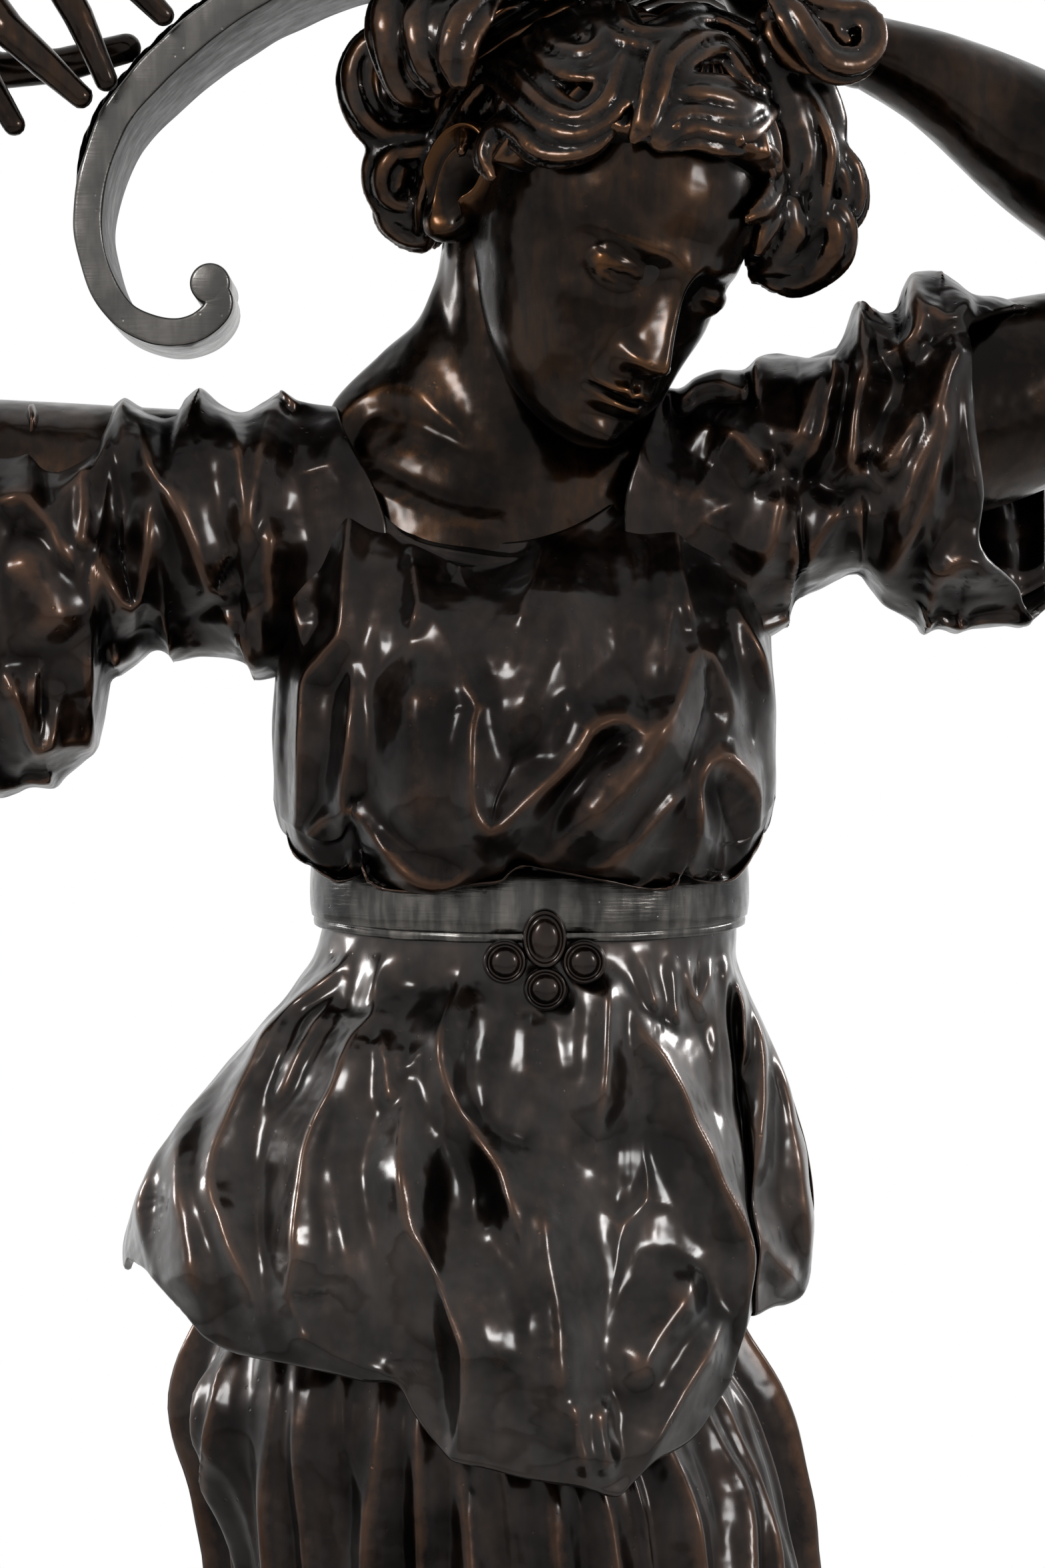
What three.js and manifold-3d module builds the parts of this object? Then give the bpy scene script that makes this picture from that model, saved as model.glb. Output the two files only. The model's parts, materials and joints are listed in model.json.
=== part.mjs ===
// A figural torchere: a bronze woman in a belted dress stands on a round socle and steadies a heavy
// scroll on her head with both hands. The scroll carries a torch light with an open glass shade.
// Millimetres, +Z up. She faces -Y, so +X is the viewer's right. The origin is the centre of the
// underside of the slab. Heights of the figure are counted from the soles of her feet.
import * as THREE from "three";
import { mergeVertices } from "three/addons/utils/BufferGeometryUtils.js";
import Module from "manifold-3d";

const wasm = await Module();
wasm.setup();

// General sizes
const GAP = 0.3; // bedding clearance between two castings
const WALL = 5; // wall of the large castings
const THIN_WALL = 4; // wall of sleeves, arms and the overfold
const FULL_TURN = 2 * Math.PI;

// Base
const SLAB_WIDTH = 430;
const SLAB_HEIGHT = 36;
const SLAB_CORNER = 44; // length of each canted corner along the side
const SLAB_EDGE = 4; // chamfer round the top and the bottom
const SOCLE_RADIUS = 192;
const SOCLE_HEIGHT = 62;
const SOCLE_WALL = 9;
const GROUND_RADIUS = 176;
const GROUND_HEIGHT = 22;
const GLAND_RADIUS = 9;
const GLAND_LENGTH = 26;

// The wire tube, which stands on one vertical line from the socle to the light
const AXIS_X = 10;
const AXIS_Y = 10;
const TUBE_RADIUS = 6.5;
const TUBE_BORE = 4.5;

// The tie rod that pulls skirt and base together
const ROD_X = -26;
const ROD_Y = 14;
const ROD_RADIUS = 7;
const WASHER_RADIUS = 17;
const WASHER_HEIGHT = 3;
const NUT_RADIUS = 13;
const NUT_HEIGHT = 9;

// Dress: waist ellipse, and the levels that meet inside the belt
const WAIST_X = 3;
const WAIST_HALF_WIDTH = 89;
const WAIST_HALF_DEPTH = 72;
const WAIST_SEAM = 878; // where overfold and bodice meet
const WAIST_DIP = 6; // how far the front of the waist hangs below its sides
const BELT_HEIGHT = 22;
const BELT_DROP = 3; // belt below the seam at its lower edge
const BELT_THICKNESS = 4;
const PLATE_HEIGHT = 6;
const SKIRT_TOP = 852;
const HEM_X = -20; // centre of the hips, from which the hem of the overfold is measured
const HEM_DEPTH_SHARE = 0.9; // hips are this much shallower than wide

// Belt rosette: one oval boss over three round ones
const BOSS_RADIUS = 8;
const BOSS_HEIGHT = 5;
const OVAL_STRETCH = 1.22;
const ROSETTE_X = 9.5;
const ROSETTE_Z = 861;
const ROSETTE_SPREAD = 15.5; // from the centre to the middle of each boss

// Head
const HEAD_X = 34;
const HEAD_Y = -20;
const HEAD_Z = 1172;
const HEAD_HALF_WIDTH = 56;
const HEAD_HALF_DEPTH = 69;
const HEAD_HALF_HEIGHT = 82;
const HEAD_YAW = 31; // degrees, towards the viewer's right
const HEAD_PITCH = 27; // degrees, looking down
const HEAD_ROLL = 14; // degrees, crown towards the viewer's right
const SKULL_WALL = 7;
const HAIR_DEPTH = 17;

// Scroll
const SCROLL_FRONT = -50; // the plane of its front face
const SADDLE_RADIUS = 34;
const PAD_RADIUS = 44;
const PAD_HEIGHT = 20;
const PAD_BOTTOM = 1268;

// Torch light, stacked on the wire tube's line
const STEM_FOOT_HEIGHT = 34;
const STEM_FOOT_RADIUS = 40;
const STEM_HEIGHT = 150;
const TORCH_SIDES = 24; // facets of the cup and of the gallery inside it
const CUP_HEIGHT = 66;
const CUP_RADIUS = 58;
const CUP_WALL = 4;
const CUP_FLOOR = 14;
const GALLERY_RADIUS = 50;
const GALLERY_HEIGHT = 20;
const SHADE_FITTER_RADIUS = 43;
const SHADE_TOP_RADIUS = 92;
const SHADE_HEIGHT = 168;
const SHADE_WALL = 3;
const HOLDER_RADIUS = 17;
const HOLDER_HEIGHT = 46;
const HOLDER_WALL = 2.5;
const KEY_RADIUS = 2.2;
const KEY_OUTSIDE = 9; // how far the key stands out of the cup
const BULB_RADIUS = 24;
const BULB_LENGTH = 72;
const SCREW_RADIUS = 2.5;

const SOLE = SLAB_HEIGHT + SOCLE_HEIGHT + GROUND_HEIGHT;

// Materials
function paint(color, roughness, metalness, opacity = 1) {
  return new THREE.MeshStandardMaterial({ color, roughness, metalness, opacity, transparent: opacity < 1 });
}
const BRONZE = paint("#2a1f18", 0.35, 0.85);
const SKIN_BRONZE = paint("#38261a", 0.3, 0.85);
const SCROLL_BRONZE = paint("#2f2c29", 0.45, 0.85);
const STONE = paint("#2d2b2a", 0.3, 0.0);
const STEEL = paint("#8d8f91", 0.4, 1.0);
const BRASS = paint("#a8843f", 0.35, 1.0);
const FROSTED = paint("#efe6d2", 0.6, 0.0, 0.6);
const CLEAR = paint("#f4f1ea", 0.1, 0.0, 0.4);

const root = new THREE.Group();
const figure = new THREE.Group();
figure.position.z = SOLE;
const torch = new THREE.Group();
root.add(figure, torch);

const radians = (degrees) => (degrees * Math.PI) / 180;
const vector = (x, y, z) => new THREE.Vector3(x, y, z);
const smooth = (t) => t * t * (3 - 2 * t);

function place(group, name, geometry, material, position = [0, 0, 0]) {
  const mesh = new THREE.Mesh(geometry, material);
  mesh.name = name;
  mesh.position.set(...position);
  group.add(mesh);
  return mesh;
}

// Solids

function solidOf(geometry) {
  const bare = geometry.clone();
  bare.deleteAttribute("normal");
  bare.deleteAttribute("uv");
  const merged = mergeVertices(bare, 1e-4);
  return new wasm.Manifold(
    new wasm.Mesh({
      numProp: 3,
      vertProperties: new Float32Array(merged.attributes.position.array),
      triVerts: new Uint32Array(merged.index.array),
    }),
  );
}

function geometryOf(solid) {
  const mesh = solid.getMesh();
  const geometry = new THREE.BufferGeometry();
  geometry.setAttribute("position", new THREE.BufferAttribute(new Float32Array(mesh.vertProperties), 3));
  geometry.setIndex(new THREE.BufferAttribute(new Uint32Array(mesh.triVerts), 1));
  return geometry;
}

// Largest piece of a cut solid, so that slivers beyond a cut are dropped.
function mainPieceOf(solid) {
  return solid.decompose().reduce((best, piece) => (piece.volume() > best.volume() ? piece : best));
}

const cut = (solid, ...tools) => mainPieceOf(tools.reduce((left, tool) => left.subtract(tool), solid));

function join(...solids) {
  return solids.reduce((whole, part) => whole.add(part));
}

// Surface over a list of rings with the same number of points. The rings are joined in order, and the
// last one either to the first again (a shell) or each end to its own middle point (a filled body).
function ringSurface(rings, asShell) {
  const around = rings[0].length;
  const points = rings.flat();
  const triangles = [];
  const bands = asShell ? rings.length : rings.length - 1;
  for (let row = 0; row < bands; row++) {
    const low = row * around;
    const high = ((row + 1) % rings.length) * around;
    for (let k = 0; k < around; k++) {
      const next = (k + 1) % around;
      triangles.push(low + k, low + next, high + next, low + k, high + next, high + k);
    }
  }
  if (!asShell) {
    const middle = (ring) => ring.reduce((sum, p) => sum.add(p), vector(0, 0, 0)).divideScalar(around);
    const last = (rings.length - 1) * around;
    points.push(middle(rings[0]), middle(rings.at(-1)));
    for (let k = 0; k < around; k++) {
      const next = (k + 1) % around;
      triangles.push(points.length - 2, next, k, points.length - 1, last + k, last + next);
    }
  }
  const geometry = new THREE.BufferGeometry();
  geometry.setAttribute("position", new THREE.Float32BufferAttribute(points.flatMap((p) => p.toArray()), 3));
  geometry.setIndex(triangles);
  const solid = solidOf(geometry);
  if (solid.volume() > 0) return solid;
  geometry.setIndex(triangles.reverse());
  return solidOf(geometry);
}

const shellOf = (outer, inner) => ringSurface([...outer, ...[...inner].reverse()], true);
const filledOf = (rings) => ringSurface(rings, false);

// Row of numbers at level t in a table whose rows start with their level, on a smooth curve through them.
function rowAt(table, t) {
  const last = table.length - 2;
  let k = table.findIndex((row, index) => index > 0 && t <= row[0]) - 1;
  if (k < 0) k = t < table[0][0] ? 0 : last;
  const share = (t - table[k][0]) / (table[k + 1][0] - table[k][0]);
  const before = table[Math.max(k - 1, 0)];
  const after = table[Math.min(k + 2, table.length - 1)];
  return table[k].map((value, column) => {
    const step = table[k + 1][0] - table[k][0];
    const slopeIn = ((table[k + 1][column] - before[column]) / (table[k + 1][0] - before[0])) * step;
    const slopeOut = ((after[column] - value) / (after[0] - table[k][0])) * step;
    const s2 = share * share;
    const s3 = s2 * share;
    return (
      (2 * s3 - 3 * s2 + 1) * value +
      (s3 - 2 * s2 + share) * slopeIn +
      (3 * s2 - 2 * s3) * table[k + 1][column] +
      (s3 - s2) * slopeOut
    );
  });
}

const steps = (count, from = 0, to = 1) =>
  Array.from({ length: count + 1 }, (_, index) => from + ((to - from) * index) / count);

const turnOf = (count, pointAt) => Array.from({ length: count }, (_, k) => pointAt((FULL_TURN * k) / count));

function lathe(profile, segments = 40) {
  const points = profile.map(([radius, height]) => new THREE.Vector2(radius, height));
  return new THREE.LatheGeometry(points, segments).rotateX(Math.PI / 2);
}

function cylinder(radius, height, segments = 32) {
  const geometry = new THREE.CylinderGeometry(radius, radius, height, segments);
  return geometry.rotateX(Math.PI / 2).translate(0, 0, height / 2);
}

const tube = (radius, bore, height, segments = 24) =>
  lathe([[bore, 0], [radius, 0], [radius, height], [bore, height], [bore, 0]], segments);

const moved = (geometry, x, y, z) => geometry.translate(x, y, z);

// A limb: rings of the given radii square to a smooth path through the points. Each stop is
// [x, y, z, radius, second radius]: the second one is measured along the limb's flat way.
function limbRings(stops, count, sides, flatWay, shrink = 0) {
  const path = new THREE.CatmullRomCurve3(stops.map(([x, y, z]) => vector(x, y, z)), false, "centripetal");
  const radii = stops.map((stop, index) => [index / (stops.length - 1), stop[3], stop[4] ?? stop[3]]);
  return steps(count).map((t) => {
    const centre = path.getPoint(t);
    const tangent = path.getTangent(t);
    const across = vector(0, 0, 0).crossVectors(tangent, flatWay).normalize();
    const flat = vector(0, 0, 0).crossVectors(across, tangent).normalize();
    const [, radius, second] = rowAt(radii, t);
    return turnOf(sides, (angle) =>
      centre
        .clone()
        .addScaledVector(across, (radius - shrink) * Math.cos(angle))
        .addScaledVector(flat, (second - shrink) * Math.sin(angle)),
    );
  });
}

// Base

const slabOutline = (inset) => {
  const half = SLAB_WIDTH / 2 - inset;
  const corner = SLAB_CORNER - inset * 0.6;
  const shape = [[half, half - corner], [half - corner, half]];
  return [0, 1, 2, 3].flatMap((quarter) =>
    shape.map(([x, y]) => vector(x, y, 0).applyAxisAngle(vector(0, 0, 1), (quarter * Math.PI) / 2)),
  );
};
const slabRing = (inset, height) => slabOutline(inset).map((p) => p.setZ(height));
place(
  root,
  "plinth_slab",
  geometryOf(
    filledOf([
      slabRing(SLAB_EDGE, 0),
      slabRing(0, SLAB_EDGE),
      slabRing(0, SLAB_HEIGHT - SLAB_EDGE),
      slabRing(SLAB_EDGE, SLAB_HEIGHT),
    ]),
  ),
  STONE,
);

// The socle is a hollow drum: torus foot, hollow neck, upper moulding and a closed top.
const socleProfile = [
  [SOCLE_RADIUS - SOCLE_WALL, 0],
  [SOCLE_RADIUS - 2, 0],
  [SOCLE_RADIUS, 4],
  [SOCLE_RADIUS, 12],
  [SOCLE_RADIUS - 4, 16],
  [SOCLE_RADIUS - 9, 18],
  [SOCLE_RADIUS - 15, 27],
  [SOCLE_RADIUS - 16, 38],
  [SOCLE_RADIUS - 11, 46],
  [SOCLE_RADIUS - 8, 49],
  [SOCLE_RADIUS - 8, SOCLE_HEIGHT - 3],
  [SOCLE_RADIUS - 11, SOCLE_HEIGHT],
  [0, SOCLE_HEIGHT],
  [0, SOCLE_HEIGHT - SOCLE_WALL],
  [SOCLE_RADIUS - 16 - SOCLE_WALL, SOCLE_HEIGHT - SOCLE_WALL],
  [SOCLE_RADIUS - 16 - SOCLE_WALL, 14],
  [SOCLE_RADIUS - SOCLE_WALL, 10],
  [SOCLE_RADIUS - SOCLE_WALL, 0],
];
const drillThrough = (x, y, radius, low, high) => solidOf(moved(cylinder(radius, high - low, 16), x, y, low));
const socleNeck = SOCLE_RADIUS - 16;
const alongBack = (radius, from, length) =>
  solidOf(cylinder(radius, length, 20).rotateX(-Math.PI / 2).translate(0, from, SOCLE_HEIGHT / 2));
const glandHole = join(
  alongBack(GLAND_RADIUS * 0.6 + GAP, SOCLE_RADIUS - 50, 60),
  alongBack(GLAND_RADIUS + GAP, socleNeck, 30),
);
place(
  root,
  "socle",
  geometryOf(
    cut(
      solidOf(lathe(socleProfile, 28)),
      drillThrough(AXIS_X, AXIS_Y, TUBE_RADIUS + GAP, 0, SOCLE_HEIGHT + 1),
      drillThrough(ROD_X, ROD_Y, ROD_RADIUS + GAP, 0, SOCLE_HEIGHT + 1),
      glandHole,
    ),
  ),
  BRONZE,
  [0, 0, SLAB_HEIGHT],
);

// The ground under her feet is a low mound with an uneven edge.
const groundRing = (radius, height) =>
  turnOf(28, (angle) => {
    const edge = radius * (1 + 0.012 * Math.sin(5 * angle) + 0.008 * Math.cos(9 * angle));
    return vector(edge * Math.sin(angle), -edge * Math.cos(angle), height);
  });
place(
  root,
  "ground_plate",
  geometryOf(
    cut(
      filledOf([
        groundRing(GROUND_RADIUS, 0),
        groundRing(GROUND_RADIUS - 1, 9),
        groundRing(GROUND_RADIUS - 9, 17),
        groundRing(GROUND_RADIUS - 22, GROUND_HEIGHT),
      ]),
      drillThrough(AXIS_X, AXIS_Y, TUBE_RADIUS + GAP, -1, GROUND_HEIGHT + 1),
      drillThrough(ROD_X, ROD_Y, ROD_RADIUS + GAP, -1, GROUND_HEIGHT + 1),
    ),
  ),
  BRONZE,
  [0, 0, SLAB_HEIGHT + SOCLE_HEIGHT],
);

// Cable gland in the back of the socle: a tube with a collar outside and a lock ring inside.
place(
  root,
  "cable_gland",
  lathe(
    [
      [GLAND_RADIUS * 0.35, -GLAND_LENGTH / 2],
      [GLAND_RADIUS * 0.6, -GLAND_LENGTH / 2],
      [GLAND_RADIUS * 0.6, GAP],
      [GLAND_RADIUS, GAP],
      [GLAND_RADIUS, 6],
      [GLAND_RADIUS * 0.6, GLAND_LENGTH / 2 - 2],
      [GLAND_RADIUS * 0.35, GLAND_LENGTH / 2 - 2],
      [GLAND_RADIUS * 0.35, -GLAND_LENGTH / 2],
    ],
    20,
  ).rotateX(-Math.PI / 2),
  BRASS,
  [0, socleNeck, SLAB_HEIGHT + SOCLE_HEIGHT / 2],
);

// Skirt: rows of height, centre x, centre y, half width, half depth
const SKIRT = [
  [0, 20, 6, 150, 118],
  [130, 20, 4, 138, 110],
  [280, 18, 0, 127, 102],
  [440, 12, 0, 122, 98],
  [600, -4, 0, 122, 98],
  [640, -13, 0, 123, 98],
  [670, -21, 0, 122, 97],
  [700, -24, 0, 106, 90],
  [740, -16, 0, 96, 82],
  [SKIRT_TOP - 60, -8, 0, WAIST_HALF_WIDTH + 5, WAIST_HALF_DEPTH + 3],
  [SKIRT_TOP, WAIST_X, 0, WAIST_HALF_WIDTH - 9, WAIST_HALF_DEPTH - 9],
];
const SKIRT_PLEATS = 16;
const SKIRT_AROUND = 48;
const SKIRT_PLEAT_DEPTH = 7;
function skirtRing(height, inset) {
  const [, x, y, a, b] = rowAt(SKIRT, height);
  const depth = SKIRT_PLEAT_DEPTH * smooth(Math.min(1, (SKIRT_TOP - height) / 320));
  return turnOf(SKIRT_AROUND, (angle) => {
    const pleat = depth * (Math.cos(SKIRT_PLEATS * angle) - 0.4) - inset;
    return vector(x + (a + pleat) * Math.sin(angle), y - (b + pleat) * Math.cos(angle), height);
  });
}
const skirtHeights = [0, 90, 280, 480, 600, 670, 705, 770, SKIRT_TOP];
const skirtOuter = skirtHeights.map((height) => skirtRing(height, 0));
const skirtInner = skirtHeights.map((height) => skirtRing(height, WALL));
const skirtSpace = filledOf([skirtRing(-2, -GAP), ...skirtHeights.map((height) => skirtRing(height, -GAP))]);
place(figure, "skirt", geometryOf(shellOf(skirtOuter, skirtInner)), BRONZE);

// Feet: only their front halves come out from under the hem.
function foot(name, heel, toe, width) {
  const sole = vector(...heel);
  const way = vector(...toe).sub(sole);
  const side = vector(-way.y, way.x, 0).normalize();
  const rows = [
    [0, 0.72, 30],
    [0.35, 0.86, 27],
    [0.62, 1, 20],
    [0.85, 0.94, 13],
    [1, 0.55, 9],
  ];
  const rings = rows.map(([share, wide, high]) =>
    turnOf(12, (angle) => {
      const across = (width / 2) * wide * Math.cos(angle);
      const up = Math.max(0, Math.sin(angle)) * high;
      return sole.clone().addScaledVector(way, share).addScaledVector(side, across).setZ(GAP + up);
    }),
  );
  place(figure, name, geometryOf(cut(filledOf(rings), skirtSpace)), SKIN_BRONZE);
}
foot("right_foot", [-52, -40, 0], [-66, -142, 0], 58);
foot("left_foot", [72, -45, 0], [98, -146, 0], 56);

// Overfold (peplum). Hem rows: angle in degrees from the front towards the viewer's right,
// radius from the hip centre, height.
const HEM = [
  [-180, 122, 728],
  [-160, 133, 716],
  [-140, 137, 724],
  [-120, 146, 719],
  [-102, 152, 733],
  [-85, 154, 729],
  [-70, 151, 728],
  [-55, 148, 713],
  [-40, 141, 700],
  [-28, 140, 697],
  [-16, 136, 690],
  [-8, 122, 667],
  [0, 138, 659],
  [12, 140, 653],
  [24, 144, 647],
  [36, 138, 662],
  [50, 134, 680],
  [65, 130, 710],
  [75, 116, 711],
  [88, 143, 718],
  [100, 150, 750],
  [120, 137, 741],
  [140, 139, 722],
  [160, 128, 731],
  [180, 122, 728],
];
const OVERFOLD_AROUND = 48;
const OVERFOLD_COLLAR = 0.03; // share of its length that stands straight inside the belt
const waistTop = (angle) => -WAIST_DIP * Math.cos(angle);
function overfoldRing(t, inset) {
  const flare = Math.max(0, (t - OVERFOLD_COLLAR) / (1 - OVERFOLD_COLLAR));
  const ease = Math.sin((Math.PI / 2) * flare) ** 1.35;
  return turnOf(OVERFOLD_AROUND, (angle) => {
    const degrees = (((angle * 180) / Math.PI + 180) % 360) - 180;
    const [, radius, hem] = rowAt(HEM, degrees);
    const seam = WAIST_SEAM + waistTop(angle);
    const a = WAIST_HALF_WIDTH + (radius - WAIST_HALF_WIDTH) * ease - inset;
    const b = WAIST_HALF_DEPTH + (radius * HEM_DEPTH_SHARE - WAIST_HALF_DEPTH) * ease - inset;
    const x = WAIST_X + (HEM_X - WAIST_X) * ease;
    return vector(x + a * Math.sin(angle), -b * Math.cos(angle), seam + (hem - seam) * t);
  });
}
const overfoldLevels = [0, OVERFOLD_COLLAR, 0.14, 0.32, 0.54, 0.77, 1];
const overfoldOuter = overfoldLevels.map((t) => overfoldRing(t, 0));
const overfoldInner = overfoldLevels.map((t) => overfoldRing(t, THIN_WALL));
place(figure, "peplum", geometryOf(shellOf(overfoldOuter, overfoldInner)), BRONZE);

// Waist plate: closes the top of the skirt inside the overfold, and takes the tie rod and the wire tube.
const ellipseRing = (a, b, height, count = 32) =>
  turnOf(count, (angle) => vector(WAIST_X + a * Math.sin(angle), -b * Math.cos(angle), height));
const plateHalfWidth = WAIST_HALF_WIDTH - THIN_WALL - GAP;
const plateHalfDepth = WAIST_HALF_DEPTH - THIN_WALL - GAP;
const plateBottom = SKIRT_TOP + GAP;
place(
  figure,
  "waist_plate",
  geometryOf(
    cut(
      filledOf([
        ellipseRing(plateHalfWidth - 1, plateHalfDepth - 1, plateBottom),
        ellipseRing(plateHalfWidth - 1, plateHalfDepth - 1, plateBottom + PLATE_HEIGHT),
      ]),
      drillThrough(AXIS_X, AXIS_Y, TUBE_RADIUS + GAP, plateBottom - 5, plateBottom + 20),
      drillThrough(ROD_X, ROD_Y, ROD_RADIUS + GAP, plateBottom - 5, plateBottom + 20),
    ),
  ),
  STEEL,
);

// Bodice rows: step along the profile, side height, front drop, back rise, centre x, centre y,
// half width, half depth. It starts inside the belt, bulges over it and ends at the neckline.
const beltTop = WAIST_SEAM - BELT_DROP + BELT_HEIGHT;
const tuckedHalfWidth = WAIST_HALF_WIDTH - GAP;
const tuckedHalfDepth = WAIST_HALF_DEPTH - GAP;
const lipHalfWidth = WAIST_HALF_WIDTH + BELT_THICKNESS + 9;
const lipHalfDepth = WAIST_HALF_DEPTH + BELT_THICKNESS + 11;
const BODICE = [
  [0, WAIST_SEAM + GAP, WAIST_DIP, WAIST_DIP, WAIST_X, 0, tuckedHalfWidth, tuckedHalfDepth],
  [1, beltTop + BELT_THICKNESS, WAIST_DIP, WAIST_DIP, WAIST_X, 0, tuckedHalfWidth, tuckedHalfDepth],
  [2, beltTop - 2, WAIST_DIP + 4, 4, WAIST_X, -1, lipHalfWidth, lipHalfDepth],
  [3, 908, 6, 0, 1, -2, 109, 97],
  [4, 960, 4, 0, 1, -3, 110, 98],
  [5, 1006, 5, 0, 1, -2, 107, 89],
  [6, 1048, 8, 0, 0, 0, 104, 79],
  [7, 1083, 38, -4, -4, 3, 93, 64],
  [8, 1101, 64, -14, -9, 6, 68, 50],
];
const bodiceSteps = BODICE.map((_, step) => step);
const insideSteps = bodiceSteps.filter((step) => BODICE[step][6] !== lipHalfWidth); // no lip on the inside
const BODICE_AROUND = 36;
function bodiceRing(step, inset) {
  const [, side, drop, rise, x, y, a, b] = BODICE[step];
  const lift = step === 1 && inset > 0 ? inset : 0;
  return turnOf(BODICE_AROUND, (angle) => {
    const front = ((1 + Math.cos(angle)) / 2) ** 2;
    const back = ((1 - Math.cos(angle)) / 2) ** 2;
    return vector(
      x + (a - inset) * Math.sin(angle),
      y - (b - inset) * Math.cos(angle),
      side + lift - drop * front + rise * back,
    );
  });
}
const NECKLINE_WALL = 2.5;
const bodiceWall = (step) => (step === BODICE.length - 1 ? NECKLINE_WALL : WALL);
const bodiceOuter = bodiceSteps.map((step) => bodiceRing(step, 0));
const bodiceInner = insideSteps.map((step) => bodiceRing(step, bodiceWall(step)));
place(figure, "bodice", geometryOf(shellOf(bodiceOuter, bodiceInner)), BRONZE);
// What the sleeves and the chest are fitted to: the bodice without its tuck, a gap larger.
const bodiceSpace = filledOf(bodiceSteps.slice(2).map((step) => bodiceRing(step, -GAP)));

// Belt: a closed band round the seam of overfold and bodice
const beltRing = (outset, height) =>
  turnOf(40, (angle) =>
    vector(
      WAIST_X + (WAIST_HALF_WIDTH + outset) * Math.sin(angle),
      -(WAIST_HALF_DEPTH + outset) * Math.cos(angle),
      WAIST_SEAM - BELT_DROP + height + waistTop(angle),
    ),
  );
const BELT_CROWN = 0.6; // how far its middle stands out over its edges
const beltFace = (grow) => [
  beltRing(BELT_THICKNESS + grow, -grow),
  beltRing(BELT_THICKNESS + BELT_CROWN + grow, BELT_HEIGHT / 2),
  beltRing(BELT_THICKNESS + grow, BELT_HEIGHT),
];
const beltSolid = shellOf(beltFace(0), [beltRing(GAP, 0), beltRing(GAP, BELT_HEIGHT)]);
place(figure, "belt", geometryOf(beltSolid), BRONZE);

// Belt rosette: bosses on a thin web, seated on the belt and the overfold below it
function boss(x, z, stretch) {
  const profile = [
    [0, -6],
    [BOSS_RADIUS, -6],
    [BOSS_RADIUS, 2],
    [BOSS_RADIUS - 1.5, BOSS_HEIGHT],
    [0, BOSS_HEIGHT],
  ];
  const dome = lathe(profile, 14);
  return solidOf(dome.rotateX(Math.PI / 2).scale(1, 1, stretch).translate(x, 0, z));
}
const rosetteBack = -(WAIST_HALF_DEPTH + BELT_THICKNESS + 3);
const rosetteWeb = solidOf(
  cylinder(ROSETTE_SPREAD * 0.75, 8, 16).rotateX(Math.PI / 2).translate(0, 6, 0),
);
const rosette = join(
  boss(0, ROSETTE_SPREAD, OVAL_STRETCH),
  boss(-ROSETTE_SPREAD, 0, 1),
  boss(ROSETTE_SPREAD, 0, 1),
  boss(0, -ROSETTE_SPREAD, 1),
  rosetteWeb,
).translate([ROSETTE_X, rosetteBack, ROSETTE_Z]);
place(
  figure,
  "belt_rosette",
  geometryOf(
    cut(
      rosette,
      filledOf(overfoldLevels.slice(0, 4).map((t) => overfoldRing(t, -GAP))),
      filledOf(beltFace(GAP)),
      bodiceSpace,
    ),
  ),
  BRONZE,
);

// Neck and upper chest rows: side height, front drop, back rise, centre x, centre y, half width, half depth
const chestInset = NECKLINE_WALL + GAP;
const NECK = [
  [1091, 64, -14, -9, 6, 68 - chestInset - 1, 50 - chestInset - 1],
  [1101, 64, -14, -9, 6, 68 - chestInset, 50 - chestInset],
  [1112, 42, -8, -6, 8, 53, 41],
  [1126, 17, 0, -4, 9, 42, 40],
  [1150, 3, 0, -2, 9, 38.5, 40],
  [1186, 0, 0, 0, 8, 37.5, 39],
];
function neckRing([side, drop, rise, x, y, a, b], inset) {
  return turnOf(20, (angle) => {
    const front = ((1 + Math.cos(angle)) / 2) ** 2;
    const back = ((1 - Math.cos(angle)) / 2) ** 2;
    return vector(
      x + (a - inset) * Math.sin(angle),
      y - (b - inset) * Math.cos(angle),
      side - drop * front + rise * back,
    );
  });
}
const neckSpace = filledOf(NECK.map((row) => neckRing(row, -GAP)));
place(
  figure,
  "neck_and_chest",
  geometryOf(
    shellOf(NECK.map((row) => neckRing(row, 0)), NECK.map((row) => neckRing(row, WALL))),
  ),
  SKIN_BRONZE,
);

// Head: rays from its centre. Locally she looks along -Y with her crown up.
const headPose = new THREE.Matrix4()
  .makeTranslation(HEAD_X, HEAD_Y, HEAD_Z)
  .multiply(new THREE.Matrix4().makeRotationZ(radians(HEAD_YAW)))
  .multiply(new THREE.Matrix4().makeRotationX(radians(HEAD_PITCH)))
  .multiply(new THREE.Matrix4().makeRotationY(radians(HEAD_ROLL)));
const hump = (ray, x, y, z, width) => {
  const middle = vector(x, y, z).normalize();
  return Math.exp(-(ray.distanceToSquared(middle) / (width * width)));
};
function headReach(ray) {
  const low = Math.max(0, -ray.z);
  const narrow = 1 - 0.2 * low * (ray.y < 0 ? 1 : 0.5);
  const a = HEAD_HALF_WIDTH * narrow;
  const b = HEAD_HALF_DEPTH * (ray.y > 0 ? 1 - 0.28 * low : 1 - 0.08 * low);
  const egg = 1 / Math.hypot(ray.x / a, ray.y / b, ray.z / HEAD_HALF_HEIGHT);
  const nose = 11 * hump(ray, 0, -1, -0.26, 0.16) + 5 * hump(ray, 0, -1, -0.05, 0.13);
  const chin = 4 * hump(ray, 0, -0.75, -1, 0.3);
  const sockets = -4 * (hump(ray, 0.33, -1, 0.02, 0.2) + hump(ray, -0.33, -1, 0.02, 0.2));
  return egg + nose + chin + sockets;
}
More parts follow.
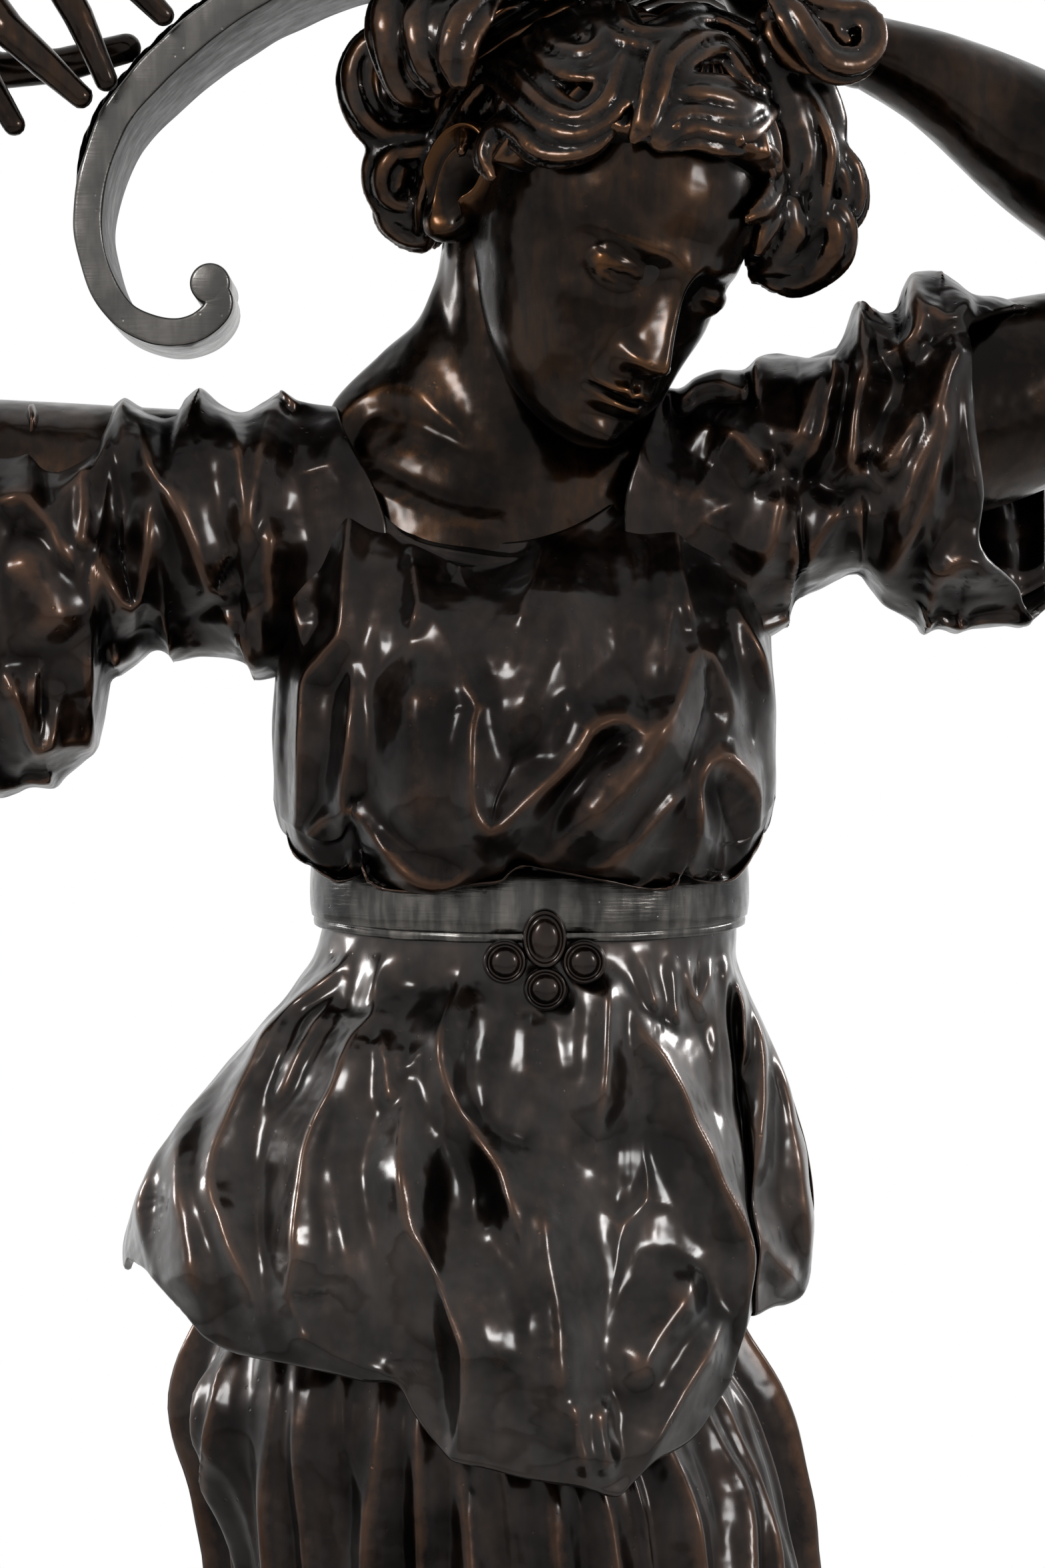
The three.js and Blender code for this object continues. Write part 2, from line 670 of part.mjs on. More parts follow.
function rayBody(reach, around, rows) {
  const rings = steps(rows - 2, 1, rows - 1).map((row) => {
    const slant = (Math.PI * row) / rows;
    return turnOf(around, (angle) => {
      const out = Math.sin(slant);
      const ray = vector(out * Math.sin(angle), -out * Math.cos(angle), -Math.cos(slant));
      return ray.clone().multiplyScalar(reach(ray)).applyMatrix4(headPose);
    });
  });
  return filledOf(rings);
}
const HEAD_AROUND = 22;
const HEAD_ROWS = 14;
const HAIR_ROWS = 12;
const OVER_HER_HEAD = HEAD_Z + 300; // a level above everything that she wears and carries
const headSpace = rayBody((ray) => headReach(ray) + GAP, HEAD_AROUND, HEAD_ROWS);
const skullHollow = rayBody((ray) => headReach(ray) * 0.86 - SKULL_WALL * 0.3, 12, 7);
const tubeHole = drillThrough(AXIS_X, AXIS_Y, TUBE_RADIUS + GAP, HEAD_Z, OVER_HER_HEAD);
place(
  figure,
  "head",
  geometryOf(cut(rayBody(headReach, HEAD_AROUND, HEAD_ROWS), skullHollow, neckSpace, tubeHole)),
  SKIN_BRONZE,
);

// Hair: a waved cap that leaves the face free, then a topknot and separate curls
const HAIR_WAVE = 3.2;
function hairReach(ray) {
  const wave = Math.sin(9 * Math.atan2(ray.x, -ray.y) + 4 * ray.z) * Math.sin(7 * ray.z + 1);
  const scalp = headReach(vector(ray.x, ray.y, Math.max(ray.z, -0.75)));
  return scalp + HAIR_DEPTH + 4 * Math.max(0, ray.y) + HAIR_WAVE * wave;
}
const FACE_OPENING_WIDTH = 50;
const faceOpening = solidOf(
  new THREE.SphereGeometry(1, 20, 14)
    .scale(FACE_OPENING_WIDTH, 62, 78)
    .translate(0, -66, -36)
    .applyMatrix4(headPose),
);
const underJaw = solidOf(new THREE.BoxGeometry(200, 220, 60).translate(0, 0, -84).applyMatrix4(headPose));
const padTop = PAD_BOTTOM + PAD_HEIGHT;
const padCut = drillThrough(AXIS_X, AXIS_Y, PAD_RADIUS + 30, PAD_BOTTOM - GAP, PAD_BOTTOM + 60);
const hairBody = rayBody(hairReach, HEAD_AROUND, HAIR_ROWS);
const hairSpace = rayBody((ray) => hairReach(ray) + GAP, HEAD_AROUND, HAIR_ROWS);
place(
  figure,
  "hair_cap",
  geometryOf(cut(hairBody, faceOpening, underJaw, headSpace, neckSpace, tubeHole, padCut)),
  BRONZE,
);

const up = vector(0, 0, 1);
const intoPicture = vector(0, 1, 0);
const topknotStops = [
  [AXIS_X - 2, AXIS_Y - 4, PAD_BOTTOM - 62, 26, 30],
  [AXIS_X - 2, AXIS_Y - 2, PAD_BOTTOM - 40, 44, 46],
  [AXIS_X, AXIS_Y, PAD_BOTTOM - 18, 47, 48],
  [AXIS_X, AXIS_Y, PAD_BOTTOM - 1, 38, 40],
];
const topknotBody = filledOf(limbRings(topknotStops, 4, 16, intoPicture));
place(
  figure,
  "topknot",
  geometryOf(cut(topknotBody, hairSpace, headSpace, tubeHole, padCut)),
  BRONZE,
);
const topknotSpace = filledOf(
  limbRings(topknotStops.map(([x, y, z, a, b]) => [x, y, z, a + GAP, b + GAP]), 4, 16, intoPicture),
);

const curlSpaces = [];
function curl(name, stops) {
  const rings = (shrink) => limbRings(stops, 5, 6, up.clone().add(intoPicture), shrink);
  const body = cut(filledOf(rings(0)), hairSpace, headSpace, topknotSpace, padCut, ...curlSpaces);
  curlSpaces.push(filledOf(rings(-GAP)));
  place(figure, name, geometryOf(body), BRONZE);
}
const CURLS = {
  crown_curl_left: [[-14, -38, 1214, 12], [-38, -46, 1240, 15], [-44, -44, 1262, 13], [-34, -40, 1270, 6]],
  nape_curl_upper: [[-20, 6, 1224, 12], [-52, 2, 1236, 14], [-60, -2, 1218, 14], [-42, -2, 1206, 8]],
  nape_curl_lower: [[-16, 10, 1196, 10], [-46, 8, 1200, 13], [-50, 4, 1184, 12], [-34, 6, 1176, 7]],
  temple_curl_right: [[92, -30, 1200, 12], [116, -34, 1186, 14], [122, -32, 1164, 13], [106, -34, 1152, 7]],
  crown_curl_right: [[92, -34, 1240, 12], [122, -40, 1246, 15], [134, -40, 1236, 14], [120, -40, 1218, 8]],
};
for (const [name, stops] of Object.entries(CURLS)) curl(name, stops);

// Sleeves: rows of x, middle height, middle y, half height, half depth
const RIGHT_SLEEVE = [
  [-266, 1008, 2, 74, 60],
  [-226, 1011, 2, 82, 62],
  [-200, 1015, 2, 80, 60],
  [-176, 1038, 2, 60, 56],
  [-150, 1044, 2, 55, 54],
  [-118, 1042, 2, 56, 56],
  [-84, 1044, 4, 52, 50],
];
const LEFT_SLEEVE = [
  [66, 1054, 4, 50, 50],
  [92, 1058, 4, 54, 54],
  [118, 1067, 6, 53, 54],
  [145, 1083, 10, 62, 54],
  [172, 1077, 14, 80, 57],
  [192, 1074, 18, 77, 58],
  [224, 1060, 24, 58, 52],
];
const SLEEVE_AROUND = 20;
function sleeveRing(table, x, inset) {
  const [, z, y, high, deep] = rowAt(table, x);
  const fold = 3 * Math.sin(x / 9);
  return turnOf(SLEEVE_AROUND, (angle) =>
    vector(
      x,
      y + (deep - inset + fold * 0.6) * Math.sin(angle),
      z + (high - inset + fold * Math.max(0, Math.cos(angle))) * Math.cos(angle),
    ),
  );
}
function sleeve(name, table, arm) {
  const places = steps(8, table[0][0], table.at(-1)[0]);
  const outer = places.map((x) => sleeveRing(table, x, 0));
  const inner = places.map((x) => sleeveRing(table, x, THIN_WALL));
  const cast = cut(shellOf(outer, inner), bodiceSpace, neckSpace, hairSpace, arm);
  place(figure, name, geometryOf(cast), BRONZE);
}

// Arms: stops of x, y, z, radius, second radius, from inside the sleeve over the elbow to the wrist
const RIGHT_ARM = [
  [-96, 2, 1052, 40, 40],
  [-160, 2, 1055, 41, 40],
  [-250, 4, 1064, 38, 37],
  [-312, 8, 1076, 34, 34],
  [-336, 8, 1104, 33, 33],
  [-324, 2, 1148, 32, 31],
  [-304, -6, 1208, 24, 26],
  [-290, -12, 1254, 16, 21],
];
const LEFT_ARM = [
  [100, 6, 1064, 41, 41],
  [150, 14, 1082, 43, 42],
  [208, 30, 1101, 43, 42],
  [262, 44, 1120, 37, 38],
  [290, 46, 1146, 34, 35],
  [276, 42, 1178, 35, 34],
  [226, 36, 1212, 31, 31],
  [182, 32, 1240, 22, 25],
  [146, 30, 1255, 15, 21],
];
const armRings = (stops, shrink) => limbRings(stops, 9, 12, intoPicture, shrink);
function arm(name, stops) {
  const solid = shellOf(armRings(stops, 0), armRings(stops, THIN_WALL));
  place(figure, name, geometryOf(cut(solid, bodiceSpace)), SKIN_BRONZE);
  return filledOf(armRings(stops, -GAP));
}
const rightArmSpace = arm("right_arm", RIGHT_ARM);
const leftArmSpace = arm("left_arm", LEFT_ARM);
sleeve("right_sleeve", RIGHT_SLEEVE, rightArmSpace);
sleeve("left_sleeve", LEFT_SLEEVE, leftArmSpace);

// Scroll stops: x, height of the middle line, thickness, depth behind the front plane
const SCROLL = [
  [-131, 1145, 13, 64],
  [-127.5, 1136, 12, 64],
  [-134, 1128, 12, 65],
  [-144, 1124.5, 12, 66],
  [-156, 1126, 12, 67],
  [-167.5, 1132, 12, 69],
  [-176.5, 1145, 12, 73],
  [-182, 1165.5, 12, 78],
  [-181.5, 1182, 12, 82],
  [-177, 1200.5, 12.5, 87],
  [-170, 1216, 13, 92],
  [-151, 1238, 14, 100],
  [-124, 1260.5, 15, 108],
  [-92, 1279, 16, 114],
  [-54, 1292, 17, 118],
  [-16, 1298, 18, 120],
  [AXIS_X + 26, 1299, 18, 120],
  [70, 1302, 17, 116],
  [102, 1314, 15, 104],
  [121, 1338, 13, 92],
  [120, 1366, 12, 82],
  [100, 1382, 12, 76],
  [80, 1377, 12, 72],
  [74, 1361, 12, 70],
  [83, 1350, 13, 70],
];
const SCROLL_STEPS = 44;
const scrollPath = new THREE.CatmullRomCurve3(SCROLL.map(([x, z]) => vector(x, 0, z)), false, "centripetal");
const scrollSizes = SCROLL.map(([, , thickness, depth], index) => {
  const share = index / (SCROLL.length - 1);
  return [share, thickness, depth];
});
function scrollRing(t, grow) {
  const centre = scrollPath.getPoint(t);
  const tangent = scrollPath.getTangent(t);
  const outward = vector(-tangent.z, 0, tangent.x);
  const [, thickness, depth] = rowAt(scrollSizes, t);
  const half = thickness / 2 + grow;
  const corner = (side, y) => centre.clone().addScaledVector(outward, side * half).setY(y);
  const front = SCROLL_FRONT - grow;
  const rear = SCROLL_FRONT + depth + grow;
  return [corner(1, front), corner(1, rear), corner(-1, rear), corner(-1, front)];
}
const scrollBody = filledOf(steps(SCROLL_STEPS).map((t) => scrollRing(t, 0)));
const scrollSpace = filledOf(steps(SCROLL_STEPS).map((t) => scrollRing(t, GAP)));
// The end of each volute is a round eye.
const eye = ([x, z, , depth], radius) =>
  solidOf(cylinder(radius, depth, 20).rotateX(-Math.PI / 2).translate(x, SCROLL_FRONT, z));
const EYE_RADIUS = 8.5;
const eyes = (grow) => join(eye(SCROLL[0], EYE_RADIUS + grow), eye(SCROLL.at(-1), EYE_RADIUS + grow));
place(
  figure,
  "scroll_band",
  geometryOf(cut(join(scrollBody, eyes(0)), tubeHole)),
  SCROLL_BRONZE,
);
const scrollFit = join(scrollSpace, eyes(GAP));

// Leaf trail on the outer side of the scroll: overlapping leaves joined by a thin strip
const LEAF_THICKNESS = 3.2;
const LEAF_LENGTH_STEPS = 2;
function leafRing(t, index) {
  const centre = scrollPath.getPoint(t);
  const tangent = scrollPath.getTangent(t);
  const outward = vector(-tangent.z, 0, tangent.x);
  const [, thickness, depth] = rowAt(scrollSizes, t);
  const low = thickness / 2 + GAP;
  const high = low + LEAF_THICKNESS * (index % LEAF_LENGTH_STEPS === 0 ? 0.45 : 1);
  const margin = 3;
  const corner = (distance, y) => centre.clone().addScaledVector(outward, distance).setY(y);
  const front = SCROLL_FRONT + margin;
  const rear = SCROLL_FRONT + depth - margin;
  return [corner(high, front), corner(high, rear), corner(low, rear), corner(low, front)];
}
const LEAF_START = 0.3;
const LEAF_END = 0.57;
place(
  figure,
  "leaf_trail",
  geometryOf(filledOf(steps(16, LEAF_START, LEAF_END).map((t, index) => leafRing(t, index)))),
  SCROLL_BRONZE,
);
const leafSpace = filledOf(
  steps(16, LEAF_START, LEAF_END).map((t) => {
    const ring = leafRing(t, 1);
    const lift = ring[0].clone().sub(ring[2]).setY(0).setLength(GAP);
    return ring.map((p) => p.clone().add(lift));
  }),
);

// Carrying pad between hair and scroll, and the saddle block that takes up the curve of the band
place(
  figure,
  "carrying_pad",
  lathe(
    [
      [TUBE_RADIUS + GAP, 0],
      [PAD_RADIUS - 8, 0],
      [PAD_RADIUS, PAD_HEIGHT * 0.3],
      [PAD_RADIUS, PAD_HEIGHT * 0.7],
      [PAD_RADIUS - 8, PAD_HEIGHT],
      [TUBE_RADIUS + GAP, PAD_HEIGHT],
      [TUBE_RADIUS + GAP, 0],
    ],
    24,
  ),
  BRONZE,
  [AXIS_X, AXIS_Y, PAD_BOTTOM],
);
place(
  figure,
  "saddle_block",
  geometryOf(
    cut(
      solidOf(moved(tube(SADDLE_RADIUS, TUBE_RADIUS + GAP, 14, 28), AXIS_X, AXIS_Y, padTop + GAP)),
      scrollFit,
    ),
  ),
  BRONZE,
);

// Hands: a palm and five fingers of three bones each, grown together
function hand(name, wrist, palm, fingers, thumb, cutters) {
  const palmBody = filledOf(limbRings([wrist, ...palm], 4, 9, intoPicture));
  const digits = [...fingers, thumb].map((stops) => filledOf(limbRings(stops, 4, 6, intoPicture)));
  place(figure, name, geometryOf(cut(join(palmBody, ...digits), ...cutters)), SKIN_BRONZE);
}
hand(
  "right_hand",
  [-289.8, -12.2, 1254.6, 15.5, 20.5],
  [[-280, -18, 1276, 13, 24], [-262, -24, 1290, 12, 29], [-240, -28, 1290, 10, 28]],
  [
    [[-244, -52, 1290, 8], [-214, -62, 1292, 7.5], [-184, -62, 1282, 6.5], [-158, -58, 1268, 5.5]],
    [[-246, -38, 1292, 8], [-216, -54, 1288, 7.5], [-198, -60, 1266, 6.5], [-183, -60, 1236, 5.5]],
    [[-248, -24, 1290, 7.5], [-226, -46, 1276, 7], [-208, -58, 1252, 6], [-191, -62, 1226, 5.3]],
    [[-252, -10, 1284, 7], [-236, -40, 1264, 6.5], [-225, -54, 1242, 5.6], [-214, -60, 1214, 5]],
  ],
  [[-268, -14, 1270, 9], [-246, -12, 1256, 8.5], [-222, -16, 1250, 7.5], [-196, -22, 1246, 6]],
  [scrollFit, leafSpace, filledOf(armRings(RIGHT_ARM, -GAP))],
);
hand(
  "left_hand",
  [145, 30.1, 1255.6, 14.5, 20.5],
  [[128, 30, 1262, 13, 25], [110, 30, 1270, 12, 29], [96, 32, 1276, 10, 28]],
  [
    [[100, 14, 1276, 8], [84, 8, 1284, 7.5], [64, 8, 1284, 6.5], [46, 10, 1276, 5.5]],
    [[98, 28, 1278, 8], [80, 24, 1286, 7.5], [58, 24, 1286, 6.5], [40, 26, 1278, 5.5]],
    [[98, 42, 1276, 7.5], [80, 40, 1284, 7], [60, 40, 1284, 6], [44, 42, 1276, 5.3]],
    [[102, 54, 1272, 7], [86, 56, 1278, 6.5], [70, 56, 1280, 5.6], [56, 58, 1272, 5]],
  ],
  [[120, 12, 1262, 9], [112, -6, 1272, 8.5], [104, -22, 1282, 7.5], [98, -36, 1288, 6]],
  [scrollFit, hairSpace, topknotSpace, padCut, leftArmSpace],
);

// Tie rod from under the socle's top to above the waist plate, with a washer and a nut at each end
const rodLow = SLAB_HEIGHT + SOCLE_HEIGHT - SOCLE_WALL;
const waistFace = SOLE + plateBottom + PLATE_HEIGHT;
const nutGeometry = (radius, bore, height) =>
  geometryOf(cut(solidOf(cylinder(radius, height, 6)), drillThrough(0, 0, bore + GAP, -1, height + 1)));
const ROD_END = 16; // how far the rod stands out at each end
const rodLength = waistFace - rodLow + 2 * ROD_END;
place(root, "tie_rod", cylinder(ROD_RADIUS, rodLength, 20), STEEL, [ROD_X, ROD_Y, rodLow - ROD_END]);
const rodWasher = () => tube(WASHER_RADIUS, ROD_RADIUS + GAP, WASHER_HEIGHT, 16);
place(root, "rod_washer_lower", rodWasher(), STEEL, [ROD_X, ROD_Y, rodLow - WASHER_HEIGHT - GAP]);
place(root, "rod_washer_upper", rodWasher(), STEEL, [ROD_X, ROD_Y, waistFace + GAP]);
const rodNut = () => nutGeometry(NUT_RADIUS, ROD_RADIUS, NUT_HEIGHT);
place(root, "rod_nut_lower", rodNut(), STEEL, [ROD_X, ROD_Y, rodLow - WASHER_HEIGHT - NUT_HEIGHT - 2 * GAP]);
place(root, "rod_nut_upper", rodNut(), STEEL, [ROD_X, ROD_Y, waistFace + WASHER_HEIGHT + 2 * GAP]);

// Torch light
const scrollTopAtAxis = SOLE + 1299 + 9 + GAP;
torch.position.set(AXIS_X, AXIS_Y, scrollTopAtAxis);
const bore = TUBE_RADIUS + GAP;
const stemFoot = lathe(
  [
    [bore, -4],
    [STEM_FOOT_RADIUS, -4],
    [STEM_FOOT_RADIUS, 7],
    [STEM_FOOT_RADIUS - 4, 11],
    [STEM_FOOT_RADIUS - 16, 15],
    [STEM_FOOT_RADIUS - 20, 25],
    [STEM_FOOT_RADIUS - 15, 28],
    [STEM_FOOT_RADIUS - 15, STEM_FOOT_HEIGHT],
    [bore, STEM_FOOT_HEIGHT],
    [bore, -4],
  ],
  24,
);
const scrollSeenFromTorch = scrollFit.translate([-AXIS_X, -AXIS_Y, SOLE - scrollTopAtAxis]);
place(torch, "stem_foot", geometryOf(cut(solidOf(stemFoot), scrollSeenFromTorch)), BRONZE);

const STEM_RADIUS = 22;
place(
  torch,
  "stem",
  lathe(
    [
      [bore, 0],
      [19, 0],
      [19, 5],
      [12, 11],
      [11, 22],
      [STEM_RADIUS - 4, 44],
      [STEM_RADIUS, 62],
      [STEM_RADIUS - 3, 80],
      [12, 104],
      [10, 124],
      [16, 132],
      [16, 138],
      [12, 142],
      [18, STEM_HEIGHT],
      [bore, STEM_HEIGHT],
      [bore, 0],
    ],
    16,
  ),
  BRONZE,
  [0, 0, STEM_FOOT_HEIGHT],
);

// Torch cup: an open bowl that holds the gallery and the lamp holder, with a hole for the switch key
const cupBase = STEM_FOOT_HEIGHT + STEM_HEIGHT;
const holderBase = cupBase + CUP_FLOOR + GAP;
const keyLine = holderBase + 22;
const cupProfile = [
  [bore, 0],
  [22, 0],
  [26, 8],
  [CUP_RADIUS - 14, 26],
  [CUP_RADIUS - 3, 48],
  [CUP_RADIUS, CUP_HEIGHT],
  [CUP_RADIUS - CUP_WALL, CUP_HEIGHT],
  [CUP_RADIUS - 3 - CUP_WALL, 49],
  [CUP_RADIUS - 16 - CUP_WALL, 30],
  [HOLDER_RADIUS + 4, CUP_FLOOR],
  [bore, CUP_FLOOR],
  [bore, 0],
];
const keyBore = (from, length, height) =>
  solidOf(cylinder(KEY_RADIUS + GAP, length, 12).rotateX(Math.PI / 2).translate(0, -from, height));
const cupKeyBore = keyBore(HOLDER_RADIUS, CUP_RADIUS, keyLine - cupBase);
place(
  torch,
  "torch_cup",
  geometryOf(cut(solidOf(lathe(cupProfile, TORCH_SIDES)), cupKeyBore)),
  BRONZE,
  [0, 0, cupBase],
);

// Gallery: a ring with a floor, in the mouth of the cup, that centres the shade
const galleryFloor = cupBase + 50;
const galleryWall = 2.5;
const shadeSeat = galleryFloor + galleryWall;
const screwLine = galleryFloor + GALLERY_HEIGHT + 14 - 6;
const galleryProfile = [
  [HOLDER_RADIUS + GAP, 0],
  [CUP_RADIUS - 3 - CUP_WALL - GAP, 0],
  [CUP_RADIUS - 3 - CUP_WALL - GAP, galleryWall],
  [GALLERY_RADIUS - 0.5, galleryWall + 2],
  [GALLERY_RADIUS - 0.5, GALLERY_HEIGHT + 14],
  [GALLERY_RADIUS - 0.5 - galleryWall, GALLERY_HEIGHT + 14],
  [GALLERY_RADIUS - 0.5 - galleryWall, galleryWall],
  [HOLDER_RADIUS + GAP, galleryWall],
  [HOLDER_RADIUS + GAP, 0],
];
const SCREW_COUNT = 3;
const screwTurn = (index) => (FULL_TURN * index) / SCREW_COUNT + Math.PI / 2;
const screwHole = (index) =>
  solidOf(
    cylinder(SCREW_RADIUS + GAP, 30, 14)
      .rotateY(Math.PI / 2)
      .translate(GALLERY_RADIUS - 12, 0, screwLine - galleryFloor)
      .rotateZ(screwTurn(index)),
  );
const screwHoles = Array.from({ length: SCREW_COUNT }, (_, index) => screwHole(index));
place(
  torch,
  "gallery",
  geometryOf(cut(solidOf(lathe(galleryProfile, TORCH_SIDES)), ...screwHoles)),
  BRASS,
  [0, 0, galleryFloor],
);

// Thumb screws, with their points just clear of the shade's neck
const screwPoint = SHADE_FITTER_RADIUS + GAP;
const screwShank = GALLERY_RADIUS + 3 - screwPoint;
for (let index = 0; index < SCREW_COUNT; index++) {
  const screw = lathe(
    [
      [0, 0],
      [SCREW_RADIUS, 0],
      [SCREW_RADIUS, screwShank],
      [7, screwShank + 1],
      [7, screwShank + 5],
      [0, screwShank + 6],
    ],
    14,
  )
    .rotateY(Math.PI / 2)
    .translate(screwPoint, 0, screwLine)
    .rotateZ(screwTurn(index));
  place(torch, `thumb_screw_${index + 1}`, screw, BRASS);
}

// Shade: an open glass torch that flares from its neck to a wavy rim
const shadeRows = [
  [0, SHADE_FITTER_RADIUS],
  [30, SHADE_FITTER_RADIUS],
  [38, SHADE_FITTER_RADIUS + 2],
  [62, SHADE_FITTER_RADIUS + 22],
  [100, SHADE_FITTER_RADIUS + 33],
  [140, SHADE_FITTER_RADIUS + 38],
  [SHADE_HEIGHT, SHADE_TOP_RADIUS],
];
const SHADE_LOBES = 12;
const shadeRing = ([height, radius], inset) => {
  const depth = 3.5 * Math.max(0, (height - 62) / (SHADE_HEIGHT - 62));
  return turnOf(36, (angle) => {
    const wave = depth * Math.cos(SHADE_LOBES * angle);
    const reach = radius - inset + wave;
    return vector(reach * Math.sin(angle), -reach * Math.cos(angle), height + wave);
  });
};
place(
  torch,
  "torch_shade",
  geometryOf(
    shellOf(shadeRows.map((row) => shadeRing(row, 0)), shadeRows.map((row) => shadeRing(row, SHADE_WALL))),
  ),
  FROSTED,
  [0, 0, shadeSeat + GAP],
);

// Lamp holder on the end of the wire tube, with its turn key
const HOLDER_SEAT = 18; // height of its thick foot, on which the bulb's cap stands
const holderProfile = [
  [bore, 0],
  [HOLDER_RADIUS - 3, 0],
  [HOLDER_RADIUS, 4],
  [HOLDER_RADIUS, HOLDER_HEIGHT],
  [HOLDER_RADIUS - HOLDER_WALL, HOLDER_HEIGHT],
  [HOLDER_RADIUS - HOLDER_WALL, HOLDER_SEAT],
  [bore, HOLDER_SEAT],
  [bore, 0],
];
const holderKeyBore = keyBore(HOLDER_RADIUS / 2, HOLDER_RADIUS, keyLine - holderBase);
place(
  torch,
  "lamp_holder",
  geometryOf(cut(solidOf(lathe(holderProfile, 18)), holderKeyBore)),
  BRASS,
  [0, 0, holderBase],
);
const keyInside = HOLDER_RADIUS - HOLDER_WALL + 0.5;
const keyLength = CUP_RADIUS + KEY_OUTSIDE - keyInside;
const keyStem = lathe([[0, 0], [KEY_RADIUS, 0], [KEY_RADIUS, keyLength], [0, keyLength]], 12);
const keyWing = new THREE.BoxGeometry(15, 3, 10).translate(0, 0, keyLength + 3);
const keySolid = join(solidOf(keyStem), solidOf(keyWing)).rotate([90, 0, 0]);
place(
  torch,
  "switch_key",
  geometryOf(keySolid.translate([0, -keyInside, keyLine])),
  BRASS,
);

// Bulb: a cap in the holder and a glass above it
const capRadius = HOLDER_RADIUS - HOLDER_WALL - GAP;
const capHeight = HOLDER_HEIGHT - HOLDER_SEAT - GAP + 3;
const capBase = holderBase + HOLDER_SEAT + GAP;
place(
  torch,
  "bulb_cap",
  lathe([[0, 0], [capRadius - 6, 0], [capRadius, 5], [capRadius, capHeight], [0, capHeight]], 20),
  BRASS,
  [0, 0, capBase],
);
place(
  torch,
  "bulb_glass",
  lathe(
    [
      [0, 0],
      [capRadius, 0],
      [capRadius + 1, 6],
      [BULB_RADIUS - 2, 26],
      [BULB_RADIUS, 40],
      [BULB_RADIUS - 7, 58],
      [8, BULB_LENGTH - 4],
      [0, BULB_LENGTH],
    ],
    18,
  ),
  CLEAR,
  [0, 0, capBase + capHeight + GAP],
);

// Wire tube from inside the socle to the lamp holder, with a nut under the socle's top and one on the plate
const tubeLow = rodLow - 14;
const tubeHigh = scrollTopAtAxis + holderBase + 15;
const wireTube = tube(TUBE_RADIUS, TUBE_BORE, tubeHigh - tubeLow, 18);
place(root, "wire_tube", wireTube, STEEL, [AXIS_X, AXIS_Y, tubeLow]);
const tubeNut = () => nutGeometry(NUT_RADIUS - 1, TUBE_RADIUS, NUT_HEIGHT - 2);
place(root, "tube_nut_lower", tubeNut(), STEEL, [AXIS_X, AXIS_Y, rodLow - NUT_HEIGHT + 2 - GAP]);
place(root, "tube_nut_waist", tubeNut(), STEEL, [AXIS_X, AXIS_Y, waistFace + GAP]);

export default root;
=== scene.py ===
"""Visible model of a figural torchere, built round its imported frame. Lengths inside are millimetres."""
import json
import math

import bpy
import numpy as np
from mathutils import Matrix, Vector


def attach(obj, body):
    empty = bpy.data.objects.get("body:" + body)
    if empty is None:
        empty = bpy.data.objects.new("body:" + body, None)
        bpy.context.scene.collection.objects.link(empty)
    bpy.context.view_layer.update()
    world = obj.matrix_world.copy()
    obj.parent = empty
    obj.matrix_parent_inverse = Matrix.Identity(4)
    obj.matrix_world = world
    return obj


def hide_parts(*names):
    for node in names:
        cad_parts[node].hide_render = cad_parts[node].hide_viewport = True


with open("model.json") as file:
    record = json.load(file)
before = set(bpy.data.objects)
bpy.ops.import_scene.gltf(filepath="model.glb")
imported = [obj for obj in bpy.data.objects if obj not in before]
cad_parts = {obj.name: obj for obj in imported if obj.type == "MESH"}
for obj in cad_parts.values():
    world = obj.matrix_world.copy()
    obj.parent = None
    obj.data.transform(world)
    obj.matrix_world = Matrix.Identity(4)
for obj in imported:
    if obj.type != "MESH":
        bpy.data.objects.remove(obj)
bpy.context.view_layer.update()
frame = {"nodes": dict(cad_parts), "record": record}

bl_info = {
    "name": "Figural torchere",
    "version": (1, 0, 0),
    "blender": (4, 5, 0),
    "location": "View3D > Sidebar > Torchere",
    "description": "Builds a bronze figure that carries a torch light",
    "category": "Add Mesh",
}

MM = 0.001
TURN = 2 * math.pi

# The eye that the drawing plane belongs to: folds are drawn on the upright plane through the origin
EYE_DISTANCE = 2200
EYE_HEIGHT = 1055
EYE_LENS = 117.8

CREST_ROUNDING = 1.5

# Surfaces round locks and bones: pitch of their lattice, and how softly locks and bones run together
PITCH = 1.5
LOCK_BLEND = 0.9
BONE_BLEND = 2.2

# Cloth swells between folds: from this many widths off a crest, over this many, by this height
SWELL_FROM, SWELL_OVER, SWELL = 1.3, 1.9, 5.0


def colour_of(code):
    """Linear colour of an sRGB hex value."""
    parts = np.array([int(code[k : k + 2], 16) for k in (1, 3, 5)]) / 255
    return tuple(np.where(parts <= 0.04045, parts / 12.92, ((parts + 0.055) / 1.055) ** 2.4))


def smooth(t):
    """Soft step from 0 to 1: 3 t^2 - 2 t^3."""
    t = np.clip(t, 0, 1)
    return t * t * (3 - 2 * t)


def rows_at(table, at):
    """Rows of a table at given keys, on the smooth cubic through its rows. The key is its first column."""
    table = np.asarray(table, float)
    at = np.asarray(at, float)
    key = table[:, 0]
    count = len(key)
    low = np.maximum(np.arange(count) - 1, 0)
    high = np.minimum(np.arange(count) + 1, count - 1)
    slopes = (table[high] - table[low]) / (key[high] - key[low])[:, None]
    k = np.clip(np.searchsorted(key, at) - 1, 0, count - 2)
    step = (key[k + 1] - key[k])[..., None]
    t = (at - key[k])[..., None] / step
    return (
        (2 * t**3 - 3 * t**2 + 1) * table[k]
        + (t**3 - 2 * t**2 + t) * slopes[k] * step
        + (3 * t**2 - 2 * t**3) * table[k + 1]
        + (t**3 - t**2) * slopes[k + 1] * step
    )


